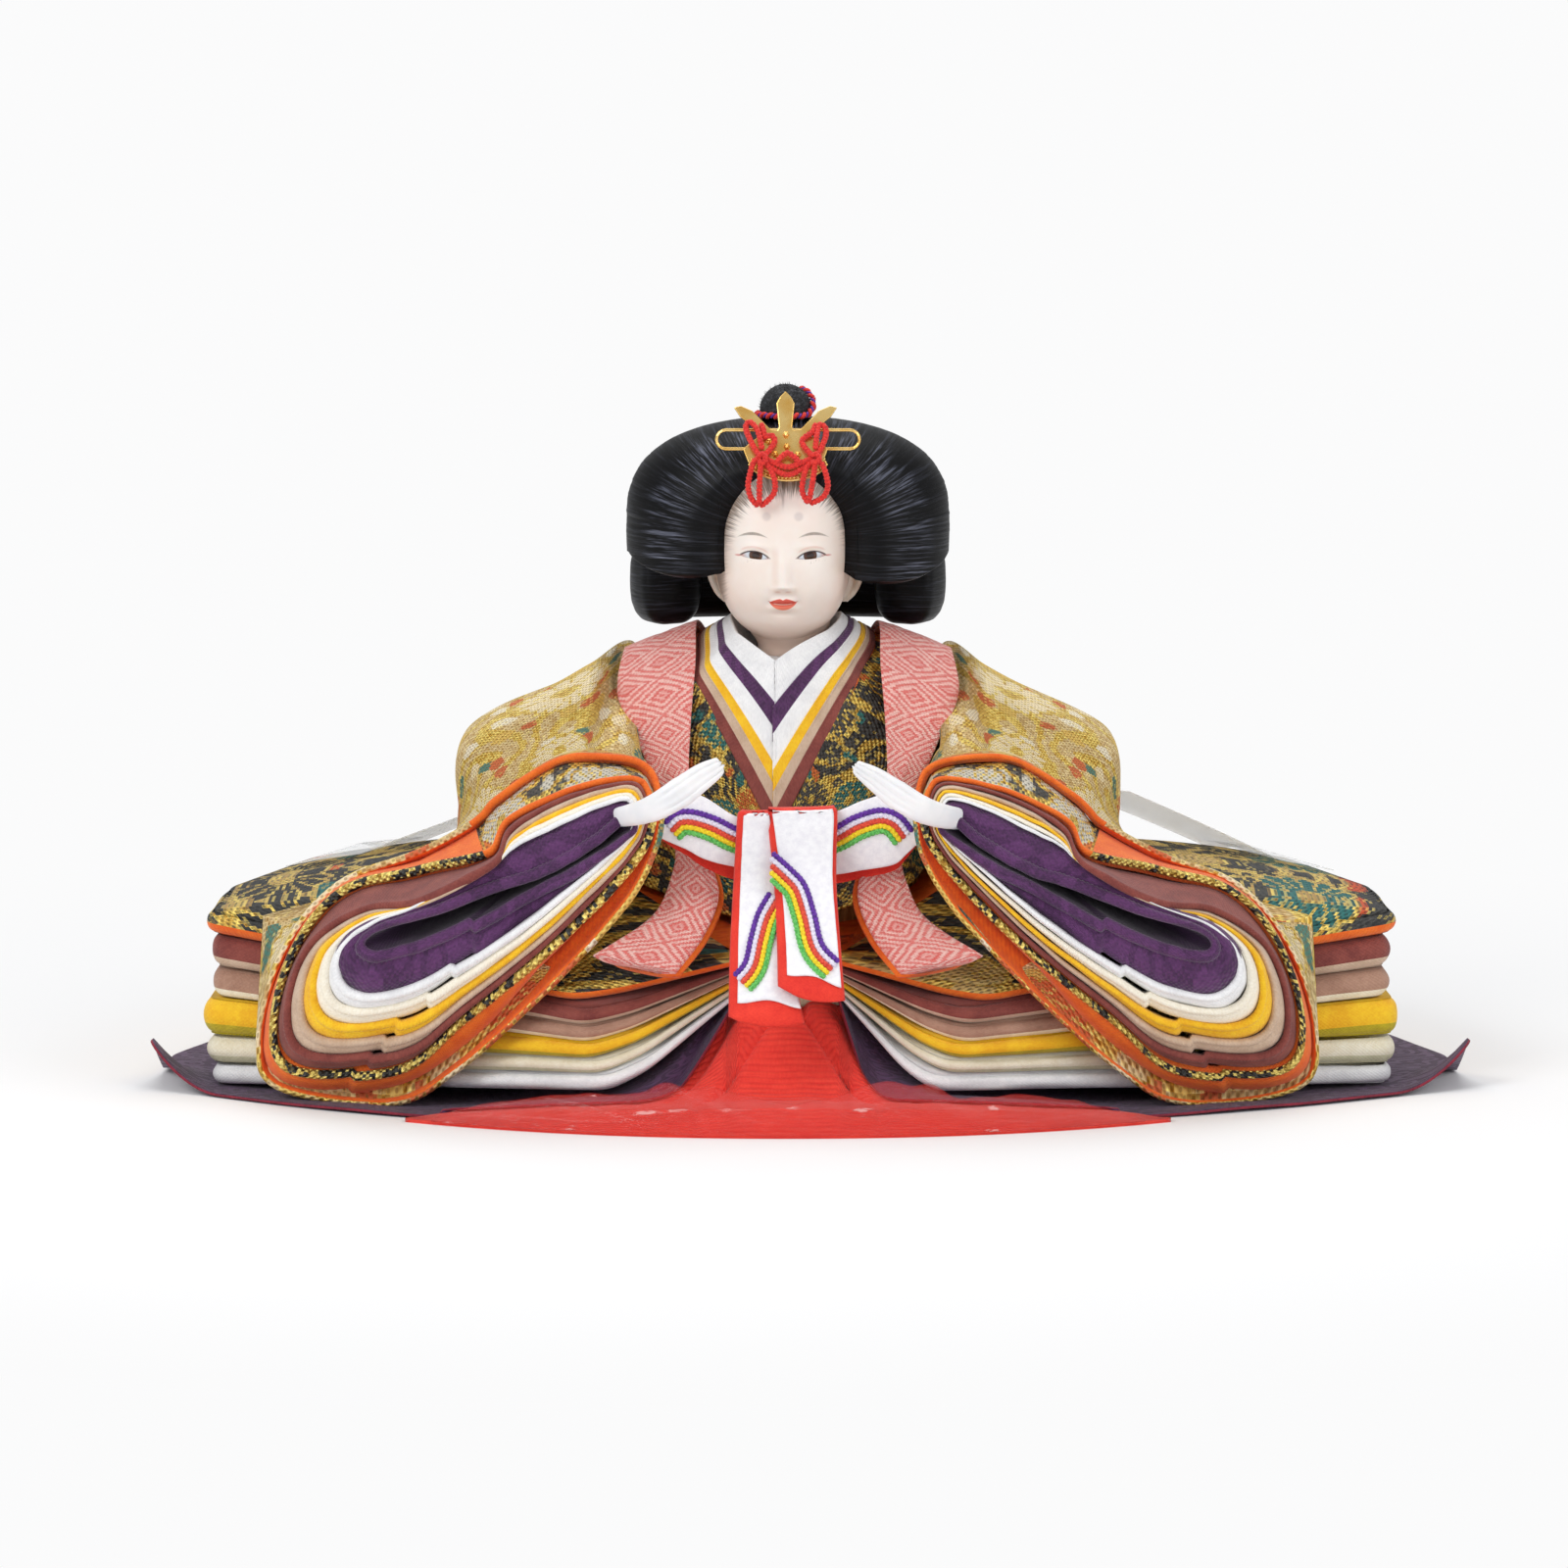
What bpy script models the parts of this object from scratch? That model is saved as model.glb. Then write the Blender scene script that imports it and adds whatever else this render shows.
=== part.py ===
"""A seated court lady doll in layered robes, built as separate pieces.

Metres, +Z up. The doll faces -Y, and the origin is on the floor under her trunk.
Left and right are as seen from the front.
"""

import math

import bmesh
import bpy
import numpy as np
from mathutils import Matrix, Vector
from mathutils.bvhtree import BVHTree

# General sizes
GAP = 0.0003
WELD = 0.000001
BODY_HEIGHT = 0.1
TRUNK_TOP_SHARE = 1.032
ARM_WIRE = 0.0011
CLOTH = 0.0004
LINED_CLOTH = 0.0008
COLLAR_CLOTH = 0.0009

# Head, with its heights above the foot of the neck or from its own middle
NECK_RADIUS = 0.0078
NECK_BOTTOM = TRUNK_TOP_SHARE * BODY_HEIGHT + GAP
HEAD_HALF_WIDTH = 0.0172
HEAD_HALF_DEPTH = 0.0185
HEAD_HALF_HEIGHT = 0.0235
HEAD_RISE = 0.0295
HEAD_Y = -0.0055
HEAD_Z = NECK_BOTTOM + HEAD_RISE
STICK_RADIUS = 0.0022
STICK_BOTTOM_SHARE = 0.62
STICK_RISE = 0.0155
STICK_BOTTOM = STICK_BOTTOM_SHARE * BODY_HEIGHT
STICK_TOP = NECK_BOTTOM + STICK_RISE
EYE_HALF_WIDTH = 0.0034
EYE_HALF_HEIGHT = 0.0011
EYE_HALF_DEPTH = 0.0016
EYE_SPREAD = 0.0071
EYE_DROP = 0.0024
EYE_Z = HEAD_Z - EYE_DROP
EYE_INSET = 0.0009
CHIN_TAPER = 0.26
CHIN_POWER = 1.5

# Hair and its ornaments
HAIR_HALF_WIDTH = 0.0396
HAIR_RISE = 0.0291
HAIR_TOP = HEAD_Z + HAIR_RISE
WING_DROP = 0.0035
WING_BOTTOM = HEAD_Z - WING_DROP
LOBE_HEIGHT = 0.0191
LOBE_TOP = WING_BOTTOM + GAP / 3
LOBE_BOTTOM = LOBE_TOP - LOBE_HEIGHT
LOBE_THICKNESS = 0.0172
HAIRLINE_RISE = 0.0135
HAIRLINE = HEAD_Z + HAIRLINE_RISE
FACE_HALF_WIDTH = 0.0158
WING_FRONT = 0.0235
WING_BACK = 0.027
KNOT_RADIUS = 0.0064
TAIL_LENGTH = 0.052
TAIL_WIDTH = 0.014
TAIL_THICKNESS = 0.0045
CROWN_RISE = 0.016
CROWN_BOTTOM = HEAD_Z + CROWN_RISE
CROWN_HEIGHT = 0.0215
CROWN_SPREAD = 0.0262
CROWN_SHEET = 0.0008
CROWN_Y = -0.0236
CROWN_LEAN = math.radians(18)
PEG_RADIUS = 0.0013
PEG_END = -0.006
PIN_HALF_LENGTH = 0.0173
PIN_HALF_HEIGHT = 0.0023
PIN_WIRE = 0.0004
CORD_RADIUS = 0.0007

# Spread hems and trousers
HEM_LEFT = 0.1402
HEM_RIGHT = 0.1466
HEM_FRONT = 0.072
HEM_BACK = 0.1
HEM_TIP_SHARE = 0.26
FLOOR_SHEET = 0.0007
SHEET_LEFT = 0.1555
SHEET_RIGHT = 0.1665
SHEET_CURL = 0.011
SHEET_BULGE = 0.0155
CURL_SHARE = 0.885
TROUSER_FRONT = 0.1
TROUSER_REACH = 0.091
TROUSER_PAD = 0.0062
TROUSER_MOUND = 0.0215
MOUND_HALF_TOP = 0.013
MOUND_HALF_FOOT = 0.036
TROUSER_BACK = 0.0448
FILM = 0.0003
FILM_HEIGHT = 0.0085

# Train
TRAIN_LEFT = 0.126
TRAIN_RIGHT = 0.137
TRAIN_FRONT = 0.038
TRAIN_MIDDLE = 0.0562
TRAIN_TOP = 0.0655
TRAIN_DROP = 0.005
TRAIN_EDGE = 0.042
TRAIN_BEND_SHARE = 0.62
TRAIN_CORNER_SHARE = 0.4
TRAIN_NARROW_SHARE = 0.15
TRAIN_SLOPE_SHARE = 0.45

# Bow
BOW_HALF_SPAN = 0.031
BOW_Z = 0.0645
BOW_Y = -0.0615
BOW_THICKNESS = 0.0042
BOW_LEAN = 0.0035
BOW_KNOT_HALF = 0.0065
TAIL_REACH = 0.0215
TAIL_BACK_SET = 0.005
TAIL_FRONT_SET = 0.0049
RIBBON = 0.0009
BRAID_WIDTH = 0.0068
BRAID_THICKNESS = 0.0011

# Hands
HAND_WIDTH = 0.0064
HAND_THICKNESS = 0.0032

# Shapes of the layered dress, as shares of BODY_HEIGHT
COLLAR_NAMES = ("inner", "purple", "white", "yellow", "beige", "rust")
COLLAR_STEP_SHARES = (0, 0.251, 0.409, 0.63, 0.756, 0.889, 1)
NECKLINE_SHARES = (
    (0, 0.12, 1.09), (-0.09, 0.09, 1.115), (-0.125, 0, 1.135), (-0.105, -0.13, 1.105), (-0.01, -0.235, 1.046),
)
COLLAR_EDGE_SHARES = (
    (0, 0.20, 1.035), (-0.13, 0.17, 1.06), (-0.205, 0.02, 1.09), (-0.195, -0.22, 0.995), (-0.01, -0.485, 0.66),
)
JACKET_SHARES = (
    ((0, 0.26, 0.96), (-0.24, 0.20, 0.985), (-0.375, 0.00, 1.01), (-0.31, -0.27, 0.84), (0, -0.505, 0.63)),
    ((0, 0.28, 0.80), (-0.24, 0.25, 0.80), (-0.385, -0.02, 0.82), (-0.29, -0.38, 0.72), (0, -0.525, 0.58)),
    ((0, 0.30, 0.66), (-0.27, 0.26, 0.66), (-0.40, -0.05, 0.68), (-0.31, -0.44, 0.60), (0, -0.555, 0.49)),
    ((0, 0.31, 0.58), (-0.29, 0.27, 0.58), (-0.41, -0.08, 0.595), (-0.33, -0.47, 0.535), (0, -0.58, 0.43)),
)
TRUNK_SHARES = (
    (0, 0, -0.05, -0.05), (0, 0.32, -0.43, 0.30), (0.30, 0.33, -0.44, 0.27), (0.55, 0.33, -0.44, 0.25),
    (0.72, 0.31, -0.37, 0.235), (0.87, 0.31, -0.26, 0.22), (0.97, 0.27, -0.17, 0.17),
    (TRUNK_TOP_SHARE, 0.10, -0.09, 0.08), (TRUNK_TOP_SHARE, 0, 0, 0),
)
PANEL_INNER_SHARES = (
    (-0.12, 0.30, 0.90), (-0.17, 0.24, 1.01), (-0.22, 0.01, 1.12), (-0.225, -0.20, 1.03), (-0.235, -0.33, 0.90),
    (-0.235, -0.465, 0.77), (-0.17, -0.575, 0.60), (-0.17, -0.67, 0.50), (-0.27, -0.79, 0.355),
)
PANEL_OUTER_SHARES = (
    (-0.35, 0.27, 0.90), (-0.40, 0.17, 0.97), (-0.40, -0.03, 1.055), (-0.415, -0.19, 0.96), (-0.365, -0.30, 0.86),
    (-0.30, -0.43, 0.74), (-0.27, -0.55, 0.60), (-0.32, -0.66, 0.52), (-0.45, -0.80, 0.375),
)

# Sleeve mouths as shares of BODY_HEIGHT: across, up, rim forward, back edge forward
SLEEVE_NAMES = ("purple", "white", "cream", "yellow", "beige", "rust", "brocade_inner", "brocade_outer")
SLEEVE_STEP_SHARES = (0, 0.14, 0.27, 0.41, 0.55, 0.69, 0.84, 1)
CUFF_STEP_SHARES = (0, 0.10, 0.18, 0.26, 0.34, 0.42, 0.51, 1)
CUFF_SHARES = (0.6, 0.9, 1, 1, 0.9, 0.5, 0.15, 0, 0, 0, 0, 0, 0, 0, 0.1, 0.3)
MOUTH_INNER_SHARES = (
    (0.385, 0.765, 0.79, 0.56), (0.46, 0.742, 0.80, 0.54), (0.565, 0.685, 0.79, 0.52), (0.64, 0.654, 0.77, 0.50),
    (0.705, 0.623, 0.76, 0.52), (0.869, 0.531, 0.72, 0.54), (0.987, 0.466, 0.69, 0.54), (1.03, 0.412, 0.67, 0.53),
    (1.03, 0.365, 0.67, 0.52), (0.976, 0.338, 0.68, 0.53), (0.881, 0.357, 0.70, 0.56), (0.752, 0.42, 0.73, 0.60),
    (0.612, 0.511, 0.76, 0.64), (0.49, 0.605, 0.80, 0.66), (0.405, 0.675, 0.80, 0.68), (0.372, 0.72, 0.80, 0.68),
)
MOUTH_OUTER_SHARES = (
    (0.335, 0.82, 0.62, 0.50), (0.43, 0.846, 0.60, 0.42), (0.548, 0.835, 0.58, 0.38), (0.685, 0.745, 0.55, 0.38),
    (0.75, 0.68, 0.53, 0.40), (0.89, 0.60, 0.50, 0.43), (1.08, 0.52, 0.47, 0.42), (1.21, 0.36, 0.46, 0.39),
    (1.266, 0.157, 0.47, 0.38), (1.22, 0.044, 0.48, 0.385), (0.95, 0.024, 0.58, 0.49), (0.779, 0.128, 0.66, 0.565),
    (0.566, 0.335, 0.74, 0.66), (0.40, 0.52, 0.76, 0.66), (0.332, 0.635, 0.75, 0.63), (0.312, 0.72, 0.70, 0.58),
)
ELBOW_SHARES = (
    (0.42, 0.84), (0.45, 0.985), (0.61, 0.915), (0.795, 0.84), (0.80, 0.70), (0.79, 0.60),
    (0.75, 0.59), (0.71, 0.585), (0.68, 0.585), (0.64, 0.585), (0.60, 0.585), (0.56, 0.585),
    (0.52, 0.585), (0.47, 0.59), (0.43, 0.64), (0.42, 0.74),
)
STACK_TOP_SHARE = 0.545
WRIST_SHARES = (-0.4275, -0.768, 0.7205)

# Hems: name, corner across, bottom and top at the front corner, bottom and top at the sides,
# bottom and top where it starts under the bow, and top near the trunk, as shares of BODY_HEIGHT
HEM_SHARES = (
    ("white", 0.43, 0.075, 0.112, 0.013, 0.058, 0.305, 0.315, 0.06),
    ("cream", 0.45, 0.117, 0.146, 0.064, 0.128, 0.320, 0.330, 0.128),
    ("yellow", 0.47, 0.150, 0.184, 0.134, 0.222, 0.335, 0.345, 0.222),
    ("taupe", 0.465, 0.188, 0.224, 0.228, 0.296, 0.350, 0.360, 0.296),
    ("rust", 0.465, 0.228, 0.268, 0.302, 0.378, 0.365, 0.375, 0.378),
    ("brocade", 0.50, 0.282, 0.322, 0.384, 0.435, 0.380, 0.392, 0.545),
)


def clear_scene():
    for thing in list(bpy.data.objects):
        bpy.data.objects.remove(thing, do_unlink=True)


def new_collection(name):
    made = bpy.data.collections.new(name)
    bpy.context.scene.collection.children.link(made)
    return made


def linear(byte):
    share = byte / 255
    return share / 12.92 if share <= 0.04045 else ((share + 0.055) / 1.055) ** 2.4


def paint(obj, colour, roughness=0.8, metallic=0.0):
    """Gives the piece its own material, from a colour in 0 to 255 as the eye reads it."""
    material = bpy.data.materials.new(obj.name)
    material.use_nodes = True
    shader = material.node_tree.nodes["Principled BSDF"]
    shader.inputs["Base Color"].default_value = (*[linear(byte) for byte in colour], 1)
    shader.inputs["Roughness"].default_value = roughness
    shader.inputs["Metallic"].default_value = metallic
    obj.data.materials.clear()
    obj.data.materials.append(material)
    return obj


def piece(name, bm):
    """Makes a named object of the finished bmesh, shaded smooth up to its sharp edges."""
    mesh = bpy.data.meshes.new(name)
    bmesh.ops.recalc_face_normals(bm, faces=bm.faces[:])
    if bm.calc_volume(signed=True) < 0:
        bmesh.ops.reverse_faces(bm, faces=bm.faces[:])
    bm.to_mesh(mesh)
    bm.free()
    mesh.shade_smooth()
    mesh.set_sharp_from_angle(angle=math.radians(50))
    obj = bpy.data.objects.new(name, mesh)
    parts.objects.link(obj)
    return obj


def curve_through(points, count, closed=False):
    """Points at even steps along the Catmull Rom curve through the given ones."""
    points = np.asarray(points, float)
    if closed:
        padded = np.vstack([points[-1:], points, points[:2]])
        place = np.arange(count) * len(points) / count
    else:
        padded = np.vstack([2 * points[0] - points[1], points, 2 * points[-1] - points[-2]])
        place = np.linspace(0, len(points) - 1, count)
    index = np.minimum(place.astype(int), len(padded) - 4)
    share = (place - index)[:, None]
    before, start, end, after = (padded[index + step] for step in range(4))
    return 0.5 * (
        2 * start
        + (end - before) * share
        + (2 * before - 5 * start + 4 * end - after) * share**2
        + (3 * start - before - 3 * end + after) * share**3
    )


def grid_of(rows):
    """A sheet of faces, one for each cell of an array of rows by columns of places."""
    rows = np.asarray(rows, float)
    high, wide = rows.shape[0] - 1, rows.shape[1] - 1
    bm = bmesh.new()
    bmesh.ops.create_grid(bm, x_segments=wide, y_segments=high, size=0.5)
    cells = [(round((v.co.y + 0.5) * high), round((v.co.x + 0.5) * wide)) for v in bm.verts]
    return bm, cells, rows


def shell(name, rows, thickness, closed=False):
    """A sheet of cloth: an open surface through the rows of places, thickened by Solidify."""
    rows = np.asarray(rows, float)
    if closed:
        rows = np.concatenate([rows, rows[:, :1]], axis=1)
    bm, cells, rows = grid_of(rows)
    for vert, (row, column) in zip(bm.verts, cells):
        vert.co = rows[row, column]
    if closed:
        bmesh.ops.remove_doubles(bm, verts=bm.verts[:], dist=WELD)
    obj = piece(name, bm)
    solid = obj.modifiers.new("cloth", "SOLIDIFY")
    solid.thickness = thickness
    solid.offset = 0
    return obj


def pad(name, bottom, top):
    """A closed soft form between two sheets that share their edge walls."""
    bm, cells, bottom = grid_of(bottom)
    top = np.asarray(top, float)
    lower = list(bm.verts)
    made = bmesh.ops.extrude_face_region(bm, geom=bm.faces[:])["geom"]
    upper = [item for item in made if isinstance(item, bmesh.types.BMVert)]
    high, wide = bottom.shape[0] - 1, bottom.shape[1] - 1
    for vert in upper:
        row, column = round((vert.co.y + 0.5) * high), round((vert.co.x + 0.5) * wide)
        vert.co = top[row, column]
    for vert, (row, column) in zip(lower, cells):
        vert.co = bottom[row, column]
    return piece(name, bm)


def ball(name, around, along, point):
    """A sphere whose points move to point(angle, height, radius), both shares of the unit ball."""
    bm = bmesh.new()
    bmesh.ops.create_uvsphere(bm, u_segments=around, v_segments=along, radius=1)
    for vert in bm.verts:
        angle = math.atan2(vert.co.y, vert.co.x)
        vert.co = point(angle, vert.co.z, math.hypot(vert.co.x, vert.co.y))
    return piece(name, bm)


def wire(name, points, radius, cyclic=False):
    """A round wire or cord along the given points."""
    curve = bpy.data.curves.new(name, "CURVE")
    curve.dimensions = "3D"
    curve.bevel_depth = radius
    curve.bevel_resolution = 2
    curve.use_fill_caps = True
    spline = curve.splines.new("POLY")
    spline.points.add(len(points) - 1)
    for target, place in zip(spline.points, points):
        target.co = (*place, 1)
    spline.use_cyclic_u = cyclic
    obj = bpy.data.objects.new(name, curve)
    parts.objects.link(obj)
    return obj


def as_mesh(obj):
    """Turns a curve object into a mesh object with its caps welded on."""
    graph = bpy.context.evaluated_depsgraph_get()
    mesh = bpy.data.meshes.new_from_object(obj.evaluated_get(graph))
    bm = bmesh.new()
    bm.from_mesh(mesh)
    bmesh.ops.remove_doubles(bm, verts=bm.verts[:], dist=WELD)
    bmesh.ops.recalc_face_normals(bm, faces=bm.faces[:])
    bm.to_mesh(mesh)
    bm.free()
    made = bpy.data.objects.new(obj.name, mesh)
    made.matrix_world = obj.matrix_world
    parts.objects.link(made)
    curve = obj.data
    bpy.data.objects.remove(obj)
    bpy.data.curves.remove(curve)
    return made


def combine(target, tool, operation):
    """Cuts or joins one piece with another, which stays as a hidden cutter."""
    for holder in list(tool.users_collection):
        holder.objects.unlink(tool)
    cutters.objects.link(tool)
    tool.hide_render = True
    tool.display_type = "WIRE"
    boolean = target.modifiers.new(tool.name, "BOOLEAN")
    boolean.object = tool
    boolean.operation = operation
    boolean.solver = "EXACT"


def mirrored(half):
    """A closed ring from a half that runs from the back middle to the front middle."""
    half = np.asarray(half, float)
    other = half[::-1].copy()
    other[:, 0] *= -1
    return np.vstack([half, other[1:-1]])


def ring(half_shares, count=24):
    return curve_through(mirrored(np.array(half_shares) * BODY_HEIGHT), count, closed=True)


def neck_ring(share):
    """The neckline at a share of the way from the inner collar's edge to the outer collar's."""
    inner, outer = np.array(NECKLINE_SHARES), np.array(COLLAR_EDGE_SHARES)
    return ring(inner + (outer - inner) * share)


def collars():
    colours = ((244, 245, 246), (62, 30, 66), (246, 244, 240), (250, 188, 28), (203, 175, 150), (125, 60, 52))
    edge_share = 0.02
    for index, name in enumerate(COLLAR_NAMES):
        start, end = COLLAR_STEP_SHARES[index], COLLAR_STEP_SHARES[index + 1]
        rows = [neck_ring(start + edge_share), neck_ring(end - edge_share)]
        paint(shell("collar_" + name, rows, COLLAR_CLOTH, closed=True), colours[index], 0.85)


def jacket():
    lap_share = 1.03
    rows = [neck_ring(lap_share)] + [ring(half) for half in JACKET_SHARES]
    paint(shell("jacket", rows, LINED_CLOTH, closed=True), (176, 140, 58), 0.55, 0.3)


def trunk():
    """The bound straw body: flat underneath, narrow at the waist, flat where the neck stands."""
    table = np.array(TRUNK_SHARES) * BODY_HEIGHT
    rows = len(table) - 1

    def point(angle, height, _radius):
        row = round(rows * (1 - math.acos(max(-1, min(1, height))) / math.pi))
        up, half, front, back = table[row]
        side, fore = math.cos(angle), math.sin(angle)
        middle = (front + back) / 2
        return (half * side, middle + (back - front) / 2 * fore, up)

    body = ball("straw_trunk", 20, rows, point)
    paint(body, (196, 168, 104), 0.9)
    hole = bmesh.new()
    top = table[-1][0]
    bmesh.ops.create_cone(
        hole, cap_ends=True, segments=16, radius1=STICK_RADIUS + GAP, radius2=STICK_RADIUS + GAP,
        depth=2 * (top - STICK_BOTTOM + GAP),
    )
    cutter = piece("stick_hole", hole)
    cutter.location = (0, 0, top)
    combine(body, cutter, "DIFFERENCE")
    arm_shares = [
        WRIST_SHARES, (-0.445, -0.66, 0.70), (-0.505, -0.50, 0.675), (-0.56, -0.32, 0.70),
        (-0.53, -0.14, 0.78), (-0.36, -0.02, 0.84), (-0.15, 0.04, 0.865),
    ]
    arm_shares += [(-x, y, z) for x, y, z in reversed(arm_shares)]
    path = curve_through(np.array(arm_shares) * BODY_HEIGHT, 33)
    paint(wire("arm_wire", path, ARM_WIRE), (120, 118, 112), 0.5, 0.8)
    passage = as_mesh(wire("arm_passage", path, ARM_WIRE + 2 * GAP))
    for name in ("straw_trunk", "jacket", "sleeve_left_brocade_outer", "sleeve_right_brocade_outer"):
        combine(bpy.data.objects[name], passage, "DIFFERENCE")


def head():
    """A painted head: an egg with a fuller brow than chin, on a turned neck."""
    skull = egg("head", 0)
    paint(skull, (240, 228, 218), 0.45)
    bm = bmesh.new()
    height = HEAD_Z - HEAD_HALF_HEIGHT / 2 - NECK_BOTTOM
    bmesh.ops.create_cone(
        bm, cap_ends=True, segments=20, radius1=NECK_RADIUS, radius2=NECK_RADIUS * 0.9, depth=height
    )
    neck = piece("neck_form", bm)
    neck.location = (0, 0, NECK_BOTTOM + height / 2)
    combine(skull, neck, "UNION")
    bm = bmesh.new()
    bore = 2 * (STICK_TOP - NECK_BOTTOM + GAP)
    bmesh.ops.create_cone(
        bm, cap_ends=True, segments=16, radius1=STICK_RADIUS + GAP, radius2=STICK_RADIUS + GAP, depth=bore
    )
    socket = piece("neck_socket", bm)
    socket.location = (0, 0, NECK_BOTTOM)
    combine(skull, socket, "DIFFERENCE")
    for side, word in ((-1, "left"), (1, "right")):
        place = (side * EYE_SPREAD, face_front(side * EYE_SPREAD, EYE_Z) + EYE_INSET, EYE_Z)
        for name, grow in (("eye_" + word, 0), ("eye_socket_" + word, GAP)):
            size = (EYE_HALF_WIDTH + grow, EYE_HALF_DEPTH + grow, EYE_HALF_HEIGHT + grow)

            def lens(angle, height, radius, size=size):
                side, fore = math.cos(angle) * radius, math.sin(angle) * radius
                return (size[0] * side, size[1] * fore, size[2] * height)

            eye = ball(name, 10, 6, lens)
            eye.location = place
            if grow:
                combine(skull, eye, "DIFFERENCE")
            else:
                paint(eye, (62, 42, 34), 0.1)
    stick = bmesh.new()
    bmesh.ops.create_cone(
        stick, cap_ends=True, segments=16, radius1=STICK_RADIUS, radius2=STICK_RADIUS,
        depth=STICK_TOP - STICK_BOTTOM,
    )
    peg = piece("neck_stick", stick)
    peg.location = (0, 0, (STICK_TOP + STICK_BOTTOM) / 2)
    paint(peg, (190, 150, 100), 0.7)


def face_front(across, up):
    """How far forward the egg of the face reaches at a place."""
    height = (up - HEAD_Z) / HEAD_HALF_HEIGHT
    taper = 1 - CHIN_TAPER * max(0, -height) ** CHIN_POWER
    side = across / (HEAD_HALF_WIDTH * taper)
    return HEAD_Y - HEAD_HALF_DEPTH * taper * math.sqrt(max(0, 1 - height**2 - side**2))


def egg(name, grow):
    """The egg of the skull, grown by a clearance for what is cut to fit round it."""

    def point(angle, height, radius):
        side, fore = math.cos(angle) * radius, math.sin(angle) * radius
        taper = 1 - CHIN_TAPER * max(0, -height) ** CHIN_POWER
        return (
            (HEAD_HALF_WIDTH + grow) * side * taper,
            HEAD_Y + (HEAD_HALF_DEPTH + grow) * fore * taper,
            HEAD_Z + (HEAD_HALF_HEIGHT + grow) * height,
        )

    return ball(name, 24, 14, point)


def hair_wings():
    """The combed front mass: a dome with a crisp lower edge and an arched window for the face."""
    widest = HEAD_Z + HEAD_HALF_HEIGHT * 0.1
    middle = (WING_BACK - WING_FRONT) / 2
    half_depth = (WING_BACK + WING_FRONT) / 2

    def point(angle, height, radius):
        side, fore = math.cos(angle), math.sin(angle)
        if height < -0.05:
            up = WING_BOTTOM
            spread = 0.98 * min(1, radius * 1.04) if height > -0.3 else radius
        else:
            up = widest + (HAIR_TOP - widest) * max(0, height)
            spread = (1 - max(0, height) ** 2.9) ** 0.45
        return (HAIR_HALF_WIDTH * side * spread, middle + half_depth * fore * spread, up)

    dome = ball("hair_wings", 28, 12, point)
    paint(dome, (20, 20, 24), 0.35)
    combine(dome, egg("head_room", 2 * GAP), "DIFFERENCE")
    window = bmesh.new()
    bmesh.ops.create_cone(window, cap_ends=True, segments=24, radius1=1, radius2=1, depth=2)
    for vert in window.verts:
        across, along, forward = vert.co
        up = HEAD_Z + (HAIRLINE - HEAD_Z) * along if along > 0 else HEAD_Z + HEAD_HALF_HEIGHT * along
        vert.co = (FACE_HALF_WIDTH * across, -WING_FRONT * (1 + forward * 0.62), up)
    combine(dome, piece("face_window", window), "DIFFERENCE")


def hair_back():
    """The rear mass, which bends round the nape with a rounded lobe at each side."""
    out = HAIR_HALF_WIDTH - LOBE_THICKNESS / 2
    rear = HEAD_Y + HEAD_HALF_DEPTH + LOBE_THICKNESS * 0.95
    half = [(-out, 0.4 * rear), (-out * 0.9, 0.85 * rear), (0, rear)]
    path = half + [(-across, along) for across, along in half[1::-1]]
    count = 12
    path = curve_through([(*place, 0) for place in path], count + 1)
    ahead = np.gradient(path, axis=0)
    ahead /= np.linalg.norm(ahead, axis=1)[:, None]
    outward = np.stack([-ahead[:, 1], ahead[:, 0], ahead[:, 2]], axis=1)

    def point(angle, height, _radius):
        row = round(count * (1 - math.acos(max(-1, min(1, height))) / math.pi))
        end = row in (0, count)
        thick = 0 if end else LOBE_THICKNESS / 2 * (1 - 0.35 * (1 - abs(2 * row / count - 1)))
        tall = 0 if end else (LOBE_TOP - LOBE_BOTTOM) / 2
        if row in (1, count - 1):
            thick, tall = 0.75 * thick, 0.85 * tall
        side, up = math.cos(angle), math.sin(angle)
        side, up = (math.copysign(abs(part) ** 0.8, part) for part in (side, up))
        across, along, _level = path[row] + outward[row] * thick * side
        return (across, along, (LOBE_TOP + LOBE_BOTTOM) / 2 + tall * up)

    paint(ball("hair_back", 10, count, point), (20, 20, 24), 0.35)


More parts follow.
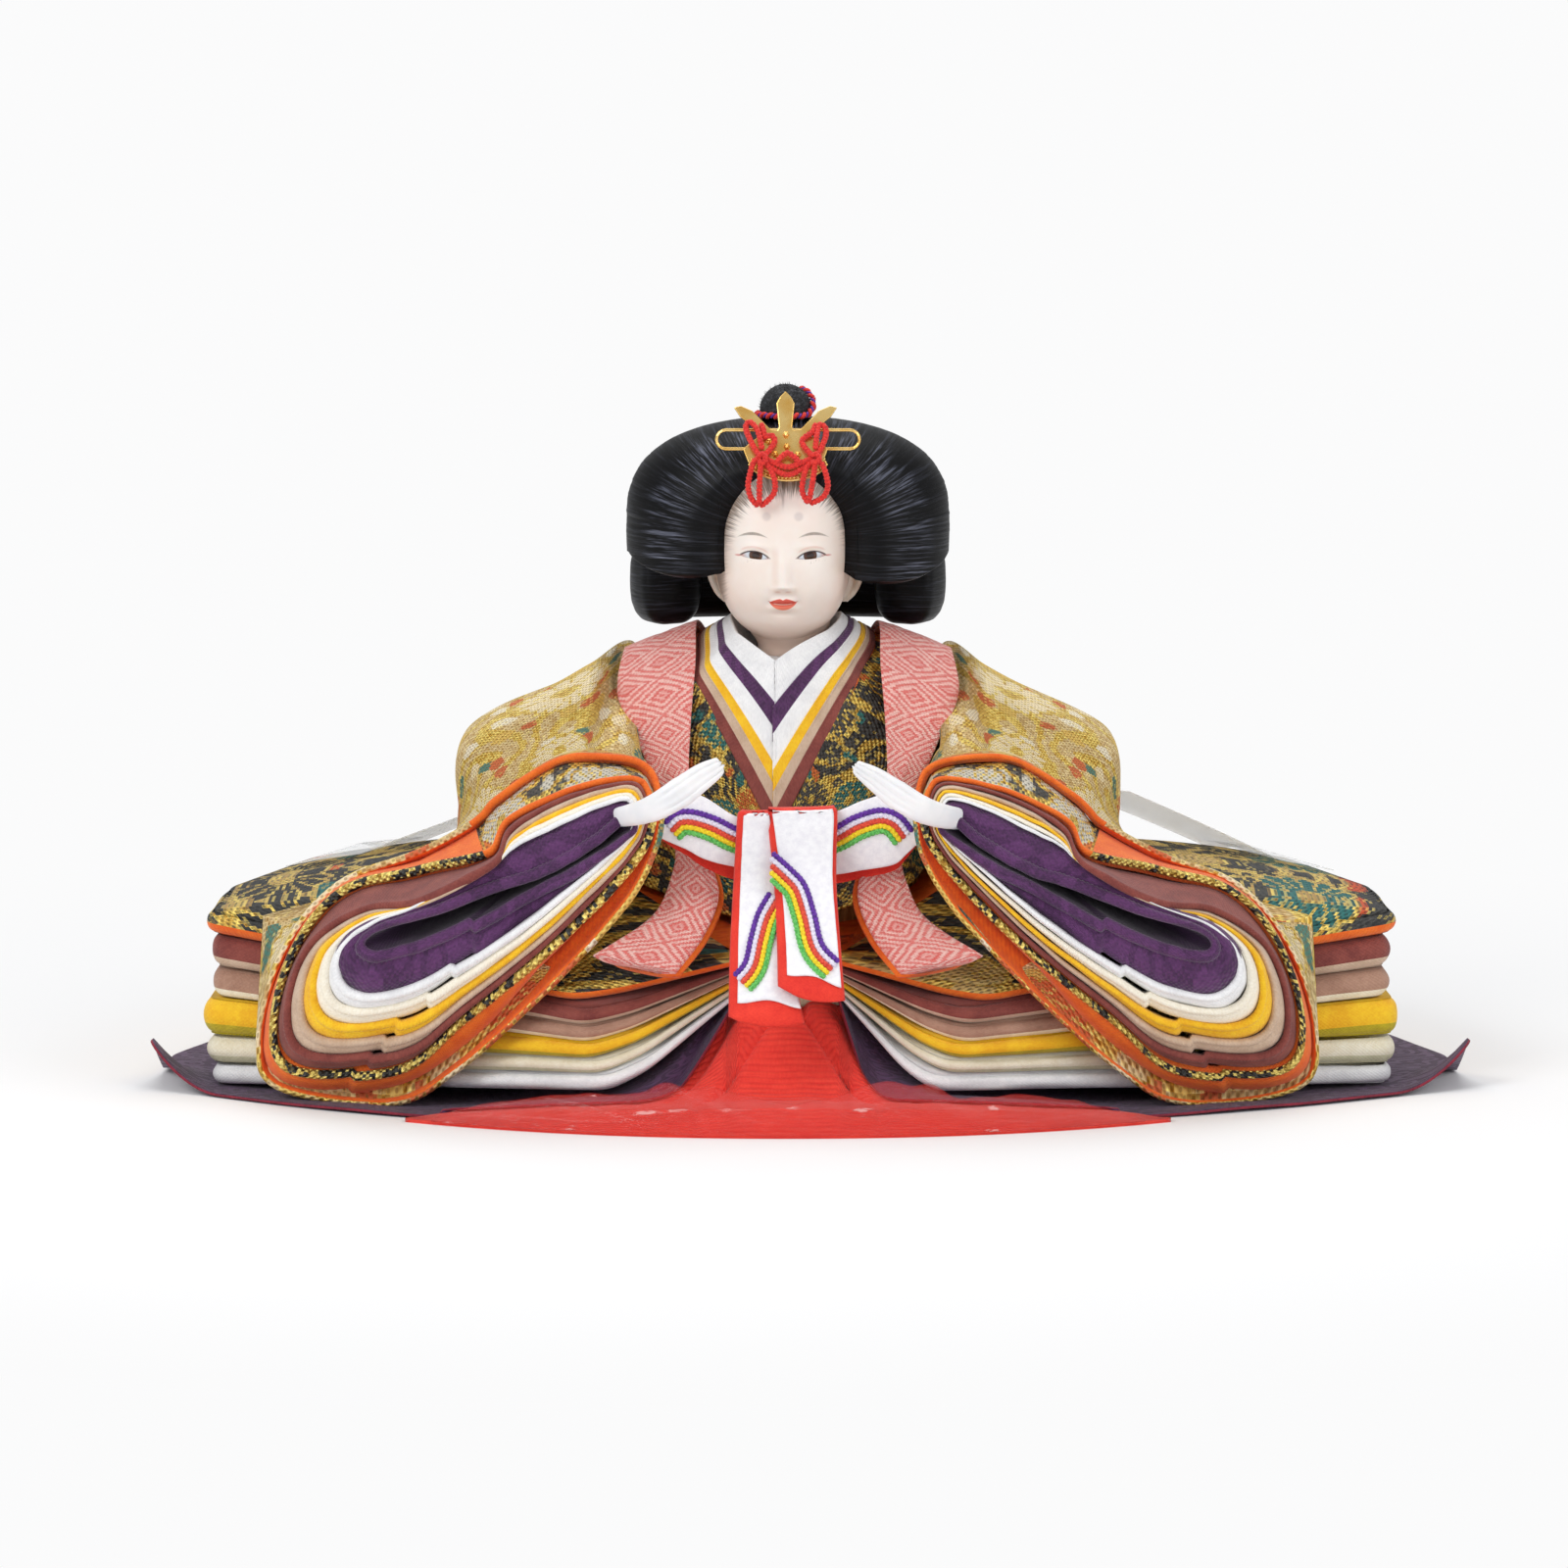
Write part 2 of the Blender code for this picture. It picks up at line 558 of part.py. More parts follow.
def hair_tail():
    """The long tied hair: a flat tapering hank that hangs clear of the back."""
    top = LOBE_BOTTOM - GAP
    start = HEAD_Y + HEAD_HALF_DEPTH + LOBE_THICKNESS * 1.05
    steps = np.linspace(0, 1, 7)
    front, back = [], []
    for step in steps:
        half = TAIL_WIDTH / 2 * (1 - 0.35 * step)
        up = top - TAIL_LENGTH * step
        fore = start + TAIL_THICKNESS * (2.4 * step**0.8)
        front.append([(side * half, fore, up) for side in (-1, 0, 1)])
        back.append([(side * half, fore + TAIL_THICKNESS * (1 - 0.3 * abs(side)), up) for side in (-1, 0, 1)])
    paint(pad("hair_tail", front, back), (20, 20, 24), 0.35)
    tie_share = 0.62
    up = top - TAIL_LENGTH * tie_share
    half = TAIL_WIDTH / 2 * (1 - 0.35 * tie_share) + 2 * GAP
    fore = start + TAIL_THICKNESS * (2.4 * tie_share**0.8)
    tall = TAIL_THICKNESS
    corners = [(-half, fore - 3 * GAP), (half, fore - 3 * GAP), (half, fore + TAIL_THICKNESS * 1.1 + GAP)]
    corners.append((-half, fore + TAIL_THICKNESS * 1.1 + GAP))
    lean = TAIL_THICKNESS * 2.4 / TAIL_LENGTH
    rows = [
        [(across, along - lean * rise * tall, up + rise * tall) for across, along in corners]
        for rise in (-0.5, 0.5)
    ]
    paint(shell("tail_tie", rows, CLOTH, closed=True), (238, 236, 230), 0.8)


def topknot():
    centre = (-0.0005, HEAD_Y + HEAD_HALF_DEPTH * 0.25, HAIR_TOP + KNOT_RADIUS * 0.27)

    def point(angle, height, radius):
        return (
            centre[0] + KNOT_RADIUS * math.cos(angle) * radius,
            centre[1] + KNOT_RADIUS * math.sin(angle) * radius,
            max(centre[2] + KNOT_RADIUS * height, HAIR_TOP + GAP),
        )

    knot = ball("hair_topknot", 14, 9, point)
    paint(knot, (26, 26, 30), 0.6)
    return centre


def panels():
    """The pink jacket panels: strips over the shoulders that pass under the bow to a folded end."""
    for side, word in ((1, "left"), (-1, "right")):
        inner = curve_through(np.array(PANEL_INNER_SHARES) * BODY_HEIGHT, 15) * (side, 1, 1)
        outer = curve_through(np.array(PANEL_OUTER_SHARES) * BODY_HEIGHT, 15) * (side, 1, 1)
        rows = [inner + (outer - inner) * share for share in (0, 0.5, 1)]
        middle_lift = 2 * GAP
        rows[1] = rows[1] + np.array([0, -middle_lift, middle_lift])
        paint(shell("panel_" + word, rows, LINED_CLOTH), (232, 150, 143), 0.75)


def hem_line(across, side):
    """How far forward the spread hems reach in front at a place beside the lap."""
    reach = HEM_LEFT if side > 0 else HEM_RIGHT
    tip, corner = HEM_TIP_SHARE * HEM_BACK, HEM_SHARES[-1][1] * BODY_HEIGHT
    return tip + (HEM_FRONT - tip) * np.clip((reach - across) / (reach - corner), 0, 1)


def settled(points, support, clearance):
    """The points, lifted wherever they would lie in or under the piece that they rest on."""
    bpy.context.view_layer.update()
    tree = BVHTree.FromObject(support, bpy.context.evaluated_depsgraph_get())
    raised = np.array(points, float)
    for place in raised.reshape(-1, 3):
        hit = tree.ray_cast(Vector((place[0], place[1], CROWN_BOTTOM)), Vector((0, 0, -1)))[0]
        if hit is not None:
            place[2] = max(place[2], hit.z + clearance)
    return raised


def sleeve_loop(layer, side, edge):
    """The closed mouth of one sleeve: edge 2 gives its rim and edge 3 where its short wall ends.

    The layers lie closer together over the wrist than they do low down.
    """
    inner, outer = np.array(MOUTH_INNER_SHARES), np.array(MOUTH_OUTER_SHARES)
    share, cuff_share = SLEEVE_STEP_SHARES[layer], CUFF_STEP_SHARES[layer]
    step = share + (cuff_share - share) * np.array(CUFF_SHARES)[:, None]
    table = (inner + (outer - inner) * step) * BODY_HEIGHT
    inside = GAP * (5 + 10 * (1 - share)) if share < 1 else 0
    room = 4 * GAP + (5 * GAP if edge == 2 else 0)
    low = table[:, 1] < STACK_TOP_SHARE * BODY_HEIGHT
    beyond = np.maximum(table[:, edge], hem_line(table[:, 0], side) + room) + inside
    forward = np.where(low, beyond, table[:, edge])
    return curve_through(np.stack([-side * table[:, 0], -forward, table[:, 1]], axis=1), 26, closed=True)


def sleeves():
    colours = (
        (75, 35, 82), (245, 245, 245), (244, 236, 214), (250, 188, 28), (203, 175, 150), (140, 66, 58),
        (120, 98, 50), (196, 156, 64),
    )
    for side, word in ((1, "left"), (-1, "right")):
        for layer, (name, colour) in enumerate(zip(SLEEVE_NAMES, colours)):
            rows = [sleeve_loop(layer, side, 2), sleeve_loop(layer, side, 3)]
            if name == SLEEVE_NAMES[-1]:
                rows += elbow_rows(side, rows[1])
            sleeve = shell("sleeve_" + word + "_" + name, rows, CLOTH, closed=True)
            paint(sleeve, colour, 0.8)


def elbow_rows(side, mouth):
    """The bag of the outer sleeve behind its mouth, up over the stack to the elbow and down the back."""
    corners = [(-side * across * BODY_HEIGHT, 0, up * BODY_HEIGHT) for across, up in ELBOW_SHARES]
    elbow = curve_through(corners, 26, closed=True)
    stack = bpy.data.objects["hem_brocade"]
    front_share, crest_share, back_share, low_share, clearance = 0.26, 0.03, -0.09, 0.2, 7 * GAP
    front_top, side_top = (level * BODY_HEIGHT for level in (HEM_SHARES[-1][3], HEM_SHARES[-1][5]))
    rise = np.clip((np.abs(mouth[:, 0]) - MOUND_HALF_FOOT) / (HEM_LEFT - MOUND_HALF_FOOT), 0, 1)
    lip = front_top + (side_top - front_top) * rise + clearance
    raised = mouth.copy()
    raised[:, 2] = np.maximum(raised[:, 2], lip)
    rows = [raised]
    front = elbow.copy()
    front[:, 1] = -front_share * BODY_HEIGHT
    for share in (0.22, 0.55):
        rows.append(settled(raised + (front - raised) * share, stack, clearance))
    for depth_share in (front_share, crest_share, back_share):
        row = elbow.copy()
        row[:, 1] = -depth_share * BODY_HEIGHT
        rows.append(settled(row, stack, clearance))
    floor = rows[-1][:, 2].min()
    rows[-1][:, 2] = floor + (rows[-1][:, 2] - floor) * low_share
    return rows


def hem_plan(left, right, corner, front, count):
    """Outer and inner outlines of a spread hem, from its front left corner round to its right."""
    half_steps = (count, 2, 2, 3)
    outer, inner, sides = [], [], []
    side_share, rear_share, back_corner_share, rear_corner_share = 0.2, 0.78, 0.985, 0.86
    for reach, sign in ((left, -1), (right, 1)):
        out = np.array([
            (sign * corner, -front), (sign * reach, -HEM_TIP_SHARE * HEM_BACK),
            (sign * reach * back_corner_share, side_share * HEM_BACK),
            (sign * reach * rear_corner_share, rear_share * HEM_BACK), (0, HEM_BACK),
        ])
        near_shares = ((-0.14, -0.6), (-0.38, -0.42), (-0.395, 0.0), (-0.33, 0.33), (0, 0.37))
        near = np.array(near_shares) * (-sign * BODY_HEIGHT, BODY_HEIGHT)
        spread = np.array([0, 0.85, 1, 1, 1])
        out_line, in_line, weight = [], [], []
        for index, steps in enumerate(half_steps):
            for step in range(steps):
                share = step / steps
                out_line.append(out[index] + (out[index + 1] - out[index]) * share)
                in_line.append(near[index] + (near[index + 1] - near[index]) * share)
                near_weight = spread[index] + (spread[index + 1] - spread[index]) * share
                weight.append((min(1, index + share), near_weight))
        if sign < 0:
            outer, inner, sides = out_line + [out[-1]], in_line + [near[-1]], weight + [(1, 1)]
        else:
            outer, inner, sides = outer + out_line[::-1], inner + in_line[::-1], sides + weight[::-1]
    return np.array(outer), np.array(inner), np.array(sides)


def hems():
    colours = {
        "white": (245, 245, 246), "cream": (240, 232, 208), "yellow": (240, 200, 40), "taupe": (170, 130, 108),
        "rust": (140, 72, 60), "brocade": (176, 140, 58),
    }
    inset_share = {"white": 0.995, "cream": 1.0, "yellow": 1.005, "taupe": 0.99, "rust": 0.99, "brocade": 1.0}
    below = None
    for name, corner, *levels in HEM_SHARES:
        front_low, front_top, side_low, side_top, start_low, start_top, trunk_top = [
            level * BODY_HEIGHT for level in levels
        ]
        front = HEM_FRONT if name != "brocade" else HEM_FRONT * 0.97
        outer, inner, weight = hem_plan(
            HEM_LEFT * inset_share[name], HEM_RIGHT * inset_share[name], corner * BODY_HEIGHT, front, 6
        )
        bottom, top = [], []
        for share in (0, 0.45, 0.85, 1):
            plan = inner + (outer - inner) * share
            low_in = start_low + (side_low - start_low) * weight[:, 1]
            low_out = front_low + (side_low - front_low) * weight[:, 0]
            top_in = start_top + (trunk_top - start_top) * weight[:, 1]
            top_out = front_top + (side_top - front_top) * weight[:, 0]
            fall = share**2 if name == "brocade" else share
            bottom.append(np.column_stack([plan, low_in + (low_out - low_in) * share]))
            top.append(np.column_stack([plan, top_in + (top_out - top_in) * fall]))
        if below is not None:
            bottom = settled(bottom, below, GAP)
            top = np.maximum(top, bottom + np.array([0, 0, GAP]))
        below = paint(pad("hem_" + name, bottom, top), colours[name], 0.85)


def floor_sheet():
    """The purple sheet under the hems: over the trousers in front, on the floor, curled at its tips."""
    outer, inner, weight = hem_plan(SHEET_LEFT, SHEET_RIGHT, MOUND_HALF_FOOT, HEM_FRONT * 0.97, 8)
    half = len(outer) // 2
    for line in (outer[:9], outer[: len(outer) - 10 : -1]):
        steps = np.linspace(0, 1, 9)
        line[:, 1] -= SHEET_BULGE * np.sin(np.pi * steps)
    outer[half, 1] = HEM_BACK
    rows = []
    start_share = 0.288
    start = BODY_HEIGHT * start_share
    corner = TROUSER_PAD * 0.88
    for share in (0, 0.33, 0.66, 0.86, 1):
        plan = inner + (outer - inner) * share
        edge = corner * np.maximum(0, 1 - weight[:, 0] * 2.5) * share
        fall = (1 - share) ** (1 + np.minimum(1, 2 * weight[:, 1]))
        opening = start * np.maximum(0, 1 - weight[:, 1] / 0.85) * fall
        reach = np.where(plan[:, 0] < 0, SHEET_LEFT, SHEET_RIGHT)
        curl = SHEET_CURL * np.clip((np.abs(plan[:, 0]) / reach - CURL_SHARE) / (1 - CURL_SHARE), 0, 1) ** 2
        curl *= np.clip(-plan[:, 1] / (0.2 * HEM_BACK), 0, 1)
        rows.append(np.column_stack([plan, FLOOR_SHEET / 2 + edge + opening + curl]))
    paint(shell("hem_purple", rows, FLOOR_SHEET), (62, 34, 64), 0.85)


def lap_height(across, along):
    """Height of the trousers: a padded front edge and a mound over the lap."""
    reach = np.minimum(1, np.abs(across) / TROUSER_REACH)
    padding = TROUSER_PAD * (0.15 + 0.85 * (1 - reach**2))
    edge = np.clip((along - lap_front(across)) / TROUSER_PAD, 0, 1) ** 0.5
    rise = np.clip((MOUND_HALF_FOOT - np.abs(across)) / (MOUND_HALF_FOOT - MOUND_HALF_TOP), 0, 1)
    slope = np.clip((along + 0.84 * TROUSER_FRONT) / (0.24 * TROUSER_FRONT), 0, 1)
    return padding * edge + TROUSER_MOUND * rise * slope * slope * (3 - 2 * slope)


def lap_front(across):
    reach = np.minimum(1, np.abs(across) / TROUSER_REACH)
    return -TROUSER_FRONT * (1 - 0.24 * reach**2.2)


def trousers():
    """The red trousers: one closed form with a flat underside that rests on the floor."""
    half_shares = (0.13, 0.165, 0.23, 0.31, 0.395, 0.43, 0.6, 0.8, 1)
    across_shares = np.array([-share for share in half_shares[::-1]] + [0] + list(half_shares))
    across = TROUSER_REACH * across_shares
    back_shares = (-0.448, -0.448, -0.612, -0.712, -0.735, -0.74)
    back = np.interp(np.abs(across_shares), (0, 0.13, 0.165, 0.395, 0.6, 1), back_shares) * BODY_HEIGHT
    front = lap_front(across)
    back = np.maximum(back, front + 4 * GAP)
    bottom, top = [], []
    for share in (0, 0.04, 0.13, 0.3, 0.45, 0.6, 0.75, 0.88, 1):
        along = front + (back - front) * share
        height = np.maximum(lap_height(across, along), 3 * GAP)
        if share == 0:
            height = height * 0 + 5 * GAP
        bottom.append(np.column_stack([across, along, np.zeros_like(across)]))
        top.append(np.column_stack([across, along, height]))
    paint(pad("trousers", bottom, top), (240, 55, 40), 0.6)
    rows = []
    across = np.linspace(-0.93, 0.93, 19) * TROUSER_REACH
    peaks = FILM_HEIGHT * (0.45 + 0.3 * np.cos(across / TROUSER_REACH * 7.5) ** 2)
    for share in (0, 0.3, 1):
        rise = 3 * GAP + peaks * share
        lean = np.clip(rise - TROUSER_PAD * 0.8, 0, 1) * 2.2
        rows.append(np.column_stack([across, lap_front(across) - 2 * GAP - FILM + lean, rise]))
    paint(shell("hem_film", rows, FILM), (225, 225, 228), 0.15)


def train():
    """The white gauze train, which lies over the back of the spread hems and stands off at the sides."""
    rows = []
    shares = np.linspace(-1, 1, 23)
    far = np.abs(shares)
    across = np.where(shares < 0, TRAIN_LEFT, TRAIN_RIGHT) * shares
    side_top = np.where(shares < 0, TRAIN_TOP - TRAIN_DROP, TRAIN_TOP)
    rise = np.clip(far / TRAIN_BEND_SHARE, 0, 1)
    fall = np.clip((far - TRAIN_BEND_SHARE) / (1 - TRAIN_BEND_SHARE), 0, 1)
    crest = TRAIN_MIDDLE + (side_top - TRAIN_MIDDLE) * rise
    crest = crest + (TRAIN_EDGE - crest) * fall
    for share in np.linspace(0, 1, 7):
        along = TRAIN_FRONT + (HEM_BACK - TRAIN_FRONT) * share * (1 - TRAIN_CORNER_SHARE * far**3)
        level = crest - share * np.maximum(crest - TRAIN_EDGE, 0) * TRAIN_SLOPE_SHARE
        rows.append(np.column_stack([across * (1 - TRAIN_NARROW_SHARE * share), along, level]))
    rows = settled(rows, bpy.data.objects["hem_brocade"], 4 * GAP)
    paint(shell("train", rows, CLOTH), (246, 247, 249), 0.7)


def bow():
    """The white satin bow: one flat doubled ribbon, a folded core and two stiff tails."""
    half_shares = (
        (0, 0.60, 0.70), (0.12, 0.565, 0.715), (0.20, 0.59, 0.765), (0.27, 0.625, 0.745), (0.305, 0.665, 0.70),
    )
    half = np.array(half_shares) * BODY_HEIGHT
    full = np.vstack([half[:0:-1] * (-1, 1, 1), half])
    lift = BOW_THICKNESS * 0.5
    bottom, top = [], []
    for share in (0, 0.5, 1):
        up = full[:, 1] + (full[:, 2] - full[:, 1]) * share
        thick = lift * (1 if share == 0.5 else 0.6)
        along = BOW_Y - BOW_LEAN * np.abs(full[:, 0]) / BOW_HALF_SPAN
        bottom.append(np.column_stack([full[:, 0], along + thick, up]))
        top.append(np.column_stack([full[:, 0], along - thick, up]))
    paint(pad("bow_loops", bottom, top), (240, 238, 242), 0.5)
    half, core_y = BOW_KNOT_HALF, BOW_Y - lift - BRAID_THICKNESS * 1.5
    rows = [
        [(-half, core_y, BOW_Z + up), (0, core_y - GAP, BOW_Z + up), (half, core_y, BOW_Z + up)]
        for up in (-half, 0, half)
    ]
    paint(shell("bow_knot", rows, RIBBON * 0.7), (240, 238, 242), 0.5)


def tail_y(up, top, low, start):
    """How far forward a tail hangs at a height: it leans out over the lap towards its end."""
    share = np.clip((top - np.asarray(up)) / (top - low), 0, 1)
    return start - TAIL_REACH * share**1.15


def tails():
    """Two tails of stiff ribbon, the right one over the left, with the sewn braids on them."""
    back_shares = ((-0.105, 0.025, 0.69), (-0.118, 0.02, 0.58), (-0.128, 0.022, 0.42), (-0.137, 0.03, 0.268))
    front_shares = ((-0.046, 0.112, 0.725), (-0.035, 0.112, 0.60), (-0.022, 0.118, 0.46), (-0.02, 0.127, 0.33))
    back, front = (back_shares, BOW_Y - TAIL_BACK_SET), (front_shares, BOW_Y - TAIL_FRONT_SET)
    for word, (shares, start) in (("back", back), ("front", front)):
        lines = curve_through(np.array(shares) * BODY_HEIGHT, 7)
        top, low = lines[0][2], lines[-1][2]
        rows = []
        for left, right, up in lines:
            along = float(tail_y(up, top, low, start))
            rows.append([(left, along, up), ((left + right) / 2, along - GAP, up), (right, along, up)])
        paint(shell("bow_tail_" + word, rows, RIBBON), (240, 238, 242), 0.5)
    front_braid_shares = ((0.005, 0.61), (0.03, 0.56), (0.058, 0.50), (0.075, 0.44), (0.09, 0.385))
    back_braid_shares = ((-0.082, 0.55), (-0.086, 0.48), (-0.095, 0.42), (-0.102, 0.36))
    loop_shares = ((-0.272, 0.672), (-0.235, 0.688), (-0.19, 0.688), (-0.15, 0.672), (-0.122, 0.652))
    braid("braid_tail_front", front_braid_shares, 1, front)
    braid("braid_tail_back", back_braid_shares, 1, back)
    for side, word in ((1, "left"), (-1, "right")):
        braid("braid_loop_" + word, [(across * side, up) for across, up in loop_shares], side, None)


def braid(name, path_shares, side, tail):
    """Five narrow braids sewn side by side, as one ridged band along its path."""
    centre = curve_through([(across * BODY_HEIGHT, up * BODY_HEIGHT, 0) for across, up in path_shares], 9)
    ahead = np.gradient(centre, axis=0)
    ahead /= np.linalg.norm(ahead, axis=1)[:, None]
    across = np.stack([-ahead[:, 1], ahead[:, 0]], axis=1) * side
    bottom, top = [], []
    for step in range(11):
        share = step / 10 - 0.5
        line = centre[:, :2] + across * (BRAID_WIDTH * 0.86 if tail is None else BRAID_WIDTH * 0.8) * share
        if tail is None:
            bump = 0.4 * (1 - (2 * share) ** 2)
            seat = BOW_Y - BOW_LEAN * np.abs(line[:, 0]) / BOW_HALF_SPAN
            seat -= BOW_THICKNESS * (0.3 + 0.5 * bump) + 3 * GAP
        else:
            shares, start = tail
            high, low = shares[0][2] * BODY_HEIGHT, shares[-1][2] * BODY_HEIGHT
            seat = tail_y(line[:, 1], high, low, start) - RIBBON / 2 - 2 * GAP
        height = BRAID_THICKNESS * (0.55 if step % 2 == 0 else 1)
        bottom.append(np.column_stack([line[:, 0], seat, line[:, 1]]))
        top.append(np.column_stack([line[:, 0], seat - height, line[:, 1]]))
    paint(pad(name, bottom, top), (225, 150, 60), 0.6)


def hands():
    """Slim flat hands, each on the end of the arm wire, with the fingers held together."""
    path_shares = (
        (-0.425, -0.775, 0.722), (-0.38, -0.83, 0.735), (-0.325, -0.865, 0.755), (-0.26, -0.885, 0.79),
        (-0.205, -0.895, 0.832), (-0.168, -0.90, 0.862),
    )
    path = np.array(path_shares) * BODY_HEIGHT
    width_shares = (0.656, 0.719, 0.906, 1, 0.812, 0.406)
    thick_shares = (1, 0.94, 0.94, 0.812, 0.625, 0.375)
    widths = HAND_WIDTH * np.array(width_shares)
    thicks = HAND_THICKNESS * np.array(thick_shares)
    for side, word in ((1, "left"), (-1, "right")):
        centre = path * (side, 1, 1)
        ahead = np.gradient(centre, axis=0)
        across = np.cross(ahead, (0, 1, 0))
        across /= np.linalg.norm(across, axis=1)[:, None]
        through = np.cross(across, ahead)
        through /= np.linalg.norm(through, axis=1)[:, None]
        bottom, top = [], []
        for share in (-0.5, -0.2, 0.2, 0.5):
            bulge = 1 if abs(share) < 0.5 else 0.45
            line = centre + across * (widths * share)[:, None]
            bottom.append(line - through * (thicks * bulge / 2)[:, None])
            top.append(line + through * (thicks * bulge / 2)[:, None])
        paint(pad("hand_" + word, bottom, top), (232, 234, 236), 0.5)


def outline(name, points, thickness):
    """A flat sheet standing upright: a filled outline with a thickness."""
    curve = bpy.data.curves.new(name, "CURVE")
    curve.dimensions = "2D"
    curve.fill_mode = "BOTH"
    curve.extrude = thickness / 2
    spline = curve.splines.new("POLY")
    spline.points.add(len(points) - 1)
    for target, place in zip(spline.points, points):
        target.co = (place[0], place[1], 0, 1)
    spline.use_cyclic_u = True
    obj = bpy.data.objects.new(name, curve)
    parts.objects.link(obj)
    return obj


def peg(name, radius, start, end, up):
    """A round peg that runs from front to back."""
    bm = bmesh.new()
    bmesh.ops.create_cone(bm, cap_ends=True, segments=16, radius1=radius, radius2=radius, depth=end - start)
    obj = piece(name, bm)
    obj.rotation_euler = (math.pi / 2, 0, 0)
    obj.location = (0, (start + end) / 2, up)
    return obj


def crown_plane(up):
    """How far back the leaning crown stands at a height above its foot."""
    return CROWN_Y + up * math.tan(CROWN_LEAN)


def crown():
    """A leaning gold plate with three blades, on a peg in the hair, with its looped pin and cord."""
    half_shares = (
        (0.2, 0), (0.5, 0.08), (0.74, 0.28), (0.8, 0.45), (0.62, 0.55), (0.56, 0.585), (0.9, 0.78), (1.0, 0.905),
        (0.8, 0.85), (0.4, 0.625), (0.17, 0.6), (0.11, 0.68), (0.17, 0.82), (0, 1),
    )
    half = np.array(half_shares) * (CROWN_SPREAD / 2, CROWN_HEIGHT / math.cos(CROWN_LEAN))
    points = list(half) + [place * (-1, 1) for place in half[-2::-1]]
    curve = outline("crown", points, CROWN_SHEET)
    curve.location = (0, CROWN_Y, CROWN_BOTTOM)
    curve.rotation_euler = (math.pi / 2 - CROWN_LEAN, 0, 0)
    bpy.context.view_layer.update()
    plate = as_mesh(curve)
    plate.name = "crown"
    paint(plate, (225, 175, 90), 0.2, 1.0)
    pin_up = CROWN_HEIGHT * 0.42
    pin_y = crown_plane(pin_up + PIN_HALF_HEIGHT + PIN_WIRE) + CROWN_SHEET + PIN_WIRE
    peg_z = CROWN_BOTTOM + pin_up
    combine(plate, peg("crown_peg", PEG_RADIUS, crown_plane(pin_up), PEG_END, peg_z), "UNION")
    socket = peg("crown_socket", PEG_RADIUS + GAP, CROWN_Y - HAIR_HALF_WIDTH, PEG_END + GAP, peg_z)
    combine(bpy.data.objects["hair_wings"], socket, "DIFFERENCE")
    straight = PIN_HALF_LENGTH - PIN_HALF_HEIGHT
    points = []
    for side in (1, -1):
        for step in range(9):
            angle = math.pi / 2 - math.pi * step / 8 + (0 if side > 0 else math.pi)
            points.append((
                side * straight + PIN_HALF_HEIGHT * math.cos(angle), pin_y,
                CROWN_BOTTOM + pin_up + PIN_HALF_HEIGHT * math.sin(angle),
            ))
    paint(wire("hair_pin", points, PIN_WIRE, cyclic=True), (225, 175, 90), 0.2, 1.0)
    cord_shares = (
        (0.04, 0.10), (0.24, 0.13), (0.38, 0.2), (0.40, -0.02), (0.44, -0.2), (0.56, -0.28), (0.66, -0.18),
        (0.68, 0.05), (0.62, 0.3), (0.5, 0.48),
    )
    half = np.array(cord_shares) * (CROWN_SPREAD / 2, CROWN_HEIGHT)
    path = [(-across, up) for across, up in half[::-1]] + [(across, up) for across, up in half]
    ahead = CROWN_SHEET + CORD_RADIUS + GAP
    path = [(across, crown_plane(up) - ahead, CROWN_BOTTOM + up) for across, up in path]
    paint(wire("crown_cord", curve_through(path, 49), CORD_RADIUS), (220, 35, 25), 0.6)


def topknot_cord(centre):
    """The red cord that binds the foot of the topknot."""
    foot = centre[2] - KNOT_RADIUS * 0.27
    radius = KNOT_RADIUS * math.sqrt(1 - 0.3**2) + CORD_RADIUS + 2 * GAP
    rise = CORD_RADIUS + 2 * GAP
    points = []
    for step in range(18):
        angle = 2 * math.pi * step / 18
        points.append((
            centre[0] + radius * math.cos(angle), centre[1] + radius * math.sin(angle),
            foot + rise + 4 * rise * max(0, math.cos(angle)) ** 4,
        ))
    paint(wire("topknot_cord", points, CORD_RADIUS, cyclic=True), (200, 40, 50), 0.6)


def hang(name, place, held):
    """An empty on the axis that a group of pieces turns about or slides along, as their parent."""
    axis = bpy.data.objects.new(name, None)
    axis.location = place
    parts.objects.link(axis)
    for word in held:
        obj = bpy.data.objects[word]
        obj.parent = axis
        obj.matrix_parent_inverse = Matrix.Translation(-Vector(place))


def everything():
    floor_sheet()
    hems()
    trousers()
    train()
    collars()
    jacket()
    panels()
    sleeves()
    trunk()
    bow()
    tails()
    hands()
    head()
    hair_wings()
    hair_back()
    hair_tail()
    topknot_cord(topknot())
    crown()
    hair = ("hair_wings", "hair_back", "hair_topknot", "hair_tail", "tail_tie", "topknot_cord")
    hang("head_axis", (0, 0, NECK_BOTTOM), ("head", "eye_left", "eye_right", *hair))
    hang("neck_axis", (0, 0, STICK_BOTTOM), ("neck_stick",))
    hang("crown_axis", (0, PEG_END, CROWN_BOTTOM), ("crown", "crown_cord", "hair_pin"))
    wrist = np.array(WRIST_SHARES) * BODY_HEIGHT
    hang("wrist_axis_left", wrist, ("hand_left",))
    hang("wrist_axis_right", wrist * (-1, 1, 1), ("hand_right",))


clear_scene()
parts = new_collection("court_lady_doll")
cutters = new_collection("cutters")
everything()
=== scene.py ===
import math

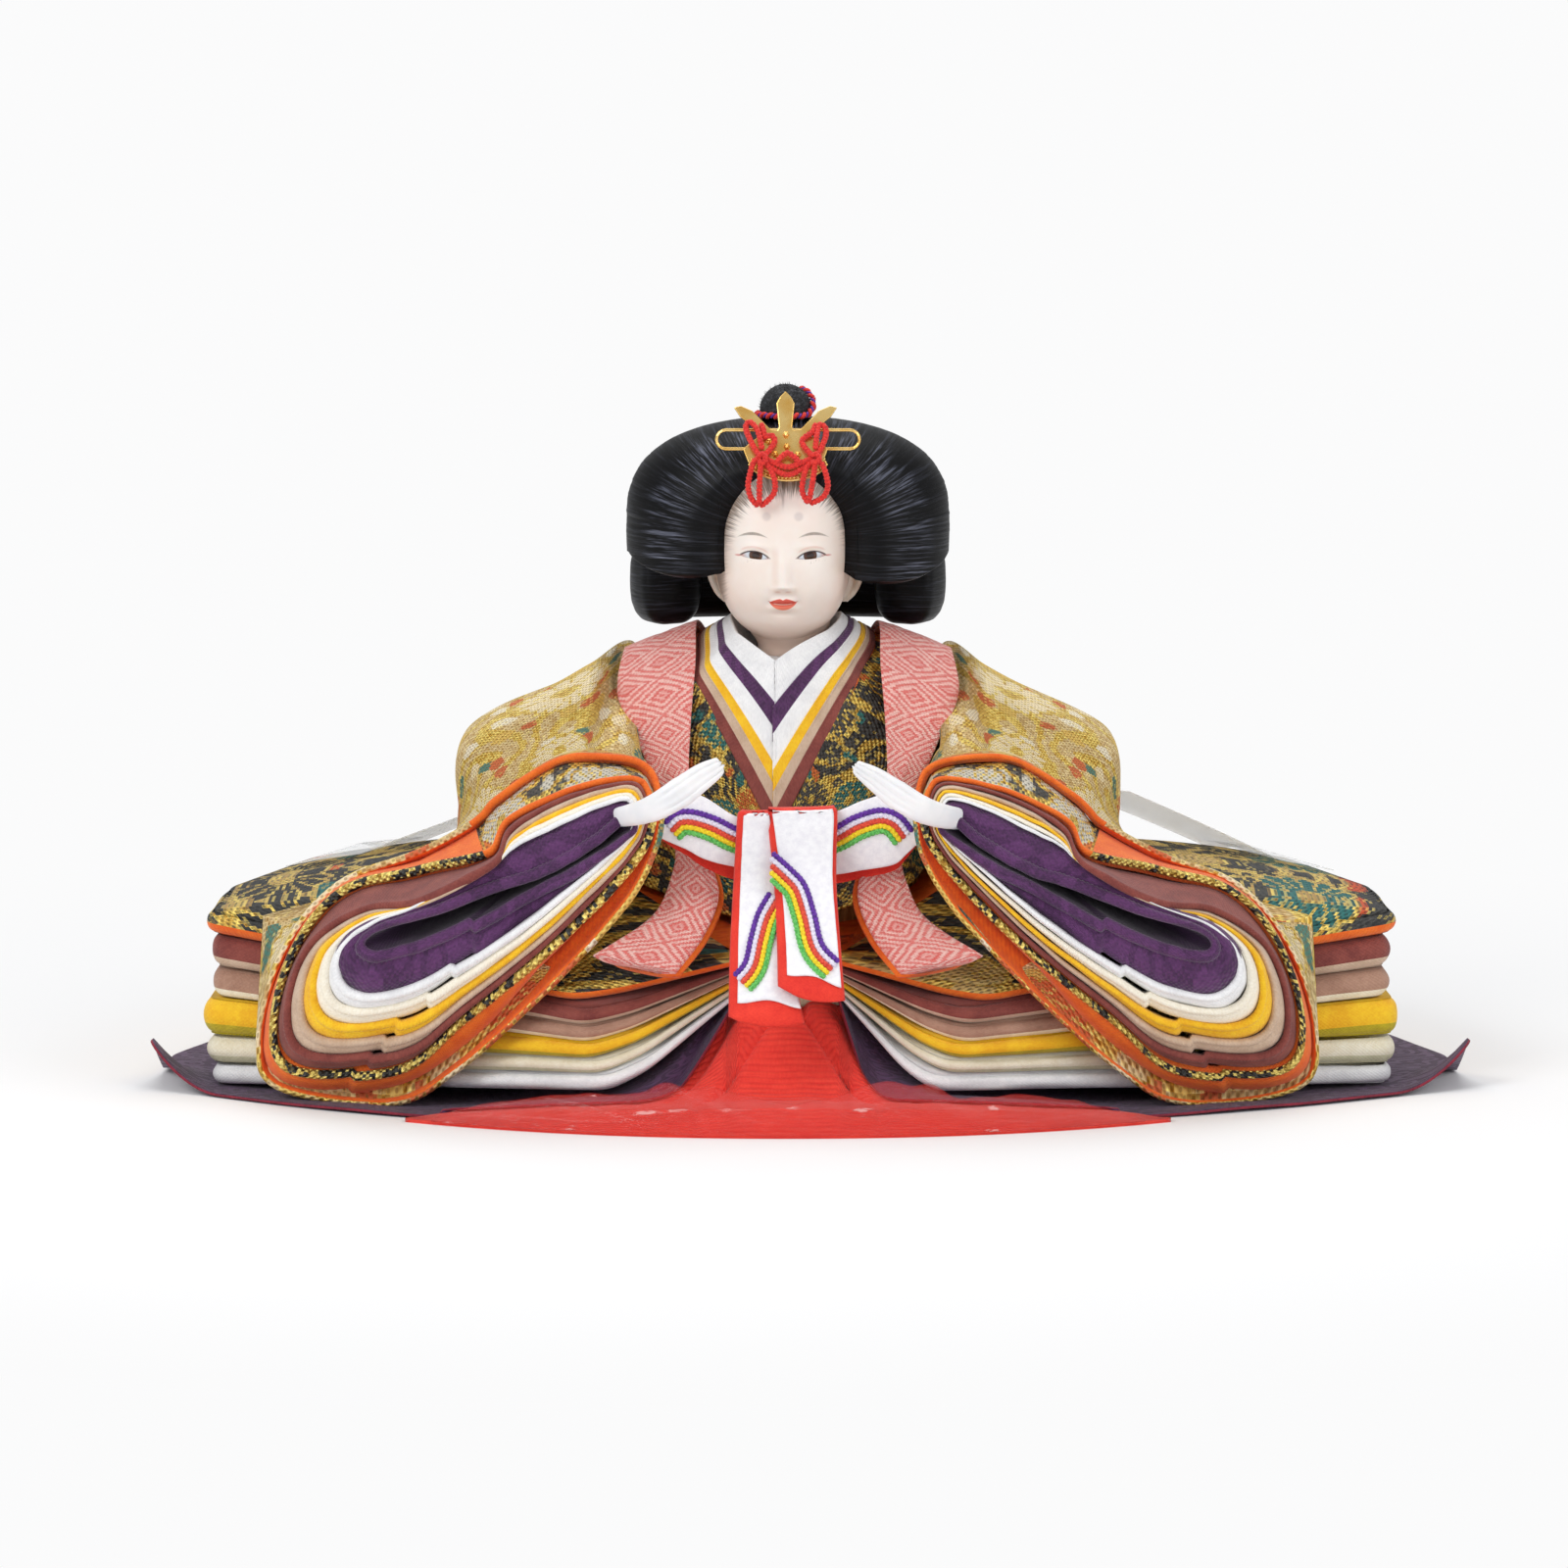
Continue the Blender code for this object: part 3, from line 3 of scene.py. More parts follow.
import bmesh
import bpy
import numpy as np
from mathutils.bvhtree import BVHTree
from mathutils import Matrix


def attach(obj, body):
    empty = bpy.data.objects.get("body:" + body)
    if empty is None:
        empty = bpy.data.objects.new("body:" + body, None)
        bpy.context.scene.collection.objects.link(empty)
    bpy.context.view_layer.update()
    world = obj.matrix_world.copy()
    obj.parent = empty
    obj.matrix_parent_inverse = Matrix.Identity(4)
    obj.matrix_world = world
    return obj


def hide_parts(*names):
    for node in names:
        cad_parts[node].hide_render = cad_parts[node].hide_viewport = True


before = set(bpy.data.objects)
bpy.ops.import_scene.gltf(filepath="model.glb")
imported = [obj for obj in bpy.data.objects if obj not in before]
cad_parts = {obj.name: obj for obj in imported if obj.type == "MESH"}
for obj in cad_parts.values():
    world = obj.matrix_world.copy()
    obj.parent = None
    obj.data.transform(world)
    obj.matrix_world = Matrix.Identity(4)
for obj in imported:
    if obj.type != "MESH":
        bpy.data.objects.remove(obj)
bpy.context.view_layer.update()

# Table, studio light and camera
# A plain pale table top and a white room, with large soft lamps. The camera looks down a little
# at the front of the doll, as in the photograph.
table_half = 3.0
table = bpy.data.meshes.new("table_top")
table.from_pydata(
    [(-table_half, -table_half, 0), (table_half, -table_half, 0), (table_half, table_half, 0), (-table_half, table_half, 0)],
    [], [(0, 1, 2, 3)],
)
table_top = bpy.data.objects.new("table_top", table)
bpy.context.scene.collection.objects.link(table_top)
paper = bpy.data.materials.new("pale_paper")
paper.use_nodes = True
tree = paper.node_tree
matt = tree.nodes["Principled BSDF"]
matt.inputs["Base Color"].default_value = (0.93, 0.93, 0.93, 1)
matt.inputs["Roughness"].default_value = 0.9
matt.inputs["Specular IOR Level"].default_value = 0.2
glow = tree.nodes.new("ShaderNodeEmission")
glow.inputs["Color"].default_value = (0.965, 0.965, 0.968, 1)
rays = tree.nodes.new("ShaderNodeLightPath")
place = tree.nodes.new("ShaderNodeTexCoord")
reach = tree.nodes.new("ShaderNodeVectorMath")
reach.operation = "LENGTH"
fade = tree.nodes.new("ShaderNodeMapRange")
fade.interpolation_type = "SMOOTHSTEP"
fade.inputs["From Min"].default_value = 0.17
fade.inputs["From Max"].default_value = 0.42
seen = tree.nodes.new("ShaderNodeMath")
seen.operation = "MULTIPLY"
blend = tree.nodes.new("ShaderNodeMixShader")
tree.links.new(place.outputs["Object"], reach.inputs[0])
tree.links.new(reach.outputs["Value"], fade.inputs["Value"])
tree.links.new(fade.outputs["Result"], seen.inputs[0])
tree.links.new(rays.outputs["Is Camera Ray"], seen.inputs[1])
tree.links.new(seen.outputs[0], blend.inputs[0])
tree.links.new(matt.outputs[0], blend.inputs[1])
tree.links.new(glow.outputs[0], blend.inputs[2])
tree.links.new(blend.outputs[0], tree.nodes["Material Output"].inputs["Surface"])
table.materials.append(paper)

room = bpy.data.worlds.new("white_room")
bpy.context.scene.world = room
room.use_nodes = True
tree = room.node_tree
air = tree.nodes["Background"]
air.inputs["Color"].default_value = (0.97, 0.98, 1.0, 1)
air.inputs["Strength"].default_value = 0.5
wall = tree.nodes.new("ShaderNodeBackground")
wall.inputs["Color"].default_value = (0.965, 0.965, 0.968, 1)
wall.inputs["Strength"].default_value = 1.0
rays = tree.nodes.new("ShaderNodeLightPath")
either = tree.nodes.new("ShaderNodeMath")
either.operation = "MAXIMUM"
blend = tree.nodes.new("ShaderNodeMixShader")
tree.links.new(rays.outputs["Is Camera Ray"], either.inputs[0])
tree.links.new(rays.outputs["Is Transmission Ray"], either.inputs[1])
tree.links.new(either.outputs[0], blend.inputs[0])
tree.links.new(air.outputs[0], blend.inputs[1])
tree.links.new(wall.outputs[0], blend.inputs[2])
tree.links.new(blend.outputs[0], tree.nodes["World Output"].inputs["Surface"])


def soft_lamp(name, size, power, where, towards):
    """A square soft lamp of a size and a power in watts, aimed from one point towards another."""
    lamp = bpy.data.lights.new(name, "AREA")
    lamp.shape = "SQUARE"
    lamp.size = size
    lamp.energy = power
    obj = bpy.data.objects.new(name, lamp)
    obj.location = where
    aim = np.array(towards) - np.array(where)
    obj.rotation_euler = (math.atan2(math.hypot(aim[0], aim[1]), -aim[2]), 0, math.atan2(aim[0], -aim[1]) + math.pi)
    bpy.context.scene.collection.objects.link(obj)


soft_lamp("lamp_left", 0.7, 9.0, (-0.9, -0.9, 0.95), (0, 0, 0.07))
soft_lamp("lamp_right", 0.9, 6.0, (1.1, -0.8, 0.75), (0, 0, 0.07))
soft_lamp("lamp_top", 1.0, 6.0, (0.0, 0.25, 1.25), (0, 0, 0.05))

camera_distance = 2.0
camera_rise = math.radians(7)
aim_height = 0.07164
aim_across = -0.00096
camera_data = bpy.data.cameras.new("camera")
camera_data.sensor_width = 36
camera_data.lens = 36 * camera_distance / 0.38554
camera_data.clip_end = 20
camera = bpy.data.objects.new("camera", camera_data)
camera.location = (
    aim_across, -camera_distance * math.cos(camera_rise), aim_height + camera_distance * math.sin(camera_rise)
)
camera.rotation_euler = (math.pi / 2 - camera_rise, 0, 0)
bpy.context.scene.collection.objects.link(camera)
bpy.context.scene.camera = camera
bpy.context.scene.view_settings.view_transform = "Standard"


# Bound straw trunk, arm wire and neck peg
# The body inside the robes: a bundle of straw bound tight with thread, a steel wire through the
# shoulders for the arms, and a turned wooden peg for the head.
class Shade:
    """A shader socket that takes arithmetic. Each sign adds one Math node to its tree."""

    def __init__(self, tree, socket=None):
        self.tree = tree
        self.socket = socket

    def node(self, kind, settings=(), values=(), out=0):
        made = self.tree.nodes.new(kind)
        for key, value in dict(settings).items():
            if key == "stops":
                ramp = made.color_ramp
                for index, (stop, colour) in enumerate(value):
                    element = ramp.elements[index] if index < 2 else ramp.elements.new(stop)
                    element.position = stop
                    element.color = (*colour[:3], 1)
            else:
                setattr(made, key, value)
        for key, value in dict(values).items():
            if isinstance(value, Shade):
                self.tree.links.new(value.socket, made.inputs[key])
            else:
                made.inputs[key].default_value = value
        return Shade(self.tree, made.outputs[out])

    def maths(self, operation, *terms):
        return self.node("ShaderNodeMath", {"operation": operation}, enumerate(terms))

    def __add__(self, other):
        return self.maths("ADD", self, other)

    def __sub__(self, other):
        return self.maths("SUBTRACT", self, other)

    def __rsub__(self, other):
        return self.maths("SUBTRACT", other, self)

    def __mul__(self, other):
        return self.maths("MULTIPLY", self, other)

    def __truediv__(self, other):
        return self.maths("DIVIDE", self, other)

    def __rtruediv__(self, other):
        return self.maths("DIVIDE", other, self)

    def __pow__(self, other):
        return self.maths("POWER", self, other)

    __radd__ = __add__
    __rmul__ = __mul__

    def size(self):
        return self.maths("ABSOLUTE", self)

    def step(self, low, high):
        """0 below low, 1 above high and a smooth rise between."""
        return self.node("ShaderNodeMapRange", {"interpolation_type": "SMOOTHSTEP"}, {0: self, 1: low, 2: high})

    def mix(self, first, second):
        """The first colour where this is 0, the second where it is 1."""
        first, second = (c if isinstance(c, Shade) else (*c[:3], 1) for c in (first, second))
        return self.node("ShaderNodeMix", {"data_type": "RGBA"}, {0: self, 6: first, 7: second}, 2)

    def feed(self, name):
        self.tree.links.new(self.socket, self.tree.nodes["Principled BSDF"].inputs[name])


def dye(red, green, blue):
    """A colour read from 0 to 255, as light."""
    return tuple(((c / 255 + 0.055) / 1.055) ** 2.4 if c > 10 else c / 3294.6 for c in (red, green, blue))


def finish_of(name, **sockets):
    """A new material with constant sockets, and the tree that its varying sockets are fed from."""
    made = bpy.data.materials.new(name)
    made.use_nodes = True
    shader = made.node_tree.nodes["Principled BSDF"]
    for key, value in sockets.items():
        shader.inputs[key.replace("_", " ")].default_value = value
    return made, Shade(made.node_tree)


def object_place(paint, scale=(1, 1, 1), turn=(0, 0, 0)):
    """Object coordinates, turned and scaled by a Mapping node."""
    place = paint.node("ShaderNodeTexCoord", (), (), 3)
    return paint.node("ShaderNodeMapping", (), {0: place, 2: turn, 3: scale})


def noise(paint, place, scale, detail=2.0, roughness=0.5, out=0):
    return paint.node("ShaderNodeTexNoise", (), {0: place, 2: scale, 3: detail, 4: roughness}, out)


def relief(paint, height, strength, depth):
    """A bump of a height field, a depth in metres."""
    bump = paint.node("ShaderNodeBump", (), {"Strength": strength, "Distance": depth, "Height": height})
    bump.feed("Normal")


straw, paint = finish_of("bound_straw", Roughness=0.85)
stalk = noise(paint, object_place(paint, (900, 900, 60)), 1.0, 3.0)
stalk.step(0.3, 0.7).mix(dye(150, 120, 66), dye(218, 194, 130)).feed("Base Color")
binding = paint.node("ShaderNodeTexWave", {"bands_direction": "Z"}, {0: object_place(paint), 1: 55.0, 2: 0.4})
relief(paint, stalk + binding * 0.8, 0.6, 0.0006)
steel, paint = finish_of("drawn_wire", Roughness=0.4, Metallic=0.9)
drawn = noise(paint, object_place(paint, (1200, 200, 200)), 1.0)
drawn.step(0.3, 0.7).mix(dye(110, 108, 102), dye(142, 138, 132)).feed("Base Color")
wood, paint = finish_of("turned_wood", Roughness=0.6)
grain = noise(paint, object_place(paint, (900, 900, 90)), 1.0, 3.0)
grain.step(0.3, 0.7).mix(dye(168, 126, 80), dye(206, 168, 118)).feed("Base Color")
relief(paint, grain, 0.3, 0.0002)
for word, material in (("straw_trunk", straw), ("arm_wire", steel), ("neck_stick", wood)):
    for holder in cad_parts[word].material_slots:
        holder.material = material


# Red trousers and their clear film
# One stiff padded form of ribbed red silk with a box pleat up the middle. Its front roll lies on
# the table, under a crinkled strip of clear film that is stuck along the roll.
def skin(name, rows, body, materials, around=False, pick=None, stretch=1.0):
    """A surface through rows of places, with its lengths in metres as a UV map.

    u is the mean length along the rows, times stretch, and v the mean length from row to row.
    around joins each row's end to its start. pick gives each face's material from its row and column.
    """
    rows = np.asarray(rows, float)
    high, wide = rows.shape[:2]
    index = np.arange(high * wide).reshape(high, wide)
    if around:
        index = np.concatenate([index, index[:, :1]], axis=1)
        rows = np.concatenate([rows, rows[:, :1]], axis=1)
    faces = np.stack([index[:-1, :-1], index[:-1, 1:], index[1:, 1:], index[1:, :-1]], axis=-1).reshape(-1, 4)
    along = np.linalg.norm(np.diff(rows, axis=1), axis=2).mean(axis=0) * stretch
    down = np.linalg.norm(np.diff(rows, axis=0), axis=2).mean(axis=1)
    u, v = np.meshgrid(np.concatenate([[0], along.cumsum()]), np.concatenate([[0], down.cumsum()]))
    flat = np.stack([u, v], axis=-1)
    corners = np.stack([flat[:-1, :-1], flat[:-1, 1:], flat[1:, 1:], flat[1:, :-1]], axis=2).reshape(-1)
    mesh = bpy.data.meshes.new(name)
    mesh.vertices.add(high * wide)
    mesh.vertices.foreach_set("co", rows[:, :wide].reshape(-1))
    mesh.loops.add(faces.size)
    mesh.loops.foreach_set("vertex_index", faces.reshape(-1))
    mesh.polygons.add(len(faces))
    mesh.polygons.foreach_set("loop_start", np.arange(0, faces.size, 4))
    mesh.uv_layers.new(name="lengths").data.foreach_set("uv", corners.astype(np.float32))
    for material in materials:
        mesh.materials.append(material)
    if pick is not None:
        at_row, at_column = np.divmod(np.arange(len(faces)), index.shape[1] - 1)
        mesh.polygons.foreach_set("material_index", pick(at_row, at_column).astype(np.int32))
    mesh.update(calc_edges=True)
    mesh.validate()
    mesh.shade_smooth()
    obj = bpy.data.objects.new(name, mesh)
    bpy.context.scene.collection.objects.link(obj)
    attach(obj, body)
    return obj


def outwards(obj, cap=True):
    """Turns the faces of a closed form outwards, after its ends are filled and its poles joined."""
    shape = bmesh.new()
    shape.from_mesh(obj.data)
    bmesh.ops.remove_doubles(shape, verts=shape.verts[:], dist=1e-6)
    if cap:
        bmesh.ops.holes_fill(shape, edges=shape.edges[:], sides=0)
    bmesh.ops.recalc_face_normals(shape, faces=shape.faces[:])
    if shape.calc_volume(signed=True) < 0:
        bmesh.ops.reverse_faces(shape, faces=shape.faces[:])
    shape.to_mesh(obj.data)
    shape.free()
    return obj


def thickened(obj, thickness, offset=0.0, lining=0, rim=0):
    """Cloth of a thickness, with its lining and its rim in other material slots."""
    solid = obj.modifiers.new("cloth", "SOLIDIFY")
    solid.thickness = thickness
    solid.offset = offset
    solid.material_offset = lining
    solid.material_offset_rim = rim
    return obj


def curve_through(points, count, closed=False):
    """Points at even steps along the Catmull Rom curve through the given ones."""
    points = np.asarray(points, float)
    if closed:
        padded = np.vstack([points[-1:], points, points[:2]])
        place = np.arange(count) * len(points) / count
    else:
        padded = np.vstack([2 * points[0] - points[1], points, 2 * points[-1] - points[-2]])
        place = np.linspace(0, len(points) - 1, count)
    index = np.minimum(place.astype(int), len(padded) - 4)
    share = (place - index)[:, None]
    before, start, end, after = (padded[index + step] for step in range(4))
    return 0.5 * (
        2 * start
        + (end - before) * share
        + (2 * before - 5 * start + 4 * end - after) * share**2
        + (3 * start - before - 3 * end + after) * share**3
    )


def waves(place, seed, count=6, low=1.0, high=7.0):
    """A smooth wandering line from -1 to 1: a sum of sines of seeded frequencies and phases."""
    chance = np.random.default_rng(seed)
    total = sum(
        np.sin(2 * np.pi * (rate * place + start)) / (1 + step * 0.5)
        for step, (rate, start) in enumerate(zip(np.linspace(low, high, count), chance.random(count)))
    )
    return total / sum(1 / (1 + step * 0.5) for step in range(count))


def threads(paint, warp, weft):
    """Height and random tone of the cells of a plain weave, from the UV lengths.

    height = (1 + sin(pi u / warp) sin(pi v / weft)) / 2, which is up where one thread crosses over.
    """
    axes = paint.node("ShaderNodeSeparateXYZ", (), {0: paint.node("ShaderNodeTexCoord", (), (), 2)})
    u, v = Shade(paint.tree, axes.socket.node.outputs[0]) / warp, Shade(paint.tree, axes.socket.node.outputs[1]) / weft
    height = (u * math.pi).maths("SINE", u * math.pi) * (v * math.pi).maths("SINE", v * math.pi) * 0.5 + 0.5
    cell = paint.node("ShaderNodeCombineXYZ", (), {0: u.maths("FLOOR", u), 1: v.maths("FLOOR", v)})
    return height, paint.node("ShaderNodeTexWhiteNoise", {"noise_dimensions": "2D"}, {0: cell}, 0), u, v


def silk(name, light, dark, warp=0.00045, weft=0.00038, depth=0.00012, roughness=0.8, sheen=0.15, blotch=160.0):
    """Woven silk: two near tones in soft blotches and single threads, over the bump of the weave."""
    made, paint = finish_of(name, Roughness=roughness, Specular_IOR_Level=0.35, Sheen_Weight=sheen)
    height, chance, _, _ = threads(paint, warp, weft)
    soft = noise(paint, object_place(paint), blotch, 3.0, 0.6)
    (soft.step(0.28, 0.72) * 0.62 + chance * 0.38).mix(dye(*dark), dye(*light)).feed("Base Color")
    relief(paint, height + soft * 0.8, 0.7, depth)
    return made


trouser_reach, trouser_front, trouser_pad, trouser_mound = 0.091, 0.1, 0.0062, 0.0215
mound_half_top, mound_half_foot = 0.013, 0.036


def lap_front(across):
    """The front line of the roll: y = -front (1 - 0.24 share^2.2), with share the part of the reach."""
    return -trouser_front * (1 - 0.24 * np.minimum(1, np.abs(across) / trouser_reach) ** 2.2)


def lap_height(across, along):
    """Height of the trousers: the padded roll in front and the smooth rise over the lap."""
    reach = np.minimum(1, np.abs(across) / trouser_reach)
    padding = trouser_pad * (0.15 + 0.85 * (1 - reach**2))
    edge = np.clip((along - lap_front(across)) / trouser_pad, 0, 1) ** 0.5
    rise = np.clip((mound_half_foot - np.abs(across)) / (mound_half_foot - mound_half_top), 0, 1)
    slope = np.clip((along + 0.84 * trouser_front) / (0.24 * trouser_front), 0, 1)
    return padding * edge + trouser_mound * rise * slope * slope * (3 - 2 * slope)


red_rib, paint = finish_of("ribbed_red_silk", Roughness=0.62, Specular_IOR_Level=0.4, Sheen_Weight=0.2)
height, chance, u, v = threads(paint, 0.0005, 0.0007)
slub = noise(paint, object_place(paint, (120, 900, 900)), 1.0, 3.0)
rib = (v * math.pi).maths("SINE", v * math.pi).size()
# Painted shade between the ribs: the colour is lighter on the rib crests and darker in the valleys, from the same rib
# height as the bump.
(slub.step(0.3, 0.7) * 0.35 + chance * 0.15 + rib * 0.3).mix(dye(222, 36, 28), dye(255, 74, 54)).feed("Base Color")
relief(paint, rib * 1.0 + height * 0.3 + slub * 0.4, 0.7, 0.0002)
across = np.linspace(-1, 1, 241)
across = trouser_reach * np.sign(across) * np.abs(across) ** 1.25
share = np.concatenate([np.linspace(0, 0.16, 16), np.linspace(0.18, 1, 60)])
front_line = lap_front(across)
back_line = -0.1 * np.interp(
    np.abs(across) / trouser_reach, (0, 0.13, 0.165, 0.395, 0.6, 1), (0.448, 0.448, 0.612, 0.712, 0.735, 0.74)
)
back_line = np.maximum(back_line, front_line + 0.0012)
x, part = np.meshgrid(across, share)
y = front_line + (back_line - front_line) * part
z = np.maximum(lap_height(x, y), 0.0009)
rise = np.clip((y + 0.085) / 0.02, 0, 1)
fold = np.exp(-((np.abs(x) - (0.0035 + 0.018 * (1 - rise))) / 0.0011) ** 2)
side_fold = np.exp(-((np.abs(x) - (0.012 + 0.021 * (1 - rise))) / 0.0014) ** 2)
z = z - 0.0024 * fold * np.clip(rise * 3, 0.25, 1) - 0.0016 * side_fold * np.clip(rise * 2, 0.2, 1)
z = z + 0.00035 * waves(x / 0.09 + y * 4, 3, 6, 2, 12) * np.clip(z / 0.004, 0, 1)
z[0] = 0.0004
top = np.stack([x, y, np.maximum(z, 0.0004)], axis=-1)
bottom = top.copy()
bottom[..., 2] = 0
lap = outwards(skin("trouser_silk", np.concatenate([bottom[::-1], top]), "figure", [red_rib]), cap=True)
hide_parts("trousers")

film, paint = finish_of("clear_film", Roughness=0.08, IOR=1.45, Alpha=0.3, Coat_Weight=0.5)
crease = noise(paint, object_place(paint, (0.3, 1, 1.8)), 230.0, 4.0, 0.6)
# Painted highlight: white glints painted into the film's colour along the crests of its creases, where the film is also
# less clear.
glint = crease.step(0.64, 0.69) * noise(paint, object_place(paint), 70.0, 1.0).step(0.42, 0.6)
(glint * 0.7).mix(dye(232, 60, 52), dye(255, 214, 208)).feed("Base Color")
(glint * 0.35 + 0.2).feed("Alpha")
relief(paint, crease, 1.0, 0.0022)
x = np.linspace(-0.93, 0.93, 361) * trouser_reach
peak = 0.0031 * (np.exp(-((np.abs(x) - 0.0245) / 0.011) ** 2)) + 0.0022 * waves(x / 0.17, 21, 7, 2, 19)
rows = []
for part in np.linspace(0, 1, 14):
    ends = np.clip((1 - np.abs(x) / (0.93 * trouser_reach)) / 0.2, 0.02, 1) ** 0.6
    z = 0.0008 + (0.0082 + peak) * part * (1 - 0.4 * (np.abs(x) / trouser_reach) ** 2) * ends
    y = lap_front(x) - 0.0009 + 0.95 * np.clip(z - 0.0034, 0, 1) + 0.0005 * waves(x / 0.05 + part * 0.7, 5, 6, 1, 9)
    rows.append(np.stack([x, y, z], axis=-1))
strip = thickened(skin("film_strip", rows, "figure", [film]), 0.00008)
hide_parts("hem_film")


# Purple ground sheet and the spread layered hems
# A thin purple damask sheet lies lowest, with its two front tips curled up. On it lie six padded
# layers: white, cream, yellow, taupe, rust and brocade, each lined in another tone and rolled at the edge.
hem_left, hem_right, hem_front, hem_back, hem_tip = 0.1402, 0.1466, 0.072, 0.1, 0.026
near_line = np.array([(-0.14, -0.6), (-0.38, -0.42), (-0.395, 0.0), (-0.33, 0.33), (0, 0.37)]) * 0.1


def smooth_line(points, count, width):
    """A polyline at even steps, with its corners rounded by a running mean of a width in steps."""
    points = np.asarray(points, float)
    length = np.concatenate([[0], np.linalg.norm(np.diff(points[:, :2], axis=0), axis=1).cumsum()])
    place = np.linspace(0, length[-1], count)
    line = np.stack([np.interp(place, length, points[:, axis]) for axis in range(points.shape[1])], axis=1)
    padded = np.vstack([2 * line[0] - line[width:0:-1], line, 2 * line[-1] - line[-2:-width - 2:-1]])
    kernel = np.hanning(2 * width + 3)[1:-1]
    kernel /= kernel.sum()
    return np.stack([np.convolve(padded[:, axis], kernel, "valid") for axis in range(points.shape[1])], axis=1)


def spread_outline(left, right, corners, front, count, width=4):
    """Outer and inner outlines of a spread hem, from under the bow round the back to under the bow.

    Column 2 of the outer one goes from 0 under the bow to 1 at the front corner, and column 3 on to
    1 at the side. Column 2 of the inner one goes from 0 under the bow to 1 beside the trunk.
    """
    outer, inner = [], []
    for reach, sign, corner in ((left, -1, corners[0]), (right, 1, corners[1])):
        out = [
            (sign * 0.0118, -0.0675, 0, 0), (sign * (0.3 * corner + 0.0083), -0.0675 + 0.3 * (0.0675 - front), 0.34, 0),
            (sign * (0.7 * corner + 0.0036), -0.0675 + 0.75 * (0.0675 - front), 0.80, 0),
            (sign * corner, -front, 1, 0), (sign * reach, -hem_tip, 1, 1), (sign * reach * 0.985, 0.2 * hem_back, 1, 1),
            (sign * reach * 0.86, 0.78 * hem_back, 1, 1), (0, hem_back, 1, 1),
        ]
        near = near_line * (-sign, 1)
        near = [(*place, weight) for place, weight in zip(near, (0, 0.85, 1, 1, 1))]
        near = [near[0]] * 3 + near
        outer = out if sign < 0 else outer[:-1] + out[::-1]
        inner = near if sign < 0 else inner[:-1] + near[::-1]
    marks = np.array(outer)
    outer = smooth_line(outer, count, width)
    whole = np.concatenate([[0], np.linalg.norm(np.diff(outer[:, :2], axis=0), axis=1).cumsum()])
    at = [whole[np.argmin(np.linalg.norm(outer[:, :2] - place, axis=1))] for place in marks[:, :2]]
    inner = np.stack([np.interp(whole, at, np.array(inner)[:, axis]) for axis in range(3)], axis=1)
    return outer, inner, np.linspace(0, 1, count)


hem_levels = {
    "white": (0.075, 0.112, 0.013, 0.058, 0.290, 0.303, 0.06),
    "cream": (0.117, 0.146, 0.064, 0.128, 0.304, 0.316, 0.128),
    "yellow": (0.150, 0.184, 0.134, 0.222, 0.317, 0.331, 0.222),
    "taupe": (0.188, 0.224, 0.228, 0.296, 0.332, 0.345, 0.296),
    "rust": (0.228, 0.268, 0.302, 0.378, 0.346, 0.362, 0.378),
    "brocade": (0.282, 0.322, 0.384, 0.435, 0.364, 0.392, 0.545),
}
hem_corners = {
    "white": (0.0425, 0.0345), "cream": (0.0445, 0.0375), "yellow": (0.0465, 0.0400), "taupe": (0.0475, 0.0415),
    "rust": (0.0480, 0.0425), "brocade": (0.0510, 0.0470),
}
hem_insets = {"white": 0.995, "cream": 1.0, "yellow": 1.005, "taupe": 0.99, "rust": 0.99, "brocade": 1.0}
white_silk = silk("white_silk", (250, 250, 250), (228, 228, 230))
cream_silk = silk("cream_silk", (246, 240, 220), (228, 216, 186))
yellow_silk = silk("yellow_silk", (252, 206, 36), (236, 170, 16))
taupe_silk = silk("taupe_silk", (184, 144, 122), (158, 116, 96))
beige_silk = silk("beige_silk", (214, 188, 164), (190, 160, 134))
rust_silk = silk("rust_silk", (146, 74, 64), (112, 48, 44))
olive_silk = silk("olive_silk", (206, 186, 36), (176, 154, 22))
orange_silk = silk("orange_lining", (244, 122, 34), (222, 88, 18), warp=0.0005, weft=0.0005)


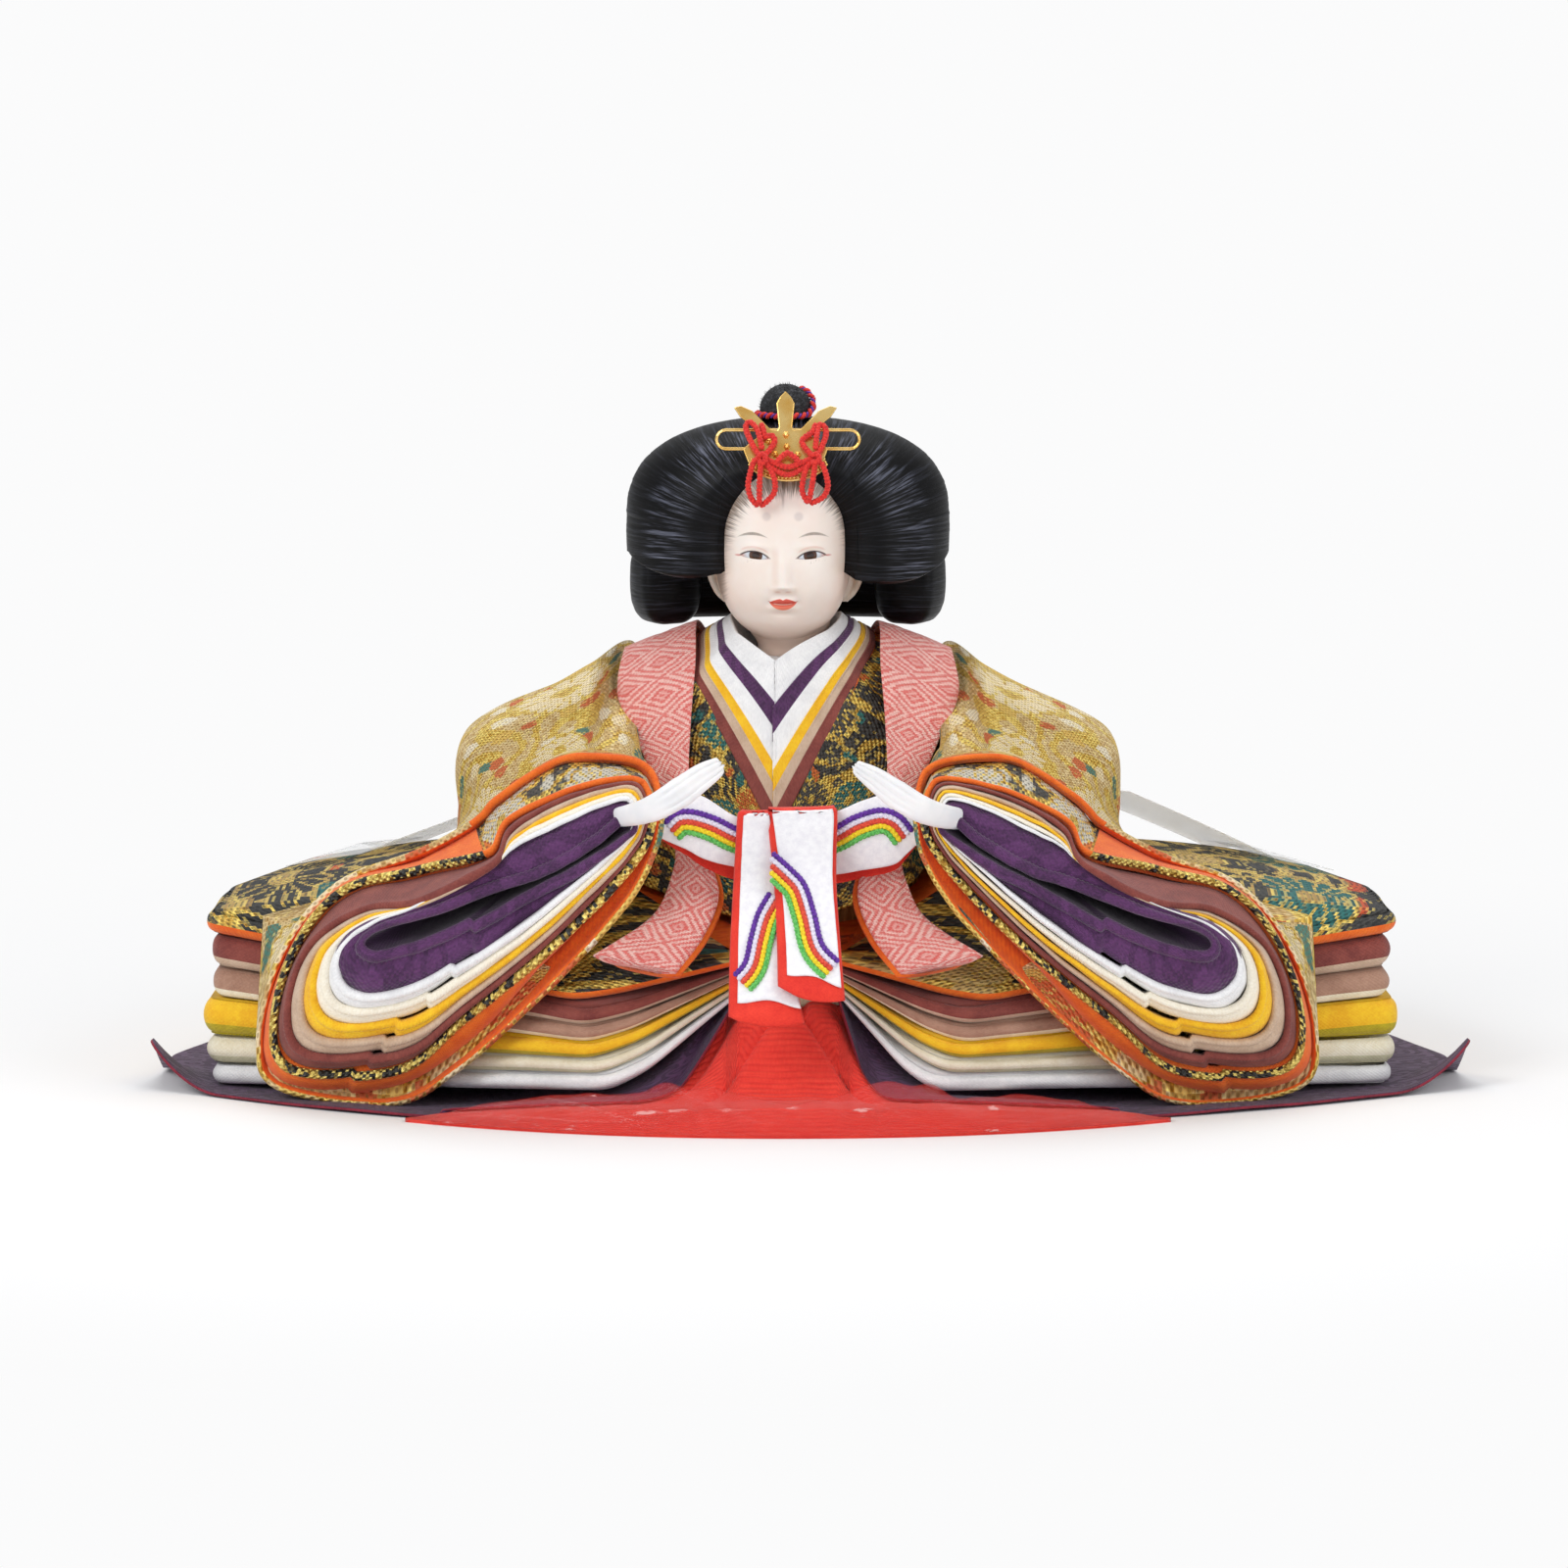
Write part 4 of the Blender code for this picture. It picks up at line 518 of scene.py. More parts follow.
def brocade(name, ground, gold, accents, repeat=0.026, warp=0.0007, weft=0.0007, deep=(52, 40, 22), curls=0.5, ribs=0.0016):
    """Figured brocade, from the UV lengths, with a traditional layout of chrysanthemum heads and curling lines.

    Voronoi cells of the repeat give the flowers: a gold heart, then sixteen petals as far as
    r = 0.30 + 0.05 |cos 8a|, parted and outlined in gold. Lines of even height in a noise field curl over
    the ground between them, with small leaves. Every thread cell has a tone of its own, which on the
    gold is partly painted glint. Where the weave dips between threads the colour is painted darker,
    towards deep, as painted shade.
    """
    made, paint = finish_of(name, Roughness=0.5, Specular_IOR_Level=0.5)
    height, chance, u, v = threads(paint, warp, weft)
    cell = paint.node("ShaderNodeCombineXYZ", (), {
        0: (u.maths("FLOOR", u) + 0.5) * (warp / repeat), 1: (v.maths("FLOOR", v) + 0.5) * (weft / repeat),
    })
    bend = noise(paint, cell, 2.2, 2.0, 0.5, 1)
    drift = paint.node("ShaderNodeVectorMath", {"operation": "MULTIPLY_ADD"}, {0: bend, 1: (0.3, 0.3, 0), 2: cell})
    medal = paint.node("ShaderNodeTexVoronoi", {"voronoi_dimensions": "2D"}, {0: drift, 2: 1.0, 8: 0.7})
    flower_tone = Shade(paint.tree, medal.socket.node.outputs[1])
    heart = Shade(paint.tree, medal.socket.node.outputs[2])
    spoke = paint.node("ShaderNodeVectorMath", {"operation": "SUBTRACT"}, {0: drift, 1: heart})
    axes = paint.node("ShaderNodeSeparateXYZ", (), {0: spoke}).socket.node.outputs
    angle = paint.node("ShaderNodeMath", {"operation": "ARCTAN2"}, {0: Shade(paint.tree, axes[1]), 1: Shade(paint.tree, axes[0])})
    petals = (angle * 8).maths("COSINE", angle * 8).size()
    reach = medal - petals * 0.05
    flower = 1 - reach.step(0.31, 0.325)
    veins = (1 - petals.step(0.18, 0.4)) * flower * medal.step(0.1, 0.14)
    outline = flower * reach.step(0.27, 0.285) + (1 - medal.step(0.085, 0.1))
    field = noise(paint, drift, 0.9, 1.0, 0.4)
    sweep = (field * 62).maths("SINE", field * 62)
    curl = sweep.step(0.9 - 1.5 * curls, 1.15 - 1.5 * curls) * (1 - flower)
    leaf = paint.node("ShaderNodeTexVoronoi", {"voronoi_dimensions": "2D"}, {0: drift, 2: 3.4, 8: 0.9})
    leaf_tone = Shade(paint.tree, leaf.socket.node.outputs[1])
    spray = (1 - leaf.step(0.24, 0.28)) * (1 - flower)
    tones = []
    for source in (flower_tone, leaf_tone):
        pick = paint.node("ShaderNodeSeparateColor", (), {0: source})
        tone = pick.node("ShaderNodeValToRGB", {"stops": [(0.0, dye(*accents[0])), (1.0, dye(*accents[-1]))] + [
            ((step + 1) / len(accents), dye(*shade)) for step, shade in enumerate(accents[1:-1])
        ]}, {0: pick})
        tone.socket.node.color_ramp.interpolation = "CONSTANT"
        tones.append(tone)
    is_gold = veins + outline + curl * (1 - spray) + chance.step(0.88, 0.92) * 0.5
    is_gold = is_gold.maths("MINIMUM", is_gold, 1.0)
    # The gold cells' random brightness is partly the threads' own tone and partly painted glints.
    gold_tone = chance.mix(dye(*gold[0]), dye(*gold[1]))
    ground_tone = chance.mix(dye(*ground[0]), dye(*ground[1]))
    body_tone = (spray * 0.9).mix((flower * 0.95).mix(ground_tone, tones[0]), tones[1])
    # Painted shade: where the weave dips between threads the colour goes darker, towards deep.
    gap = (1 - height.step(0.16, 0.42)) * 0.6
    gap.mix(is_gold.mix(body_tone, gold_tone), dye(*deep)).feed("Base Color")
    (is_gold * 0.5).feed("Metallic")
    (0.6 - is_gold * 0.24 + chance * 0.12).feed("Roughness")
    pitch = v * (weft / ribs * math.pi)
    relief(paint, height * 1.2 + is_gold * 0.7 + chance * 0.5 + pitch.maths("SINE", pitch).size() * 0.6, 0.9, 0.0004)
    return made


stack_brocade = brocade(
    "stack_brocade", ((30, 31, 32), (78, 76, 72)), ((196, 148, 52), (255, 226, 118)),
    ((36, 112, 108), (214, 84, 36), (48, 48, 46), (206, 172, 104), (60, 60, 56), (196, 46, 34)), repeat=0.042, warp=0.0009, weft=0.0009, deep=(24, 22, 18), curls=0.62,
)
linings = {
    "white": white_silk, "cream": silk("stone_lining", (222, 218, 184), (200, 194, 156)), "yellow": olive_silk,
    "taupe": cream_silk, "rust": beige_silk, "brocade": orange_silk,
}
tops = {
    "white": white_silk, "cream": cream_silk, "yellow": yellow_silk, "taupe": taupe_silk, "rust": rust_silk,
    "brocade": stack_brocade,
}
order = 0
for word, levels in hem_levels.items():
    front_low, front_top, side_low, side_top, start_low, start_top, trunk_top = (level * 0.1 for level in levels)
    front = hem_front * (0.97 if word == "brocade" else 1) + 0.0009 * (5 - order)
    outer, inner, length = spread_outline(
        hem_left * hem_insets[word], hem_right * hem_insets[word], hem_corners[word], front, 600
    )
    order += 1
    sway = waves(length, 40 + order, 9, 3, 26)
    pinch = waves(length, 60 + order, 8, 9, 40)
    away = np.gradient(outer[:, :2], axis=0)
    away = np.stack([away[:, 1], -away[:, 0]], axis=1) * -1
    away /= np.linalg.norm(away, axis=1)[:, None]
    away *= np.sign((away * (outer[:, :2] - (0, 0.01))).sum(axis=1))[:, None]
    in_low = start_low + (side_low - start_low) * inner[:, 2]
    in_top = start_top + (trunk_top - start_top) * inner[:, 2]
    out_low = start_low + (front_low - start_low) * outer[:, 2] + (side_low - front_low) * outer[:, 3]
    out_top = start_top + (front_top - start_top) * outer[:, 2] + (side_top - front_top) * outer[:, 3]
    over_lap = lap_height(outer[:, 0], outer[:, 1]) * (np.abs(outer[:, 0]) < trouser_reach) + 0.0011 * order
    over_lap = np.maximum(over_lap - out_low, 0) * (outer[:, 3] < 0.5)
    out_low, out_top = out_low + over_lap, out_top + over_lap
    thick = (out_top - out_low) / 2
    middle = (out_top + out_low) / 2 + 0.0005 * sway * np.clip(outer[:, 2], 0.2, 1)
    rows, slots = [], []
    for share in np.linspace(0, 1, 6):
        plan = inner[:, :2] + (outer[:, :2] - inner[:, :2]) * share
        rows.append(np.column_stack([plan, in_low + (out_low - in_low) * share + 0.0002]))
        slots.append(1)
    bulge = np.minimum(thick, 0.0026) * (0.9 + 0.5 * (1 - outer[:, 3]))
    for angle in np.linspace(-80, 80, 15) * math.pi / 180:
        reach = bulge * math.cos(angle) + 0.0008 * sway * math.cos(angle)
        lift = thick * (0.96 + 0.10 * pinch * math.cos(angle)) * math.sin(angle)
        crease = 0.0004 * pinch * math.cos(3 * angle)
        rows.append(np.column_stack([outer[:, :2] + away * (reach + crease - 0.0008)[:, None], middle + lift]))
        slots.append(1 if angle < -0.35 else (2 if word == "brocade" and angle < 0.15 else 0))
    for share in np.linspace(1, 0, 26 if word == "brocade" else 14):
        plan = inner[:, :2] + (outer[:, :2] - inner[:, :2]) * share
        fall = share**2 if word == "brocade" else share
        rumple = 0.0004 * waves(length * 0.6 + share * 0.4, 80 + order, 7, 2, 15) * math.sin(math.pi * share)
        rows.append(np.column_stack([plan, in_top + (out_top - in_top) * fall + rumple]))
        slots.append(0)
    slots = np.array(slots)
    layer = skin(
        "spread_" + word, rows, "figure", [tops[word], linings[word], orange_silk],
        pick=lambda row, column, slots=slots: slots[np.minimum(row + 1, len(slots) - 1)],
    )
    outwards(layer)
    if word == "brocade":
        places, corners = np.empty(len(layer.data.vertices) * 3), np.empty(len(layer.data.loops), np.int32)
        layer.data.vertices.foreach_get("co", places)
        layer.data.loops.foreach_get("vertex_index", corners)
        x, y, z = places.reshape(-1, 3)[corners].T
        flat = np.column_stack([x - np.tanh(x / 0.04) * z, y - np.tanh(y / 0.03) * z])
        layer.data.uv_layers[0].data.foreach_set("uv", flat.ravel())
    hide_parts("hem_" + word)

purple_damask, paint = finish_of("purple_damask", Roughness=0.7, Specular_IOR_Level=0.4, Sheen_Weight=0.15)
height, chance, u, v = threads(paint, 0.00045, 0.00035)
scroll = paint.node("ShaderNodeTexVoronoi", {"voronoi_dimensions": "2D", "feature": "SMOOTH_F1"}, {
    0: paint.node("ShaderNodeTexCoord", (), (), 2), 2: 170.0,
})
figure = (scroll * 24).maths("SINE", scroll * 24).step(-0.1, 0.3)
(figure * 0.55 + chance * 0.45).mix(dye(46, 22, 50), dye(84, 48, 90)).feed("Base Color")
(0.78 - figure * 0.22).feed("Roughness")
relief(paint, height + figure * 0.8, 0.7, 0.00015)
red_edge = silk("red_edge", (150, 40, 60), (110, 24, 44))
outer, inner, length = spread_outline(0.1555, 0.1665, (0.0362, 0.0245), 0.0835, 560, 3)
bow_out = 0.0130 * np.sin(np.pi * np.clip(outer[:, 3], 0, 1)) * (outer[:, 1] < 0)
outer[:, 1] -= bow_out
rows = []
for share in np.linspace(0, 1, 44):
    plan = inner[:, :2] + (outer[:, :2] - inner[:, :2]) * share
    inside = 0.0288 * np.maximum(0, 1 - inner[:, 2] / 0.85)
    outside = 0.0288 * (1 - outer[:, 2]) ** 1.3
    start = inside + (outside - inside) * share
    start = start * (1 - share * np.clip(outer[:, 3] * 3, 0, 1)) ** (1 + np.minimum(1, 2 * inner[:, 2]))
    reach = np.where(plan[:, 0] < 0, 0.1555, 0.1665)
    curl = 0.011 * np.clip((np.abs(plan[:, 0]) / reach - 0.885) / 0.115, 0, 1) ** 2
    curl *= np.clip(-plan[:, 1] / 0.02, 0, 1)
    ripple = 0.0005 * (1 + waves(length + share * 0.15, 91, 8, 5, 30)) * share**3 * np.clip(outer[:, 3] * 3, 0.2, 1)
    level = 0.00035 + start + curl + ripple
    on_lap = lap_height(plan[:, 0], plan[:, 1]) + 0.0007
    on_lap = np.where((np.abs(plan[:, 0]) < trouser_reach) & (plan[:, 1] < -0.0735) & (plan[:, 1] > lap_front(plan[:, 0])), on_lap, 0)
    on_slope = np.where((np.abs(plan[:, 0]) < mound_half_foot) & (plan[:, 1] < -0.055), lap_height(plan[:, 0], plan[:, 1]) + 0.0007, 0)
    rows.append(np.column_stack([plan, np.maximum(level, np.maximum(on_lap, on_slope))]))
sheet = skin("ground_sheet", rows, "figure", [purple_damask, red_edge])
thickened(sheet, 0.0006, rim=1)
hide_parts("hem_purple")


# Gauze train
# A wide sheet of stiff white gauze, tied in at the back of the waist, that lies over the rear of the
# spread hems and stands a little clear of them at the sides.
gauze, paint = finish_of("white_gauze", Roughness=0.75, Specular_IOR_Level=0.3, Sheen_Weight=0.3, Subsurface_Weight=0.9)
paint.tree.nodes["Principled BSDF"].inputs["Subsurface Radius"].default_value = (0.003, 0.003, 0.003)
height, chance, _, _ = threads(paint, 0.00035, 0.00035)
(chance * 0.6 + noise(paint, object_place(paint), 40.0) * 0.4).mix(dye(238, 241, 246), dye(252, 252, 253)).feed("Base Color")
(height * 0.3 + 0.22).feed("Alpha")
relief(paint, height, 0.6, 0.0001)
spread_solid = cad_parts["hem_brocade"].data
spread_tree = BVHTree.FromPolygons([v.co for v in spread_solid.vertices], [p.vertices for p in spread_solid.polygons])
across, y = np.meshgrid(np.linspace(-1, 1, 161), np.linspace(0, 1, 60))
far = np.abs(across)
crest = 0.0562 + (np.where(across < 0, 0.0605, 0.0655) - 0.0562) * np.clip(far / 0.62, 0, 1)
crest += (0.042 - crest) * np.clip((far - 0.62) / 0.38, 0, 1)
depth = 0.038 + y * 0.062 * (1 - 0.4 * far**3)
z = crest - y * (crest - 0.042) * 0.28 + 0.0006 * waves(across / 2 + y * 0.2, 33, 6, 1, 8) * far
x = np.where(across < 0, 0.126, 0.137) * across * (1 - 0.15 * y)
for place in np.ndindex(x.shape):
    hit = spread_tree.ray_cast((x[place], depth[place], 0.2), (0, 0, -1))[0]
    if hit is not None:
        z[place] = max(z[place], hit.z + 0.0014)
veil = skin("train_gauze", np.stack([x, depth, z], axis=-1), "figure", [gauze])
thickened(veil, 0.00018)
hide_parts("train")


# Sleeves
# Eight robe sleeves one inside the other at each hand: purple, white, cream, yellow, beige, rust and
# two of brocade with orange lining. Each has a soft rolled edge, stands a little proud of the next
# one out, and hangs from the wrist to a long bend by the floor. The outer one is a bag of brocade.
rim_inner = np.array([
    (0.385, 0.765, 0.79, 0.56), (0.46, 0.742, 0.80, 0.54), (0.565, 0.685, 0.79, 0.52), (0.64, 0.654, 0.77, 0.50),
    (0.705, 0.623, 0.76, 0.52), (0.869, 0.531, 0.72, 0.54), (0.987, 0.466, 0.69, 0.54), (1.03, 0.412, 0.67, 0.53),
    (1.03, 0.365, 0.67, 0.52), (0.976, 0.338, 0.68, 0.53), (0.881, 0.357, 0.70, 0.56), (0.752, 0.42, 0.73, 0.60),
    (0.612, 0.511, 0.76, 0.64), (0.49, 0.605, 0.80, 0.66), (0.405, 0.675, 0.80, 0.68), (0.372, 0.72, 0.80, 0.68),
])
rim_outer = np.array([
    (0.335, 0.82, 0.62, 0.50), (0.43, 0.846, 0.60, 0.42), (0.548, 0.835, 0.58, 0.38), (0.685, 0.745, 0.55, 0.38),
    (0.75, 0.68, 0.53, 0.40), (0.89, 0.60, 0.50, 0.43), (1.08, 0.52, 0.47, 0.42), (1.21, 0.36, 0.46, 0.39),
    (1.266, 0.157, 0.47, 0.38), (1.22, 0.044, 0.48, 0.385), (0.95, 0.024, 0.58, 0.49), (0.779, 0.128, 0.66, 0.565),
    (0.566, 0.335, 0.74, 0.66), (0.40, 0.52, 0.76, 0.66), (0.332, 0.635, 0.75, 0.63), (0.312, 0.72, 0.70, 0.58),
])
mouth = np.array([
    (0.380, 0.725), (0.444, 0.670), (0.507, 0.627), (0.589, 0.584), (0.671, 0.557), (0.824, 0.500), (0.935, 0.465),
    (0.989, 0.441), (1.006, 0.418), (0.980, 0.405), (0.883, 0.422), (0.754, 0.478), (0.613, 0.557), (0.495, 0.623),
    (0.407, 0.679), (0.368, 0.707),
])
bend_steps = np.array((0, 0.14, 0.27, 0.41, 0.55, 0.69, 0.84, 1))
cuff_steps = np.array((0, 0.10, 0.17, 0.25, 0.33, 0.42, 0.51, 1))
low_steps = np.array((0, 0.10, 0.20, 0.31, 0.40, 0.48, 0.58, 1))
cuff_part = np.array((0.6, 0.9, 1, 1, 0.5, 0.2, 0, 0, 0, 0, 0, 0, 0, 0, 0.1, 0.3))
low_part = np.array((0.3, 0, 0, 0, 0, 0, 0, 0, 0, 0.05, 0.4, 1, 1, 1, 0.9, 0.6))
tucked = np.array((0, 0, 0, 0.15, 1, 1, 0.45, 0.05, 0, 0, 0, 0, 0, 0, 0, 0))
around = 360
sleeve_place = np.arange(around) / around * 16


def rim_line(layer, side, edge=2):
    """The closed rim of one layer, from the table of the innermost rim to that of the outermost."""
    step = bend_steps[layer] + (cuff_steps[layer] - bend_steps[layer]) * cuff_part
    step = step + (low_steps[layer] - step) * low_part
    back = np.zeros(16)
    if 0 < layer < 6:
        step = step * (1 - tucked) - (0.10 + 0.02 * layer) * tucked
        back = 0.035 * tucked
    if layer == 6:
        shy = np.array((0, 0, 0, 0, 0.8, 0.25, 0, 0, 0, 0, 0, 0, 0, 0, 0, 0))
        step = step * (1 - shy) - 0.05 * shy
        back = 0.045 * shy
    table = rim_inner + (rim_outer - rim_inner) * step[:, None]
    if layer == 0:
        table = table.copy()
        table[:, :2] = mouth
    reach = hem_left if side > 0 else hem_right
    share = bend_steps[layer]
    line = hem_tip + (hem_front - hem_tip) * np.clip((reach - table[:, 0] * 0.1) / (reach - 0.05), 0, 1)
    inside = 0.0003 * (5 + 10 * (1 - share)) if share < 1 else 0
    forward = np.where(table[:, 1] < 0.545, np.maximum(table[:, edge] * 0.1, line + 0.0027) + inside, table[:, edge] * 0.1)
    places = np.stack([-side * table[:, 0] * 0.1, -(forward - back * 0.1), table[:, 1] * 0.1], axis=1)
    return curve_through(places, around, closed=True)


def soft_step(place, start, end):
    share = np.clip((place - start) / (end - start), 0, 1)
    return share * share * (3 - 2 * share)


cream_orange_below, paint = finish_of("cream_orange_below", Roughness=0.8, Specular_IOR_Level=0.3, Sheen_Weight=0.15)
height, chance, _, _ = threads(paint, 0.00045, 0.00038)
level = paint.node("ShaderNodeSeparateXYZ", (), {0: paint.node("ShaderNodeTexCoord", (), (), 3)})
level = Shade(paint.tree, level.socket.node.outputs[2]) + noise(paint, object_place(paint), 150.0) * 0.006
# The cream turns orange towards the bottom, below a height of about 12 to 26 mm.
tint = 1 - level.step(0.012, 0.026)
tint.mix((chance * 0.5).mix(dye(250, 243, 226), dye(236, 224, 198)), dye(246, 178, 110)).feed("Base Color")
relief(paint, height, 0.7, 0.00012)
sleeve_purple, paint = finish_of("sleeve_purple", Roughness=0.75, Specular_IOR_Level=0.35, Sheen_Weight=0.25)
height, chance, u, v = threads(paint, 0.0005, 0.00035)
swirl = paint.node("ShaderNodeTexVoronoi", {"feature": "SMOOTH_F1"}, {0: paint.node("ShaderNodeTexCoord", (), (), 2), 2: 130.0})
figure = (swirl * 20).maths("SINE", swirl * 20).step(-0.2, 0.2)
(figure * 0.4 + chance * 0.6).mix(dye(62, 26, 68), dye(98, 50, 104)).feed("Base Color")
relief(paint, height + figure * 0.5, 0.8, 0.00016)
blue_white = silk("blue_white_lining", (206, 212, 226), (172, 180, 198))
# A darker copy of the sleeve purple, for the inside of the innermost sleeve's mouth: painted shade.
painted_shade_purple = silk("painted_shade_purple", (52, 24, 58), (32, 14, 38))
sleeve_gold = brocade(
    "sleeve_brocade", ((196, 158, 92), (246, 224, 170)), ((206, 160, 56), (255, 232, 132)),
    ((44, 124, 116), (250, 240, 212), (236, 196, 96), (250, 232, 190), (214, 96, 50), (40, 44, 42)),
    repeat=0.03, warp=0.0007, weft=0.0008, deep=(132, 94, 34), curls=0.5,
)
sleeve_dark = brocade(
    "second_brocade", ((40, 40, 38), (104, 100, 90)), ((190, 146, 50), (255, 228, 118)),
    ((222, 116, 34), (72, 72, 68), (214, 208, 190), (218, 160, 48)), repeat=0.024, deep=(30, 26, 20), curls=0.45,
)
bead_rope, paint = finish_of("bead_rope", Roughness=0.4, Specular_IOR_Level=0.6)
height, chance, u, v = threads(paint, 0.0009, 0.0007)
dark = noise(paint, object_place(paint), 180.0, 2.0).step(0.46, 0.54)
is_gold = (chance * 0.7 + dark * 0.5).step(0.42, 0.5)
is_gold.mix(dye(38, 36, 30), chance.mix(dye(176, 134, 44), dye(255, 232, 130))).feed("Base Color")
(is_gold * 0.6).feed("Metallic")
relief(paint, height + chance * 0.3, 1.0, 0.0006)
layer_cloth = [sleeve_purple, white_silk, cream_orange_below, yellow_silk, beige_silk, rust_silk, sleeve_dark, sleeve_gold]
layer_words = ("purple", "white", "cream", "yellow", "beige", "rust", "brocade_inner", "brocade_outer")
notch_at = (0.075, 0.0795, 0.0855, 0.093, 0.0965, 0.1, 0.104, 0.1)
stack_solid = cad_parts["hem_brocade"].data
stack_tree = BVHTree.FromPolygons([v.co for v in stack_solid.vertices], [p.vertices for p in stack_solid.polygons])
elbow = np.array([
    (0.375, 0.86), (0.385, 1.03), (0.56, 0.955), (0.775, 0.85), (0.80, 0.70), (0.79, 0.60), (0.75, 0.59), (0.71, 0.585),
    (0.68, 0.585), (0.64, 0.585), (0.60, 0.585), (0.56, 0.585), (0.52, 0.585), (0.47, 0.59), (0.40, 0.64), (0.385, 0.74),
]) * 0.1


def settled(points, clearance):
    """The points, lifted wherever they would lie in or under the stack of hems."""
    raised = np.array(points, float)
    for place in raised.reshape(-1, 3):
        hit = stack_tree.ray_cast((place[0], place[1], 0.2), (0, 0, -1))[0]
        if hit is not None:
            place[2] = max(place[2], hit.z + clearance)
    return raised


def bag_rows(side, rim):
    """The outer sleeve behind its rim: over the stack to the elbow, then down the back."""
    corners = np.stack([-side * elbow[:, 0], np.zeros(16), elbow[:, 1]], axis=1)
    crest = curve_through(corners, around, closed=True)
    rise = np.clip((np.abs(rim[:, 0]) - mound_half_foot) / (hem_left - mound_half_foot), 0, 1)
    lip = 0.0322 + (0.0435 - 0.0322) * rise + 0.0021
    raised = rim.copy()
    raised[:, 2] = np.maximum(raised[:, 2], lip)
    front = crest.copy()
    shy = 0.027 * (1 - soft_step(np.abs(crest[:, 0]), 0.040, 0.048)) * soft_step(crest[:, 2], 0.084, 0.1015)
    front[:, 1] = shy - 0.026
    rows = [raised] + [raised + (front - raised) * share for share in (0.22, 0.55)]
    for depth in (-0.026, -0.003, 0.009):
        row = crest.copy()
        row[:, 1] = depth + shy * (0.014 - depth) / 0.04
        rows.append(row)
    floor = rows[-1][:, 2].min()
    rows[-1][:, 2] = floor + (rows[-1][:, 2] - floor) * 0.2
    dense = curve_through(np.array(rows).reshape(len(rows), -1), 38).reshape(38, around, 3)
    wide, deep = np.meshgrid(np.arange(around) / around, np.linspace(0, 1, 38))
    fold = waves(wide * 2.2 + 0.25 * deep, 301 + side, 7, 1, 11) * np.sin(np.pi * np.clip(deep * 1.1, 0, 1))
    outward = dense - dense.mean(axis=1, keepdims=True)
    outward /= np.linalg.norm(outward, axis=2, keepdims=True)
    return settled(dense + outward * (0.0012 * fold)[..., None], 0.0018)


